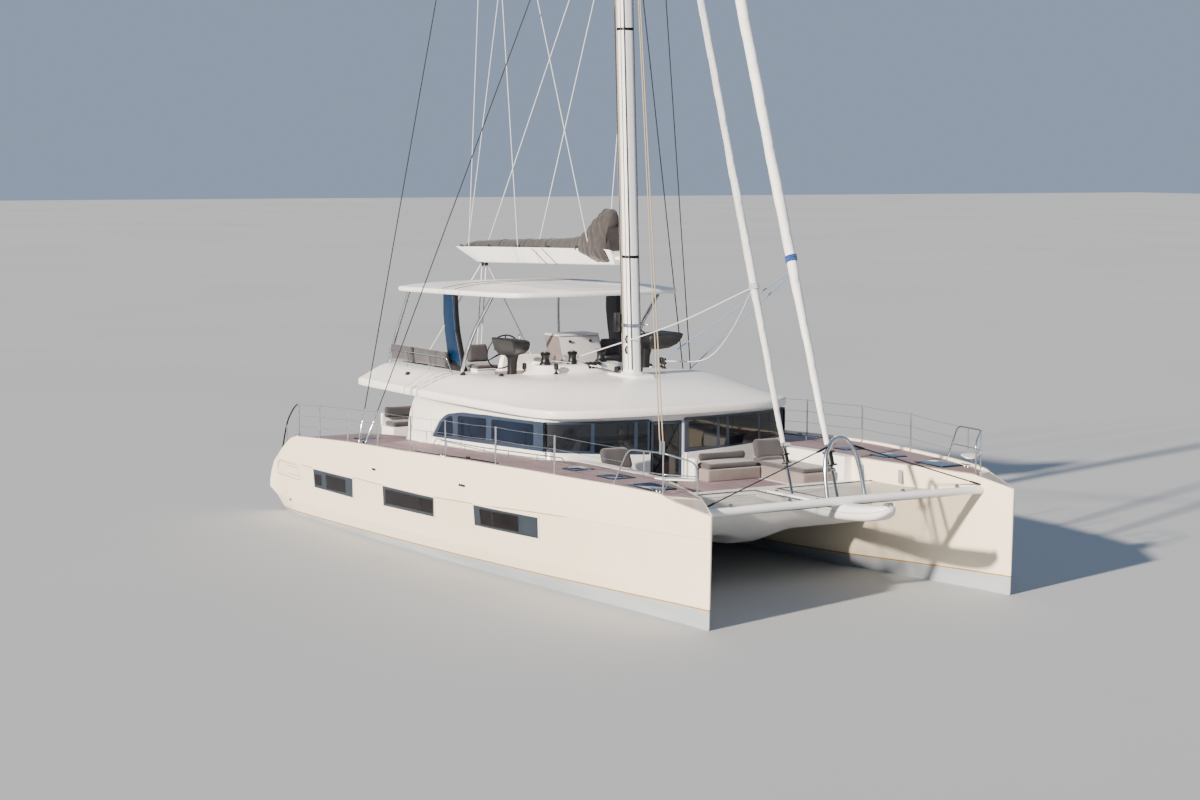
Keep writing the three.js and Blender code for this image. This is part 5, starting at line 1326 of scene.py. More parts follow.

# %% [markdown]
# Between the helms stands a white wet bar whose ends are raked parallelograms, with a lid in two leaves; its
# white is drawn pale grey, as painted shade from the hardtop over it.
# Forward of it, on a low moulded plinth, are the three big winches that all the lines lead to: black drums
# with a waist, a ribbed self-tailing crown and a bright cap. A drum is a profile turned round its axis.

# %% Bar and winches
bar_line = [(-2.80, 3.63), (-2.08, 3.63), (-2.52, 4.845), (-3.18, 4.845)]
bar_body = slab(bar_line, -.20, .94, .015, "xz", .05)
lids = [slab([(-3.19, 4.85), (-2.505, 4.85), (-2.525, 4.905), (-3.20, 4.905)], y0, y1, .012, "xz", .02)
        for y0, y1 in ((-.21, .365), (.375, .95))]
# The bar and its lids are white gelcoat drawn pale grey: painted shade from the hardtop above them.
bar_shade_grey = gelcoat("bar_gelcoat_painted_shade", "c4c3c7", "b8b8bc", 0.3)
piece("bar_body", [bar_body], bar_shade_grey, slot="white_gelcoat", stands_for="flybridge_bar")
piece("bar_lids", lids, bar_shade_grey)
ends = [slab(bar_line, y, y + .02, .006, "xz", .05) for y in (-.215, .935)]
piece("bar_end_panels", ends, plastic("taupe_laminate_panel", ("77706f", "6c6665"), .45))
latch = [block(-2.46, -2.425, y - .035, y + .035, 4.70, 4.76, .01, .004) for y in (.08, .66)]
piece("bar_latches", latch, black)

WINCHES = [(-1.26, -1.30), (-1.18, -.60), (-1.40, .33)]
DRUM = np.array([
    (0, 0), (.142, 0), (.142, .022), (.135, .041), (.112, .062), (.098, .090), (.093, .138), (.092, .186),
    (.098, .221), (.118, .237), (.125, .246), (.118, .257), (.104, .265), (.118, .273), (.125, .284),
    (.117, .298), (.074, .306), (.07, .312)])
CAP = [(0, .304), (.070, .304), (.068, .320), (.054, .331), (.024, .335), (.024, .326), (0, .326)]
plinth_line = spline([(-1.64, .66), (-1.62, -1.34), (-1.10, -1.50), (-.88, -1.15), (-.82, -.3), (-.98, .58)],
                     8, closed=True)
PLINTH = [(.14, .16, 4.00), (.10, .12, 4.06), (.06, .07, 4.14), (.03, .03, 4.21), (0, 0, 4.26),
          (-.02, 0, 4.287), (-.06, 0, 4.299), (-.2, 0, 4.302)]
plinth = loft(np.stack([lifted(grown(plinth_line, d) * [1, 1 + slope], z) for d, slope, z in PLINTH]))
piece("winch_plinth", plinth, white, slot="white_gelcoat", stands_for="winch_deck")
piece("winch_drums", [turned(DRUM, (x, y, 4.30)) for x, y in WINCHES], black, sharp=50)
piece("winch_caps", [turned(CAP, (x, y, 4.30)) for x, y in WINCHES], steel)

clutches, levers = [], []
for k in range(4):
    y = -.34 + k * .10
    clutches.append(slab([(-1.00, 4.28), (-.78, 4.20), (-.78, 4.32), (-.84, 4.345), (-.96, 4.35),
                          (-1.0, 4.33)], y - .035, y + .035, .008, "xz", .02))
    levers.append(slab([(-.97, 4.352), (-.82, 4.350), (-.82, 4.362), (-.96, 4.366)], y - .014, y + .014,
                       .004, "xz", .004))
piece("rope_clutches", clutches, black)
piece("clutch_levers", levers, steel)


def roof_mark(x, y, kind="pad"):
    """A fairlead on the roof: a plate with a bull's-eye ring, or a standing block on a swivel."""
    z = roof_z(x, y) if abs(y) > 1.6 else float(crest_height(np.array(x), np.array(y)))
    if kind == "pad":
        ring = turned([(.035, 0), (.055, .015), (.055, .04), (.035, .055), (.022, .04), (.022, .015),
                       (.035, 0)], (x, y, z + .005))
        return [block(x - .10, x + .10, y - .045, y + .045, z - .02, z + .016, .03, .006), ring]
    sheave = slab(rounded([(x - .07, z + .10), (x + .07, z + .10), (x + .06, z + .26), (x - .06, z + .26)],
                          .05, 5), y - .03, y + .03, .01, "xz")
    return [turned([(0, -.02), (.06, -.02), (.06, .015), (.03, .05), (.02, .11), (0, .11)], (x, y, z)),
            sheave]


marks = [(-5.05, -3.05, "pad"), (-2.78, -2.71, "pad"), (-1.52, -2.35, "pad"), (-1.60, -1.68, "block"),
         (-.75, -1.30, "block"), (-1.0, 1.9, "block"), (-1.6, 2.2, "block"), (-4.60, 3.05, "pad"),
         (-3.2, 2.72, "pad"), (-2.35, 2.35, "pad")]
piece("roof_fairleads", [s for x, y, kind in marks for s in roof_mark(x, y, kind)], black)
print("roof fittings", len(marks))

# %% [markdown]
# A cushion is a stuffed form: crowned faces, soft corners, edges that swell between their seams. Its shape
# starts as a rounded block a little smaller than the real pad, cut into even cells. A short cloth run with
# pressure inside then blows it up. How far a point may move is limited, because a big pad would go on
# swelling, and a pad that rests on a seat stays flat underneath. All cushions are blown up in one run later.

# %% Cushion blanks
CELL = 0.034
blown = []


def sheared(shell, axis, along, amount, origin):
    """A shell whose points shift along one axis in proportion to their distance along another."""
    moved = shell[0].copy()
    moved[:, axis] += (moved[:, along] - origin) * amount
    return (moved, *shell[1:])


def cushion(name, shell, fabric=None, rest=None, give=0.02, stands_for=(), welt=None):
    """A blank with even square cells, put down for the cloth run: rest is the height it lies on, give how
    far it may swell; welt, a closed line for piping, is not used."""
    made = piece(name, shell, fabric or upholstery, stands_for=stands_for)
    cells = made.modifiers.new("even_cells", "REMESH")
    cells.mode, cells.voxel_size, cells.use_smooth_shade = "VOXEL", CELL, True
    whole_piece = made.evaluated_get(bpy.context.evaluated_depsgraph_get())
    made.data = bpy.data.meshes.new_from_object(whole_piece)
    made.modifiers.clear()
    made.data.materials.clear()
    made.data.materials.append(fabric or upholstery)
    blown.append((made, rest, give, welt))


# %% [markdown]
# On each side of the flybridge runs a bench: a white base, two seat pads, and two long back pads that
# stand on the coaming, outboard of the blade. A low polished rail guards them from outside. Ahead of the
# bench the helm seat, a box with a pad and a backrest, faces the wheel.

# %% Flybridge benches and helm seats
bench = [block(-6.9, -4.65, 1.50, 2.235, WELL_FLOOR - .01, 3.835, .06, .02),
         block(-6.86, -4.69, 1.56, 2.225, 3.83, 3.85, .05, .006),
         block(-4.72, -3.38, 1.70, 2.12, WELL_FLOOR - .01, 3.70, .06, .02)]
seat_box = [block(-3.50, -3.05, 1.65, 2.20, WELL_FLOOR - .01, 4.085, .05, .02),
            block(-3.52, -3.03, 1.61, 2.22, 4.075, 4.10, .05, .008)]
seat_pads = [(-6.87, -5.80), (-5.775, -4.68)]
back_pads = [(-6.96, -5.74), (-5.66, -3.90)]
rail = [bent([(-6.85, 2.62, 4.02), (-6.85, 2.70, 4.35), (-3.66, 2.70, 4.35), (-3.60, 2.60, 4.04)],
             .09, .014)]
rail += [tube([(x, 2.645, 4.02), (x, 2.70, 4.35)], .012) for x in (-5.90, -4.68)]
rail += [turned([(0, 0), (.04, 0), (.04, .008), (.018, .016), (0, .016)], (x, y, roof_z(x, y) - .003),
                sides=16)
         for x, y in ((-6.85, 2.62), (-5.90, 2.645), (-4.68, 2.645), (-3.60, 2.60))]
both("flybridge_bench", bench, white, slot="white_gelcoat", stands_for="*_flybridge_sofa")
both("helm_seat_box", seat_box, white)
both("flybridge_rail", rail, steel)
for side, flip in SIDES.items():
    for number, (x0, x1) in enumerate(seat_pads, 1):
        shell = block(x0 + .012, x1 - .012, 1.515, 2.20, 3.853, 3.950, .07, .035)
        cushion(f"{side}_flybridge_seat_pad_{number}", flip(shell), rest=3.852, give=.016,
                welt=(x0, x1, 1.51, 2.21, 3.945, side))
    for number, (x0, x1) in enumerate(back_pads, 1):
        shell = slab(oblong(x0 + .012, x1 - .012, 4.06, 4.485), 2.445, 2.565, .04, "xz", .07)
        cushion(f"{side}_flybridge_back_pad_{number}", flip(sheared(shell, 1, 2, .12, 4.06)), give=.022)
    shell = block(-3.545, -3.00, 1.575, 2.225, 4.103, 4.185, .07, .032)
    cushion(f"{side}_helm_seat_pad", flip(shell), rest=4.102, give=.014)
    shell = slab([(1.60, 4.215), (2.20, 4.215), (2.17, 4.68), (1.63, 4.68)], -3.575, -3.47, .04, "yz", .08)
    cushion(f"{side}_helm_backrest", flip(sheared(shell, 0, 2, -.12, 4.2)), give=.016)
print("cushion blanks", len(blown))

# %% [markdown]
# The mast is one white extrusion, a rounded box in section, raked aft by 5.3 cm for each metre of height.
# A shallow groove runs up each side, a luff track up the back. Every ring is a superellipse, which goes
# from an ellipse towards a rectangle as its power grows, pinched in at the grooves.

# %% Mast
RAKE, HEAD, SPREADERS, HOUNDS, LOWERS = 0.053, 31.5, 18.6, 28.4, 18.3
MAST_TOP_PLATE = 4.190


def mast_at(z):
    """The mast's centre at a height."""
    z = np.asarray(z, float)
    return np.stack([MAST_X - RAKE * (z - MAST_Z), 0 * z, z], axis=-1)


def mast_size(z):
    """Half length and half width at a height: constant to 24 m, then tapering to the head."""
    share_up = np.clip((np.asarray(z, float) - 24) / (HEAD - 24), 0, 1)
    return 0.215 - 0.065 * share_up, 0.170 - 0.050 * share_up


POWER = 3.2
turn = circle(96)
groove = 1 - 0.10 * np.exp(-((np.abs(np.sin(turn)) ** .5 - 1) ** 2 * 900
                             + ((np.cos(turn) + .16) / .07) ** 2))
heights = np.r_[MAST_TOP_PLATE, 4.21, np.linspace(4.3, 24, 36), np.linspace(24.5, HEAD, 12)]
half_long, half_wide = mast_size(heights)
section_x, section_y = lobe(np.cos(turn), 2 / POWER), lobe(np.sin(turn), 2 / POWER) * groove
rings = mast_at(heights)[:, None] + np.stack([half_long[:, None] * section_x, half_wide[:, None] * section_y,
                                              0 * half_long[:, None] * section_x], axis=-1)
TIP = np.array([-2.528, 2.36, SPREADERS])                      # where each spreader holds its shroud


def spreader(side):
    """A flattened tube that tapers from the mast to the shroud."""
    t = np.linspace(0, 1, 12)[:, None]
    angle = circle(20)[None, :]
    start, end = mast_at(SPREADERS), TIP * [1, side, 1]
    half = .12 - .06 * t
    return loft(np.stack([start[0] + (end - start)[0] * t + half * np.cos(angle),
                          (end - start)[1] * t + 0 * angle,
                          SPREADERS + (.035 - .012 * t) * np.sin(angle)], axis=-1))


def collar(levels):
    """A band round the mast below the taper, through rows of (height, how far it stands out)."""
    return loft(np.stack([np.stack([mast_at(z)[0] + (.215 + grow) * section_x, (.170 + grow) * section_y,
                                    np.full(len(turn), z)], axis=1) for z, grow in levels]))


bands = [collar([(z - .03, -.01), (z - .03, .006), (z + .03, .006), (z + .03, -.01)])
         for z in (6.92, 12.2, 18.9, 24.4)]
foot = collar([(4.17, .0), (4.17, .055), (4.20, .055), (4.215, .03), (4.225, .0)])
track = loft(np.stack([mast_at(z)
                       + np.array([[-.205 - d, w, 0]
                                   for d, w in ((0, .022), (.022, .022), (.022, -.022), (0, -.022))])
                       for z in (4.6, 12.0, 20.0, 24.0)]))
HX = float(mast_at(HEAD)[0])
crane = [slab([(HX - .42, HEAD - .05), (HX + .26, HEAD - .05), (HX + .22, HEAD + .06),
               (HX - .36, HEAD + .06)], -.05, .05, .012, "xz", .03)]
wand = [tube([(HX - .33, 0, HEAD), (HX - .33, 0, HEAD + 1.1)], .011),
        turned([(0, 0), (.05, 0), (.05, .10), (.03, .13), (0, .13)], (HX + .05, 0, HEAD + .05)),
        tube([(HX + .18, 0, HEAD + .03), (HX + .18, 0, HEAD + .45)], .008)]
vane = slab([(HX + .02, HEAD + .40), (HX + .34, HEAD + .44), (HX + .34, HEAD + .50), (HX + .02, HEAD + .46)],
            -.006, .006, .002, "xz")
lugs = [slab(rounded([(.05, -.07), (.40, -.10), (.40, .10), (.05, .07)], .05, 5), 6.86 + dz, 6.89 + dz, .005)
        for dz in (-.075, .045)]
gooseneck_pin = turned([(0, -.09), (.03, -.09), (.03, -.08), (.02, -.075), (.02, .075), (.03, .08),
                        (.03, .09), (0, .09)], (.11, 0, 6.86))
piece("mast_extrusion", [loft(rings), spreader(1), spreader(-1)], painted, slot="painted_aluminium",
      stands_for="mast", sharp=45)
piece("mast_bands", bands + [track], dark_steel)


def up_the_mast(forward, across, radius):
    """A line that lies along the mast, at an offset from its centre, from the foot to 24 m."""
    return tube(mast_at(np.array([4.30, 12.0, 24.0])) + [forward, across, 0], radius, 8)


piece("mast_black_lines",
      [up_the_mast(.203, -.122, .013), up_the_mast(-.205, -.122, .010), up_the_mast(.200, .135, .010)],
      rope_black)
# Two thin dark lines up the mast's sides, painted shade of a groove line in the extrusion.
piece("mast_groove_painted_shade", [up_the_mast(.12, -.172, .007), up_the_mast(.12, .172, .007)], seam_dark)
piece("mast_collar", [foot] + crane + lugs, painted)
piece("masthead_instruments", wand + [vane], black)

furl_z = 5.32
bracket = [collar([(furl_z - .04, -.01), (furl_z - .04, .02), (furl_z + .04, .02), (furl_z + .04, -.01)]),
           slab([(.50, .18), (.72, .34), (.66, .40), (.44, .24)], furl_z - .015, furl_z + .015, .004)]
piece("mast_ring_bracket", bracket, steel)
reader = [block(.23, .33, -.33, -.19, 5.16, 5.60, .02, .01)]
cleats = [tube([(.62 + .02 * s, -.19, z - .09), (.62 + .02 * s, -.215, z), (.62 + .02 * s, -.19, z + .09)],
               .012) for z in (4.75, 5.0) for s in (-1, 1)]
base_blocks = []
for k, angle in enumerate(np.radians([150, 172, 196, 218, 242, 122, 100])):
    x, y = .50 + .40 * math.cos(angle), .33 * math.sin(angle)
    base_blocks.append(slab(rounded([(x - .055, 4.20), (x + .055, 4.20), (x + .05, 4.33), (x - .05, 4.33)],
                                    .04, 5), y - .025, y + .025, .008, "xz"))
piece("mast_base_blocks", base_blocks + reader + cleats, black)
print("mast", round(HEAD - MAST_Z, 1), "m tall, head leans aft", round(RAKE * (HEAD - MAST_Z), 2), "m")

# %% [markdown]
# A headsail furls round its forestay into a tight white roll that is thin at the foot, thickest where the
# clew winds in, and thin again at the head. Its leech shows as a shallow step that climbs round the roll in
# a long spiral. Angle and height are the two parameters. The radius gains a small saw tooth of the angle
# less the spiral's turn, and a little slow unevenness, because cloth never rolls perfectly round.

# %% Furled sails
def about(along, angle):
    """Unit vectors square to a line, at angles round it that start from port."""
    return np.cos(angle)[..., None] * [0, 1.0, 0] + np.sin(angle)[..., None] * np.cross(along, [0, 1.0, 0])


def furled(tack, head_z, low, high, radii, wraps, seed):
    """A roll round the line from tack to mast: radius by height, with a spiral step and slow lumps."""
    head = mast_at(head_z)
    z = np.linspace(low, high, 420)[:, None]
    angle = circle(32)[None, :]
    centre = tack + (head - tack) * ((z - tack[2]) / (head[2] - tack[2]))[..., None]
    along = (head - tack) / np.linalg.norm(head - tack)
    share_up = (z - low) / (high - low)
    radius = fair(share_up[:, 0], *radii)[:, None]
    saw = np.mod(angle / (2 * np.pi) - wraps * share_up, 1.0)
    step = 0.009 * (saw - 0.5) * np.clip(saw * 14, 0, 1)
    second = np.mod(angle / (2 * np.pi) + .37 - wraps * .73 * share_up, 1.0)
    lumps = 0.006 * np.sin(z * 2.3 + seed + np.sin(angle + z)) * np.sin(z * 0.9 + 2 * angle + seed)
    radius = radius + step - 0.004 * np.exp(-((second - .5) / .02) ** 2) + lumps
    shell = loft(centre + radius[..., None] * about(along, angle))
    return shell, lambda h: tack + (head - tack) * ((h - tack[2]) / (head[2] - tack[2])), along


def furler(at, low, radius, tall):
    """The drum under a furled sail: two flanges with the line's turns between, and links to the tack."""
    base, top = at(low), at(low + tall)
    along = (top - base) / np.linalg.norm(top - base)
    profile = np.array([(0, 0), (radius, 0), (radius, .015), (radius * .55, .03), (radius * .55, tall - .03),
                        (radius, tall - .015), (radius, tall), (.04, tall + .01), (.035, tall + .12),
                        (0, tall + .12)])[..., None, None]
    return loft(base + profile[:, 1] * along + profile[:, 0] * about(along, circle(28)))


SHARES = [0, .03, .10, .17, .35, .7, 1]                       # shares of the roll's height, for its radii
# Name; tack, and height at the mast; the roll's ends, radii, turns and seed; the furler's radius and height;
# height and finish of the tie
SAILS = (("genoa", np.array([8.64, 0, 2.185]), HOUNDS, 3.31, 27.0,
          [.055, .068, .088, .108, .118, .085, .038], 26, 1.0, (.135, .29), 7.12, blue_tape),
         ("staysail", np.array([7.03, 0, 2.10]), 23.8, 3.18, 22.6,
          [.045, .058, .074, .086, .082, .062, .034], 22, 4.0, (.11, .20), 6.46, rope_pale))
stays = []
for name, tack, head_z, low, high, radii, wraps, seed, drum, tie_z, finish in SAILS:
    roll, at, along = furled(tack, head_z, low, high, (SHARES, radii), wraps, seed)
    piece(f"{name}_roll", roll, sailcloth, slot="sailcloth", stands_for=name, sharp=60)
    piece(f"{name}_stay", [tube([tack, at(low)], .010, 8), tube([at(high), mast_at(head_z)], .010, 8)], wire)
    piece(f"{name}_furler", furler(at, low - .42, *drum), black, sharp=50)
    links = [tube([tack + [0, s * .025, 0], at(low - .42) + [0, s * .025, 0]], .012, 8) for s in (1, -1)]
    links += [turned([(0, -.06), (.03, -.06), (.03, .06), (0, .06)], at(low - .5), "y", 20)]
    piece(f"{name}_links", links, steel)
    spin = np.linspace(0, 2 * np.pi * 4, 120)
    tie_radius = float(fair(np.array([(tie_z - low) / (high - low)]), SHARES, radii)[0]) + .012
    path = at(tie_z) + np.linspace(-.07, .07, 120)[:, None] * along + tie_radius * about(along, spin)
    piece(f"{name}_tie", tube(path, .016, 8), finish)
    stays.append(at)
    print(name, "rolled from", low, "to", high, "m")
genoa_at, staysail_at = stays

# %% [markdown]
# Shrouds are rods from chainplates on the hulls' sides: a cap shroud over the spreader's tip to the
# hounds, and a lower one to the mast under the spreader. Each starts in a bright turnbuckle. The running
# rigging is all under load here, so every line is a straight tube between its fittings.

# %% Shrouds and running rigging
CHAINPLATE = np.array([-4.14, 4.87, 2.20])


def turnbuckle(foot, towards):
    """Toggle, body and stud in line with the wire, from a chainplate upwards."""
    along = (towards - foot) / np.linalg.norm(towards - foot)
    stations = [(.02, .030), (.16, .030), (.18, .018), (.24, .018), (.25, .028), (.62, .028), (.64, .018),
                (.80, .018), (.82, .022), (.98, .022)]
    return tube(np.stack([foot + along * d for d, _ in stations]), np.array([r for _, r in stations]), 14)


cap_foot, lower_foot = CHAINPLATE, CHAINPLATE - [0, .16, 0]
cap_wire = tube([cap_foot, TIP + [0, .03, 0], mast_at(HOUNDS)], .014, 8)
lower_wire = tube([lower_foot, mast_at(LOWERS)], .014, 8)
both("cap_shroud_rod", cap_wire, wire, slot="rigging", stands_for="*_cap_shroud")
both("lower_shroud_rod", lower_wire, wire, slot="rigging", stands_for="*_lower_shroud")
both("turnbuckles", [turnbuckle(cap_foot, TIP), turnbuckle(lower_foot, mast_at(LOWERS))], steel)
plate_line = [(-4.24, 2.14), (-4.04, 2.14), (-4.09, 2.36), (-4.19, 2.36)]
both("chainplates", [slab(plate_line, y - .012, y + .012, .003, "xz", .03) for y in (4.87, 4.71)],
     dark_steel)


def to_boom(name, legs, radius, finish, turning=(0, 1)):
    """Taut lines from the boat to the boom, each a straight tube baked in place on no body. turning, the
    share of a line's length where the boat's part would give way to the boom's, is not used."""
    made = piece(name, [tube(np.linspace(a, b, 40), radius, 6) for a, b in legs], finish, body=None)
    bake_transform(made)


lift_top, lift_foot = (HX - .30, 0, HEAD - .03), (-7.58, 0, 6.93)
to_boom("topping_lift", [(lift_top, lift_foot)], .010, rope_pale, (0, .3))
jack_top = TIP * [1, .93, 1] + [.06, 0, -.05]
jack_feet = np.array([(-.98, .28, 7.12), (-4.4, .295, 6.99), (-7.04, .27, 6.93)])
for name, foot, turning in zip(("forward", "middle", "aft"), jack_feet, ((.45, 1), (0, .75), (0, .45))):
    jacks = [(jack_top * [1, s, 1], foot * [1, s, 1]) for s in (1, -1)]
    to_boom(f"{name}_lazy_jacks", jacks, .011, rope_pale, turning)
halyard_feet = [(.37, .10), (.36, .03), (.36, -.05), (.38, -.12), (.50, -.20), (.58, -.21), (.44, .19)]
halyards = [tube([(x - .04, y, 4.30), *(mast_at(z) + [x - MAST_X - .03 * (k % 2), y, 0] for z in (5.6, 9.0)),
                  mast_at(24) + [x - MAST_X, y * .9, 0]], .011, 6)
            for k, (x, y) in enumerate(halyard_feet)]
for k, (name, finish) in enumerate((("white", rope_pale), ("black", rope_black), ("tan", rope_tan))):
    piece(f"halyards_{name}", halyards[k::3], finish)
led = [tube(spline([(.20, -.10 - .06 * k, 4.22), (-.20, -.24 - .03 * k, 4.262),
                    (-.78, -.34 + .10 * k, 4.285)], 8), .014, 6) for k in range(4)]
led += [tube([(-1.0, -.34 + .10 * k, 4.305),
              [(-1.22, -1.20, 4.40), (-1.10, -.55, 4.40), (-1.14, -.52, 4.40), (-1.34, .26, 4.40)][k]], .009,
              6) for k in range(4)]
piece("led_lines_pale", led[::2], rope_pale)
piece("led_lines_black", led[1::2], rope_black)

sheets = [((-7.02, s * (.06 + 1.55 * w), 3.98), (-6.70, s * .06, 6.50)) for s in (1, -1) for w in (0, 1)]
to_boom("mainsheet", sheets, .016, rope_pale)
sheet_blocks = [turned([(0, -.03), (.05, -.03), (.055, 0), (.05, .03), (0, .03)], p, "y", 20)
                for p in ((-6.70, .06, 6.46), (-6.70, -.06, 6.46))]
piece("mainsheet_blocks", sheet_blocks, black, "boom")
forward_lines = [tube([mast_at(23.6) + [.2, -.04, 0], (8.20 + dx, -4.10, 3.40)], .013, 6) for dx in (0, .12)]
shackles = [tube([(8.20 + dx, -4.10, 3.36), (8.20 + dx, -4.10, 3.62)], .024, 8) for dx in (0, .12)]
piece("pole_halyards", forward_lines, rope_tan)
piece("pole_halyard_shackles", shackles, steel)
pale_sheets = [tube(spline([staysail_at(6.40) + [-.08, 0, 0], (3.2, .95, 5.25), (1.2, 1.62, 4.50),
                            (-.93, 1.9, 4.28)], 10), .013, 8),
               tube(spline([staysail_at(6.44) + [-.08, 0, 0], (2.2, .04, 5.42), (-1.20, -.45, 4.46)], 10),
                    .013, 8)]
piece("staysail_sheets", pale_sheets, rope_pale)
blue_sheets = [tube([genoa_at(6.85) + [-.11, 0, 0], (-1.52, 2.2, 4.28)], .014, 8),
               tube([genoa_at(6.80) + [-.11, 0, 0], (-1.6, 3.05, 3.99)], .014, 8)]
piece("genoa_sheets", blue_sheets, rope_blue)
print("halyards", len(halyards), "led lines", len(led), "sheets", len(pale_sheets) + len(blue_sheets))

# %% [markdown]
# The boom is a white trough of carbon or aluminium, V-shaped, its aft end raked like a swallow's wing, and
# the sail drops into it. One ring per station runs over both rims and round the outside. The forward end
# closes onto a forged tongue between two lugs on the mast.

# %% Boom
# x, height and half breadth of the rim, then of the keel line, at six stations from aft
BOOM = np.array([[-7.82, 6.885, .25, -6.94, 6.50, .06], [-7.42, 6.89, .275, -6.78, 6.495, .07],
                 [-6.6, 6.915, .295, -6.5, 6.505, .075], [-3.5, 7.0, .30, -3.5, 6.595, .08],
                 [-.34, 7.075, .295, -.30, 6.69, .085], [-.12, 7.05, .20, -.10, 6.70, .08]])
x, rim_z, half, low_x, keel_z, low_half = fair(np.linspace(0, 5, 60), np.arange(6), BOOM).T
ring = np.stack([np.stack(point, axis=1) for point in (
    (x, half, rim_z), (low_x, low_half, keel_z), (low_x, -low_half, keel_z), (x, -half, rim_z),
    (x, -half + .035, rim_z), (x + .05, -half + .06, rim_z - .05), (x + .05, half - .06, rim_z - .05),
    (x, half - .035, rim_z))], axis=1)
boom_shell = loft(rounded(ring, [.015, .05, .05, .015, .012, .02, .02, .012], 4))
tongue = slab([(-.20, -.045), (.10, -.045), (.165, -.02), (.165, .02), (.10, .045), (-.20, .045)], 6.82,
              6.90, .008, corner=.02)
piece("boom_trough", [boom_shell, tongue], painted, "boom", slot="painted_aluminium", stands_for="boom",
      sharp=40)
piece("gooseneck_pin", gooseneck_pin, steel, "boom")
loops = []
for x in (-7.4, -5.9, -4.4, -2.9, -1.5):
    z = 7.0 + .026 * (x + 3.4) + .01
    for s in (1, -1):
        loops.append(tube([(x - .05, s * .287, z - .015), (x - .04, s * .30, z + .035),
                           (x + .04, s * .30, z + .035), (x + .05, s * .287, z - .015)], .012, 8))
reefs = [tube([(x, s * .298, 6.985 + .026 * (x + 3.4)), (x + .42, s * .097, 6.60 + .026 * (x + 3.4))], .009,
              6) for x in (-3.7, -3.2) for s in (1, -1)]
piece("boom_loops", loops + reefs, black, "boom")
end_sheaves = [turned([(.012, -.02), (.05, -.02), (.04, 0), (.05, .02), (.012, .02), (.012, -.02)],
                      (-7.65, y, 6.86), "y", 20) for y in (-.12, 0, .12)]
piece("boom_end_sheaves", end_sheaves, dark_steel, "boom")

# %% [markdown]
# The mainsail lies flaked in the trough under a faded grey cover that is low along the boom and climbs in a
# heap against the mast, where the sail's head boards stack. Canvas there hangs in folds. The cover is a
# closed shell over stations along the boom and an angle round the section. Its folds are sums of waves
# that lean along the cloth's pull, steeper and deeper towards the heap, so they stay crisp and never repeat.

# %% Sail cover
COVER = ([-7.60, -7.3, -6.4, -4.6, -3.0, -2.2, -1.75, -1.35, -1.0, -.65, -.38, -.24],    # x
         [.03, .10, .155, .195, .22, .24, .28, .42, .66, .90, .93, .80],     # height over the rim
         [.10, .17, .21, .235, .25, .26, .27, .29, .31, .31, .29, .24])     # half width
cx = np.r_[np.linspace(-7.60, -2.2, 110), np.linspace(-2.18, -.24, 130)]
height, half = fair(cx, COVER[0], COVER[1])[:, None], fair(cx, COVER[0], COVER[2])[:, None]
base = (6.885 + (cx + 8.15) * .0258)[:, None]
phi = circle(90)[None, :]
heap = np.clip((cx + 2.0) / 1.2, 0, 1)[:, None] ** 1.2
over = np.sin(phi)
rise_part = lobe(over, .85)
x = cx[:, None] + 0 * phi
z = base + np.where(over > 0, height * rise_part, (.03 + .30 * heap) * rise_part)
skirt = half * (1 + .10 * heap)
y = skirt * lobe(np.cos(phi), .75) * np.where(over < 0, 1 + .10 * heap * -over, 1 - .22 * over * heap)
lean = x * 9 + (z - base) * 7 * heap
folds = (np.sin(lean * 1.9 + 2.1 * np.sin(x * 3 + phi)) + .6 * np.sin(lean * 3.7 + 3 * phi + 1.3)
         + .4 * np.sin(x * 31 - z * 9 + np.cos(phi * 2))
         + .5 * np.sin(phi * 7 + x * 5))
amount = .004 + .017 * heap
upper = .35 + .65 * np.clip(over + .6, 0, 1)
points = np.stack([x, y, z], axis=-1)
centre_line = np.stack([x, 0 * y, base + height * .25 + 0 * phi], axis=-1)
outward = points - centre_line
outward[..., 0] = 0
outward /= np.linalg.norm(outward, axis=-1, keepdims=True)
points = points + outward * (amount * folds * upper)[..., None]
points[..., 0] += .02 * heap * np.sin(z * 17 + phi * 3)
piece("sail_cover", loft(points), canvas, "boom", slot="canvas", stands_for="stowed_mainsail", sharp=70)
straps = []
for x0 in (-6.9, -5.5, -4.2, -3.1):
    h, w = (float(fair(np.array([x0]), COVER[0], row)[0]) for row in COVER[1:])
    b = 6.885 + (x0 + 8.15) * .0258
    arc = np.linspace(-.02, math.pi + .02, 24)
    straps.append(np.stack([np.full(24, x0), (w + .008) * lobe(np.cos(arc), .75),
                            b + (h + .010) * np.abs(np.sin(arc)) ** .85], axis=1))
strap_shells = [loft(np.stack([np.stack([p + [-.02, 0, 0], p + [.02, 0, 0], (p - [0, 0, .012]) + [.02, 0, 0],
                                         (p - [0, 0, .012]) + [-.02, 0, 0]], axis=0) for p in path]))
                for path in straps]
piece("cover_straps", strap_shells, navy_canvas, "boom")
print("cover rises to", round(float(points[..., 2].max()), 2))

# %% [markdown]
# Across the bows runs the forward crossbeam, a painted aluminium tube with a bracket at each hull. A
# polished arch stands on its middle, and two dark rods run from the arch's top to the beam's ends, so that
# the pull of the forestay bends nothing. The long white bowsprit lies on the centreline under it, shaped
# like a drop: narrow where it leaves the cockpit, widest ahead of the beam.

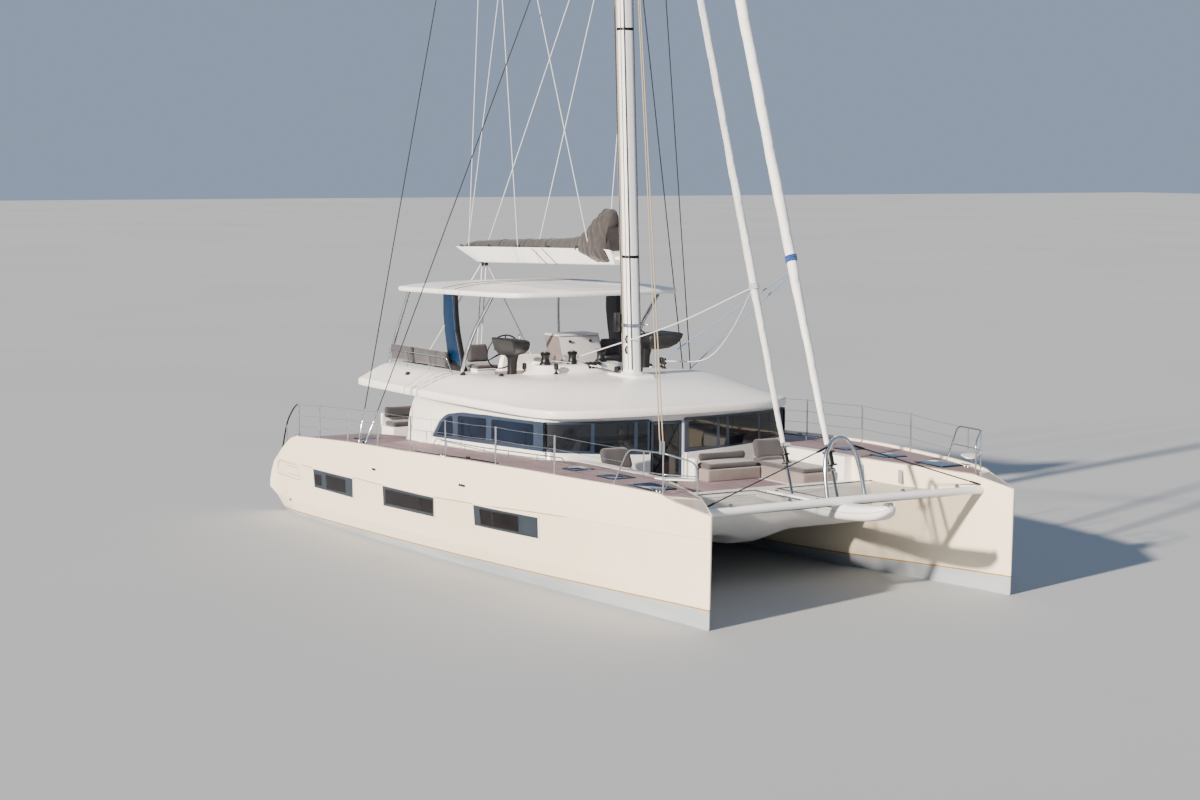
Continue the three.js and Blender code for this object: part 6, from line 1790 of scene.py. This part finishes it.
# %% Crossbeam, arch and bowsprit
BEAM = np.array([8.95, 0, 2.20])
beam_y = np.r_[-3.88, -3.86, np.linspace(-3.8, 3.8, 39), 3.86, 3.88]
beam_line = np.stack([0 * beam_y + BEAM[0], beam_y, BEAM[2] + .03 * (1 - (beam_y / 3.9) ** 2)], axis=1)
beam_radius = np.r_[.06, .084, np.full(39, .086), .084, .06]
piece("crossbeam_tube", tube(beam_line, beam_radius, 28, ends=False), painted, slot="painted_aluminium",
      stands_for="crossbeam", sharp=45)
collars = [turned([(.080, -.04), (.092, -.04), (.095, -.03), (.095, .03), (.092, .04), (.080, .04)],
                  (8.95, y, z), "y", 32)
           for y, z in ((-3.74, 2.202), (3.74, 2.202))]
brackets = [block(8.86, 9.04, y - .045, y + .045, 2.02, 2.12, .03, .01) for y in (-3.76, 3.76)]
piece("crossbeam_collars", collars + brackets, dark_steel)
padeyes = [turned([(.018, -.02), (.045, -.02), (.045, .02), (.018, .02), (.018, -.02)], (8.95, y, 2.325),
                  "y", 20)
           for y in (-2.9, -1.45, 1.45, 2.9)]
padeyes += [block(8.91, 8.99, y - .03, y + .03, 2.29, 2.302, .01, .004) for y in (-2.9, -1.45, 1.45, 2.9)]
piece("crossbeam_padeyes", padeyes, steel)

arch_half = [(8.93, .48, 2.24), (8.85, .47, 2.55), (8.77, .44, 2.88), (8.70, .36, 3.20), (8.66, .21, 3.42),
             (8.65, .07, 3.485)]
arch_line = spline(arch_half + [(x, -y, z) for x, y, z in arch_half[::-1]], 8)
piece("striker_arch_tube", [tube(arch_line, .045, 18)], steel, stands_for="striker_arch")
stay_top, stay_foot = np.array([8.68, .30, 3.33]), np.array([8.95, 3.66, 2.28])
stay = tube([stay_top, stay_foot], .015, 8)
ends = [tube([stay_top, stay_top + (stay_foot - stay_top) * .09], .024, 10),
        tube([stay_foot, stay_foot + (stay_top - stay_foot) * .11], .022, 10),
        block(8.925, 8.975, 3.60, 3.72, 2.22, 2.31, .015, .006)]
piece("striker_stays", [stay, mirrored(stay)], wire)
piece("striker_stay_ends", ends + [mirrored(s) for s in ends], dark_steel)

SPRIT_X = np.array([6.02, 6.5, 7.4, 8.2, 8.55, 9.0, 9.6, 10.05, 10.30, 10.41])
SPRIT_TOP = np.array([2.11, 2.11, 2.12, 2.135, 2.16, 2.17, 2.22, 2.27, 2.29, 2.27])
SPRIT_LOW = np.array([1.90, 1.88, 1.86, 1.82, 1.81, 1.83, 1.88, 1.95, 2.05, 2.15])
SPRIT_HALF = np.array([.25, .25, .25, .25, .21, .235, .275, .265, .20, .09])
x = np.linspace(6.02, 10.41, 70)
high, low, half = fair(x, SPRIT_X, SPRIT_TOP), fair(x, SPRIT_X, SPRIT_LOW), fair(x, SPRIT_X, SPRIT_HALF)
turn = circle(40)
rings = np.stack([np.broadcast_to(x[:, None], (70, 40)), half[:, None] * lobe(np.cos(turn), .62),
                  ((high + low) / 2)[:, None] + ((high - low) / 2)[:, None] * lobe(np.sin(turn), .7)],
                  axis=-1)
tip = rings[-1:] * [1, .5, 1] + [.018, 0, 0]
tip[..., 2] = 2.21 + (rings[-1:, :, 2] - 2.21) * .5
piece("bowsprit_moulding", loft(np.concatenate([rings, tip])), white, slot="white_gelcoat",
      stands_for="bowsprit", sharp=45)
seam_line = [np.stack([x[22:], s * (half[22:] * .999 + .001), (high + low)[22:] / 2 + .012], axis=1)
             for s in (-1, 1)]
piece("bowsprit_fender_seam", [tube(line, .004, 6) for line in seam_line], seam_dark)
roller = [turned([(0, -.05), (.05, -.05), (.035, 0), (.05, .05), (0, .05)], (10.33, 0, 2.31), "y", 20),
          slab([(10.22, 2.25), (10.40, 2.25), (10.38, 2.35), (10.25, 2.34)], -.068, -.056, .002, "xz", .02),
          slab([(10.22, 2.25), (10.40, 2.25), (10.38, 2.35), (10.25, 2.34)], .056, .068, .002, "xz", .02)]
piece("bow_roller", roller, steel)
lid = block(6.3, 8.1, -.17, .17, 2.10, 2.13, .05, .008)
piece("bowsprit_chain_lid", sheared(lid, 2, 0, .008, 7.2), white)
piece("chain_lid_catches", [block(x0, x0 + .05, -.03, .03, 2.125, 2.146, .01, .004) for x0 in (6.42, 7.9)],
      black)
print("crossbeam", 2 * .086, "m thick, arch top", round(float(arch_line[:, 2].max()), 2))

# %% [markdown]
# Two nets fill the space between the beam, the hulls, the bowsprit and the cockpit's front. A net hangs a
# little slack, so its middle is 5 cm lower than its edge. A cord laced back and forth holds it: one zigzag
# from the hem to a rail all round. The hem is a webbing folded round the edge.

# %% Nets
NET = np.array([(6.05, .31), (8.765, .30), (8.765, 3.62), (6.05, 3.22)])


def net_point(u, v):
    """A point of the net: u from the cockpit to the beam, v from the bowsprit to the hull, both 0 to 1."""
    shares = ((1 - u) * (1 - v), u * (1 - v), u * v, (1 - u) * v)
    plan = sum(share[..., None] * corner for share, corner in zip(shares, NET))
    sag = 0.05 * (16 * u * (1 - u) * v * (1 - v)) ** .8
    return np.concatenate([plan, (2.105 - sag)[..., None]], axis=-1)


def net_edge(count):
    """Points round the net's edge, in order."""
    t, zero = np.linspace(0, 1, count, endpoint=False), np.zeros(count)
    return np.concatenate([net_point(t, zero), net_point(zero + 1, t), net_point(1 - t, zero + 1),
                           net_point(zero, 1 - t)])


u, v = np.meshgrid(np.linspace(0, 1, 49), np.linspace(0, 1, 57), indexing="ij")
edge = net_edge(24)
hems = tube(np.vstack([edge, edge[:1]]), .014, 8)
lace_out = grown(edge[:, :2], .055)
lace = np.empty((2 * len(edge), 3))
lace[0::2], lace[1::2] = edge, np.column_stack([lace_out, np.full(len(edge), 2.118)])
aft_rows = lace[:, 0] < 6.04
lace[aft_rows, 0] = 6.04
for side, flip in SIDES.items():
    hem = piece(f"{side}_net_hem", flip(hems), rope_black)
    laced = piece(f"{side}_net_lacing", flip(tube(lace, .007, 6)), rope_black)
    sheet = piece(f"{side}_net_sheet", flip(grid(net_point(u, v))), netting, stands_for=f"{side}_net",
                  closed=False)

# %% [markdown]
# A guard rail of three wires on stanchions runs round each side deck. Its ends are bent tube: the pushpit
# that follows the stern's curve down, and the pulpit round the bow, with a little corner seat in it.

# %% Guard rails
STANCHIONS = {"starboard": [-7.66, -6.31, -4.66, -3.0, -1.25, .47, 2.71, 4.92],
              "port": [-7.66, -6.31, -4.66, -3.0, -1.25, .85, 3.16, 5.25]}
RAIL_HEIGHT, RAIL_INSET = 0.82, 0.12


def rail_at(x, height):
    """A point over the deck edge, a little inboard of it, and height above it."""
    x = np.asarray(x, float)
    return np.stack([x, row_at(x, 2) - RAIL_INSET, deck_edge(x) + height], axis=-1)


leg = np.array([(6.83, 4.37, 2.58), (7.28, 4.28, 3.37), (8.29, 4.09, 3.39), (8.73, 3.58, 3.20),
                (8.76, 3.57, 2.50)])
middle_rail = np.array([leg[0] + (leg[1] - leg[0]) * .47, (8.28, 4.09, 2.96), (8.735, 3.575, 2.93)])
pushpit = np.array([rail_at(-7.66, RAIL_HEIGHT), (-7.92, 4.79, 2.905), (-8.20, 4.78, 2.73),
                    (-8.58, 4.76, 2.36), (-8.94, 4.755, 1.56)])
for side, flip in SIDES.items():
    xs = STANCHIONS[side]
    posts = [tube([rail_at(x, -.07), rail_at(x, RAIL_HEIGHT + .015)], .019, 12) for x in xs]
    posts += [bent(leg, .16, .017), tube([(8.29, 4.09, 2.50), leg[2]], .0155, 12),
              bent(middle_rail, .12, .012),
              tube([(7.74, 4.20, 2.90), (7.74, 4.20, 3.375)], .0125, 10),
              tube([(-8.58, 4.76, 1.70), (-8.58, 4.76, 2.34)], .0155, 12)]
    posts += [turned([(0, 0), (.045, 0), (.045, .01), (.024, .02), (.022, .07), (0, .07)], (x, y, z),
                     sides=18)
              for x, y, z in [rail_at(x, -.035) for x in xs]]
    posts += [turned([(0, 0), (.05, 0), (.05, .01), (.024, .02), (0, .02)], (x, y, z), sides=18)
              for x, y, z in ((8.29, 4.09, 2.51), (8.76, 3.57, 2.49), (6.83, 4.37, 2.57))]
    piece(f"{side}_stanchions", [flip(s) for s in posts], steel, slot="stainless_steel",
          stands_for=f"{side}_guard_rail")
    piece(f"{side}_pushpit_tube", flip(tube(spline(pushpit, 8), .019, 12)), dark_steel)
    wires = []
    for share_up, last in ((1.0, leg[1]), (.66, leg[0] + (leg[1] - leg[0]) * .66),
                           (.33, leg[0] + (leg[1] - leg[0]) * .3)):
        points = [rail_at(x, RAIL_HEIGHT * share_up) for x in xs] + [last]
        runs = [np.linspace(a, b, 7) - [0, 0, .012] * (np.sin(np.linspace(0, np.pi, 7)) ** 2)[:, None]
                for a, b in zip(points, points[1:])]
        wires.append(tube(np.concatenate([r[:-1] for r in runs] + [points[-1:]]), .0048, 6))
    piece(f"{side}_guard_wires", [flip(s) for s in wires], steel)
    seat = slab([(7.92, 4.10), (8.27, 4.05), (8.70, 3.60), (8.62, 3.42), (8.05, 3.72)], 2.835, 2.865, .012,
                corner=.09)
    brace = [tube([(8.30, 4.06, 2.82), (8.3, 3.75, 2.82)], .01, 8),
             tube([(8.06, 3.78, 2.83), (8.29, 4.07, 2.62)], .01, 8)]
    piece(f"{side}_pulpit_seat", flip(seat), white)
    piece(f"{side}_pulpit_seat_braces", [flip(s) for s in brace], steel)
print("stanchions a side", len(xs), "height", RAIL_HEIGHT)

# %% [markdown]
# On the side decks: a long genoa track, a low hand rail beside the saloon, and horned mooring cleats. Two
# oval pads show on the port hull's inner wall, where the net's rail is bolted.

# %% Deck fittings
def cleat(x, y, z, along=1.0):
    """A horned cleat: two stubby feet under a bar that thins and rises towards both ends."""
    run = np.linspace(-.17, .17, 17)
    bar = np.stack([x + run * along, 0 * run + y, z + .062 + .25 * run ** 2 * 1.2], axis=1)
    horn = tube(bar, .016 * (1 - .45 * np.abs(run / .17) ** 2), 10)
    feet = [turned([(0, -.01), (.03, -.01), (.026, 0), (.014, .02), (.014, .06), (0, .06)], (x + d, y, z),
                   sides=14)
            for d in (-.06, .06)]
    return [horn] + feet


cleats = []
for x in (-8.05, .05, 7.95):
    y = float(row_at(x, 2)) - (.26 if x < 7 else .30)
    cleats += cleat(x, y, float(deck_z(x, 4.5)) + .004)
both("mooring_cleats", cleats, steel)
x = np.linspace(-1.6, 2.3, 40)
y = row_at(x, 2) - .42
base = np.stack([x, y, deck_z(x, y) + .012], axis=1)
section = [(-.018, -.012), (-.018, .012), (.018, .012), (.018, -.012)]
both("genoa_track", loft(np.stack([base + [0, dy, dz] for dy, dz in section], axis=1)), dark_steel)
cars = []
for a in (-.2, .9):
    car_y, car_z = float(np.interp(a, x, y)), float(np.interp(a, x, base[:, 2]))
    cars.append(block(a, a + .13, car_y - .03, car_y + .03, car_z, car_z + .05, .015, .01))
both("track_cars", cars, black)
x = np.linspace(-2.9, 3.6, 30)
rail_y = 3.47 + .30 * np.clip((x + 2.9) / 3.0, 0, 1) - .25 * np.clip((x - 1.0) / 2.6, 0, 1) ** 1.5
rail_line = np.stack([x, rail_y, deck_z(x, rail_y) + .16], axis=1)
rail_line[[0, -1], 2] -= .17
stubs = [tube([rail_line[k] - [0, 0, .17], rail_line[k]], .011, 10) for k in range(4, 28, 5)]
both("low_hand_rail", [tube(rail_line, .013, 10)] + stubs, steel)
fittings = []
for x in (5.75, 6.96):
    y = float(row_at(x, 1))
    fittings.append(slab(oblong(x - .06, x + .06, 2.14, 2.44), y - .02, y + .01, .006, "xz", .03))
wall_grey = plastic("grey_wall_fitting", ("9a9ca1", "8c8f95"), .4)
both("inner_wall_fittings", fittings, wall_grey)
print("deck fittings", len(cleats), len(cars), len(stubs), len(fittings))

# %% [markdown]
# The forward cockpit has a sun lounge on each side, with a rounded backrest at its aft end and a bolster
# at its foot. On the port side the seat turns the corner to the door. The bases are covered in taupe
# cloth, and a white upright closes the corner seat's end by the door.

# %% Forward cockpit seats
lounge_base = [block(2.99, 5.19, 1.61, 2.575, 1.955, 2.215, .07, .03),
               block(3.03, 5.15, 1.64, 2.55, 2.21, 2.225, .05, .006)]
corner_base = [block(2.99, 3.60, .13, 1.60, 1.955, 2.225, .06, .03)]
both("lounge_base", lounge_base, taupe, slot="cushion_fabric", stands_for="*_forward_lounge")
for side, flip in SIDES.items():
    high = .04 if side == "starboard" else 0
    shell = block(3.32, 5.16, 1.635, 2.54, 2.232, 2.315, .08, .035)
    cushion(f"{side}_lounge_pad", flip(shell), rest=2.230, give=.018)
    shell = slab([(1.64, 2.34), (2.46, 2.34), (2.43, 2.80 + high), (1.67, 2.80 + high)], 3.21, 3.345, .045,
                 "yz", .15)
    cushion(f"{side}_lounge_backrest", flip(sheared(shell, 0, 2, -.40, 2.34)), give=.02)
    shell = slab([(1.67, 2.25), (2.40, 2.25), (2.38, 2.385), (1.69, 2.385)], 3.10, 3.40, .045, "yz", .05)
    cushion(f"{side}_lounge_bolster", flip(shell), rest=2.232, give=.018)
piece("corner_seat_base", corner_base, taupe)
piece("corner_seat_end", block(2.99, 3.24, -.02, .115, 1.955, 2.46, .05, .03), white)
cushion("corner_seat_pad", block(3.03, 3.56, .17, 1.57, 2.232, 2.335, .08, .035), rest=2.230, give=.018)
cushion("corner_seat_back",
        sheared(slab(oblong(.22, 1.50, 2.37, 2.56), 3.03, 3.13, .04, "yz", .08), 0, 2, -.1, 2.37), give=.016)

# %% [markdown]
# Aft, a sofa runs across the cockpit, with three seat pads and three backs, and an oak table stands ahead
# of it on two legs. Inside, behind the dark glass, are an L-shaped sofa and the galley island. Their
# fabric is a pale linen, and the island is oak with a light counter.

# %% Aft cockpit and saloon
linen = woven("pale_saloon_linen", ("cfc8bb", "bfb7a8"), 0.008)
piece("aft_sofa_base",
      [block(-8.14, -7.46, -2.29, 2.29, 1.955, 2.235, .06, .025),
       block(-8.20, -8.10, -2.28, 2.28, 2.20, 2.56, .04, .03)],
      white, slot="white_gelcoat", stands_for="aft_cockpit_sofa")
for number, y in enumerate((-1.52, 0, 1.52), 1):
    cushion(f"aft_seat_pad_{number}", block(-8.02, -7.475, y - .745, y + .745, 2.242, 2.355, .08, .035),
            rest=2.240, give=.018)
    shell = slab([(y - .735, 2.42), (y + .735, 2.42), (y + .72, 2.735), (y - .72, 2.735)], -8.075, -7.975,
                 .04, "yz", .09)
    cushion(f"aft_back_pad_{number}", sheared(shell, 0, 2, -.12, 2.4), give=.018)
piece("aft_table_top", block(-6.6, -5.4, -.50, .90, 2.64, 2.68, .10, .012), wood, slot="oak",
      stands_for="aft_cockpit_table")
legs = [turned([(0, 0), (.16, 0), (.16, .012), (.05, .03), (.045, .05), (.045, .66), (.07, .685), (0, .685)],
               (-6.0, y, SOLE + .005), sides=24)
        for y in (-.12, .52)]
piece("aft_table_legs", legs, steel)
piece("aft_table_fiddle", bent([(-6.50, -.40, 2.685), (-6.50, .80, 2.685)], .02, .008), steel)

sofa_base = [block(-2.59, .89, 1.96, 2.65, 1.955, 2.25, .05, .02),
             block(.16, .89, .91, 2.0, 1.955, 2.25, .05, .02)]
piece("saloon_sofa_base", sofa_base, wood, slot="oak", stands_for="saloon_sofa")
for number, (x0, x1) in enumerate(((-2.58, -1.46), (-1.44, -.32), (-.30, .88)), 1):
    cushion(f"saloon_seat_pad_{number}", block(x0 + .02, x1 - .02, 1.97, 2.45, 2.257, 2.36, .07, .035),
            linen, rest=2.255, give=.016)
    shell = slab([(x0 + .02, 2.40), (x1 - .02, 2.40), (x1 - .03, 2.745), (x0 + .03, 2.745)], 2.49, 2.60, .04,
                 "xz", .09)
    cushion(f"saloon_back_pad_{number}", sheared(shell, 1, 2, .10, 2.4), linen, give=.018)
cushion("saloon_return_pad", block(.19, .87, .93, 1.94, 2.257, 2.36, .07, .035), linen, rest=2.255,
        give=.016)
piece("galley_island_body", block(-2.39, -.31, -1.89, -1.26, 1.955, 2.83, .04, .01), wood, slot="oak",
      stands_for="galley_island")
piece("galley_counter", [block(-2.40, -.30, -1.90, -1.25, 2.83, 2.88, .05, .012)], white)
drawers = [slab(oblong(x0 + .02, x0 + .50, z0, z0 + .25), y - .004, y + .004, .002, "xz", .015)
           for x0 in (-2.38, -1.86, -1.34, -.82) for z0 in (2.02, 2.29, 2.56) for y in (-1.892, -1.258)]
piece("galley_drawer_fronts", drawers, wood)
print("cushions", len(blown))

# %% [markdown]
# Now every cushion is blown up in one run. The cloth has pressure inside and no gravity. Each point's
# travel is measured from where it started and limited by a smooth curve, so small swellings stay as they
# are and large ones level off. Resting sides are pressed flat at the seat's height.

# %% Cloth run
scene = bpy.context.scene
starts = {}
for made, rest, give, welt in blown:
    co = np.empty(len(made.data.vertices) * 3, np.float32)
    made.data.vertices.foreach_get("co", co)
    starts[made.name] = co.reshape(-1, 3)
for made, rest, give, welt in blown:
    stuffing = made.modifiers.new("stuffing", "CLOTH")
    stuffing.settings.quality, stuffing.settings.mass = 4, 0.3
    stuffing.settings.use_pressure, stuffing.settings.uniform_pressure_force = True, 4.0
    stuffing.settings.effector_weights.gravity = 0.0
    stuffing.collision_settings.use_collision = False
for moment in range(1, 21):
    scene.frame_set(moment)
depsgraph = bpy.context.evaluated_depsgraph_get()
swelling = []
for made, rest, give, welt in blown:
    after = np.empty_like(starts[made.name]).ravel()
    made.evaluated_get(depsgraph).data.vertices.foreach_get("co", after)
    travel = after.reshape(-1, 3) - starts[made.name]
    length = np.maximum(np.linalg.norm(travel, axis=1, keepdims=True), 1e-9)
    now = starts[made.name] + travel / length * give * np.tanh(length / give)
    if rest is not None:
        now[:, 2] = np.maximum(now[:, 2], rest)
    swelling.append(float(np.linalg.norm(now - starts[made.name], axis=1).max()))
    starts[made.name] = now
for made, rest, give, welt in blown:
    made.modifiers.clear()
    made.data.vertices.foreach_set("co", starts[made.name].astype(np.float32).ravel())
    made.data.update()
scene.frame_set(1)
print("swelling", round(min(swelling) * 1000), "to", round(max(swelling) * 1000), "mm")
for made, rest, give, welt in blown:
    finer = made.modifiers.new("finer", "SUBSURF")
    finer.levels = finer.render_levels = 1

# %% [markdown]
# Under water, and behind the stern, are the parts that steer and drive the boat. The blades have a foil
# section, thickest a third of the way back. The two propellers are bronze with four twisted blades, and
# each turns with its own joint, as the rudders do. A keel's top is hidden in the hull.

# %% Keels and rudders
def foil(chord_lines, thickness, samples=24):
    """A blade lofted through (leading x, trailing x, y, z) rows. Its section is that of a symmetrical
    foil: half thickness = t * c * (1.48 r^.5 - .63 r - 1.76 r^2 + 1.42 r^3 - .52 r^4), r from 0 to 1."""
    r = (1 - np.cos(np.linspace(0, np.pi, samples))) / 2
    half = 1.4845 * np.sqrt(r) - .63 * r - 1.758 * r ** 2 + 1.4215 * r ** 3 - .518 * r ** 4
    rings = []
    for lead, trail, y, z in chord_lines:
        x = lead + (trail - lead) * r
        off = half * abs(trail - lead) * thickness + .001
        rings.append(np.column_stack([np.r_[x, x[::-1]], np.r_[y + off, (y - off)[::-1]],
                                      np.full(2 * samples, z)]))
    return loft(np.stack(rings))


antifouling = plastic("grey_antifouling_paint", ("8d959d", "79828b"), .65)
KEEL = [(1.62, -1.02, -1.550), (1.78, -1.14, -1.520), (1.90, -1.20, -1.42), (2.02, -1.42, -1.10),
        (2.22, -1.75, -.70), (2.30, -1.80, -.50)]
BLADE = [(-8.16, -8.60, -1.480), (-8.13, -8.63, -1.465), (-8.10, -8.66, -1.40), (-8.04, -8.70, -1.0),
         (-8.00, -8.73, -.60), (-7.99, -8.73, -.525)]
keel_fin = foil([(lead, trail, 3.69, z) for lead, trail, z in KEEL], .095)
rudder_blade = foil([(lead, trail, 3.72, z) for lead, trail, z in BLADE], .16)
stock = tube([(-8.30, 3.72, -.60), (-8.30, 3.72, .22)], .058, 20)
both("keel_fin", keel_fin, antifouling, slot="antifouling", stands_for="*_keel", sharp=50)
both("rudder_blade", rudder_blade, antifouling, "*_rudder", slot="antifouling", stands_for="*_rudder",
     sharp=50)
both("rudder_stock", stock, steel, "*_rudder")

# %% [markdown]
# A propeller is laid out along its shaft, which slopes down aft by 8 degrees. A blade is a grid of radius
# and chord: the chord widens to two thirds of the radius and closes at the tip, and the section turns
# from steep at the hub to flat at the tip, because every part of it climbs the same pitch in one turn.

# %% Propellers
SCREW, SLOPE, SCREW_RADIUS, PITCH = np.array([-6.95, 3.70, -.98]), math.radians(8), .300, .46
line_ahead = np.array([math.cos(SLOPE), 0, math.sin(SLOPE)])
line_side, line_up = np.array([0.0, 1, 0]), np.array([-math.sin(SLOPE), 0, math.cos(SLOPE)])


def on_shaft(ahead, across, upward):
    """A point by distance ahead along the shaft, across it to port and up from it."""
    return (SCREW + ahead[..., None] * line_ahead + across[..., None] * line_side
            + upward[..., None] * line_up)


def screw_blade(start):
    """One blade: chord c(r), pitch angle atan(pitch / 2 pi r), thickness falling from 22 mm to 4 mm."""
    r, around = np.meshgrid(np.linspace(.035, SCREW_RADIUS, 22), circle(24), indexing="ij")
    share_out = (r - .035) / (SCREW_RADIUS - .035)
    chord = .085 * np.sqrt(np.clip(1 - ((share_out - .55) / .62) ** 2, .02, 1)) * (1 - .75 * share_out ** 9)
    thickness = .011 - .009 * share_out
    along, off = chord * np.cos(around), thickness * np.sin(around)
    steep = np.arctan(PITCH / (2 * np.pi * r))
    turn = start + (along * np.cos(steep) - off * np.sin(steep)) / r
    return loft(on_shaft(along * np.sin(steep) + off * np.cos(steep) - .02, r * np.cos(turn),
                         r * np.sin(turn)))


def on_line(profile, sides=28):
    """A profile of (radius, distance ahead) pairs turned round the shaft."""
    profile = np.asarray(profile, float)
    turn = circle(sides)[None, :]
    ahead = np.broadcast_to(profile[:, 1:], (len(profile), sides))
    return loft(on_shaft(ahead, profile[:, :1] * np.cos(turn), profile[:, :1] * np.sin(turn)))


blades = [screw_blade(k * np.pi / 2) for k in range(4)]
hub = on_line([(0, -.150), (.028, -.148), (.046, -.12), (.060, -.04), (.064, .06), (.050, .09), (0, .09)])
shaft_rod = on_line([(0, .05), (.028, .05), (.028, 2.60), (0, 2.60)], 20)
barrel = on_line([(.034, .110), (.050, .110), (.057, .12), (.058, .28), (.050, .290), (.034, .290),
                  (.034, .110)])
strut = foil([(-6.695, -6.83, 3.70, z) for z in (-.93, -.70, -.45)], .22)
both("propeller_blades", blades + [hub], bronze, "*_propeller", slot="bronze", stands_for="*_propeller",
     sharp=50)
both("propeller_shaft", shaft_rod, steel, "*_propeller")
both("shaft_strut", [barrel, strut], bronze, slot="bronze", stands_for="*_shaft_bracket", sharp=40)
print("propellers", 2 * SCREW_RADIUS, "m across")

# %% [markdown]
# The tender platform spans the gap between the sterns. It is a thin moulding with a rubbing strake and a
# planked top, carried by two steel arms that swing it down to the water. The platform hangs on an axle at
# the arms' ends; the arms and the axle are one body, and the platform is another.

# %% Tender platform
ARM_LINE = [(-7.55, .88), (-7.55, .98), (-8.69, .945), (-8.69, .855)]
arms = [slab(ARM_LINE, s * 1.70 - .04, s * 1.70 + .04, .008, "xz", .045) for s in (1, -1)]
arms += [tube([(-7.60, s * 1.57, .93), (-7.60, s * 1.83, .93)], .038, 20) for s in (1, -1)]
arms += [tube([(-8.64, -1.75, .90), (-8.64, 1.75, .90)], .028, 20)]
piece("platform_swing_arms", arms, steel, "platform_arms", slot="stainless_steel",
      stands_for="platform_arms")
cheek = [(-8.70, .848), (-8.58, .848), (-8.58, .95), (-8.695, 1.07), (-8.89, 1.01)]
platform = [slab(oblong(-9.56, -8.69, -2.45, 2.45), 1.000, 1.074, .014, corner=.10)]
platform += [slab(cheek, s * 1.5 - .03, s * 1.5 + .03, .006, "xz", .02) for s in (1, -1)]
piece("tender_platform_moulding", platform, white, "tender_platform", slot="gelcoat",
      stands_for="tender_platform")
piece("tender_platform_planks", block(-9.50, -8.75, -2.38, 2.38, 1.070, 1.080, .07, .003), teak,
      "tender_platform")
strake_line = [(x, y, 1.035)
               for x, y in ((-8.75, -2.447), (-9.557, -2.447), (-9.557, 2.447), (-8.75, 2.447))]
piece("tender_platform_strake", bent(strake_line, .10, .011, 8, 6), rubber, "tender_platform")
chocks = [slab([(x - .05, 1.078), (x + .05, 1.078), (x + .03, 1.115), (x - .03, 1.115)], y - .28, y + .28,
               .006, "xz", .01)
          for x in (-9.30, -8.95) for y in (-1.15, 1.15)]
piece("tender_chocks", chocks, rubber, "tender_platform")
print("platform", len(platform), "shells on", len(arms), "arm shells")

# %% [markdown]
# A plain pale floor stands for the water at z = 0, and the light is that of a studio: one large warm key
# from the starboard side, low enough to light the topsides fully, and an even cool fill all round.

# %% Floor and light
floor_mesh = bpy.data.meshes.new("floor")
floor_mesh.from_pydata([(-400, -400, 0), (400, -400, 0), (400, 400, 0), (-400, 400, 0)], [], [(0, 1, 2, 3)])
floor = bpy.data.objects.new("floor", floor_mesh)
bpy.context.scene.collection.objects.link(floor)
floor_mesh.materials.append(started("pale_studio_floor", ("a9aeb3", "a4a9ae"), 0.05, Roughness=0.85)[0])

KEY_AZIMUTH, KEY_ELEVATION = math.radians(16.5), math.radians(20.5)
key = bpy.data.objects.new("key", bpy.data.lights.new("key", "SUN"))
key.data.energy, key.data.angle, key.data.color = 12.0, math.radians(2), (1.0, 0.87, 0.72)
key_back = Vector((math.sin(KEY_AZIMUTH) * math.cos(KEY_ELEVATION),
                   -math.cos(KEY_AZIMUTH) * math.cos(KEY_ELEVATION),
                   math.sin(KEY_ELEVATION)))
key.rotation_mode = "QUATERNION"
key.rotation_quaternion = (-key_back).to_track_quat("-Z", "Y")
bpy.context.scene.collection.objects.link(key)
world = bpy.data.worlds.new("studio")
bpy.context.scene.world = world
world.use_nodes = True
world.node_tree.nodes["Background"].inputs["Color"].default_value = linear("b9cdea")
world.node_tree.nodes["Background"].inputs["Strength"].default_value = 0.60
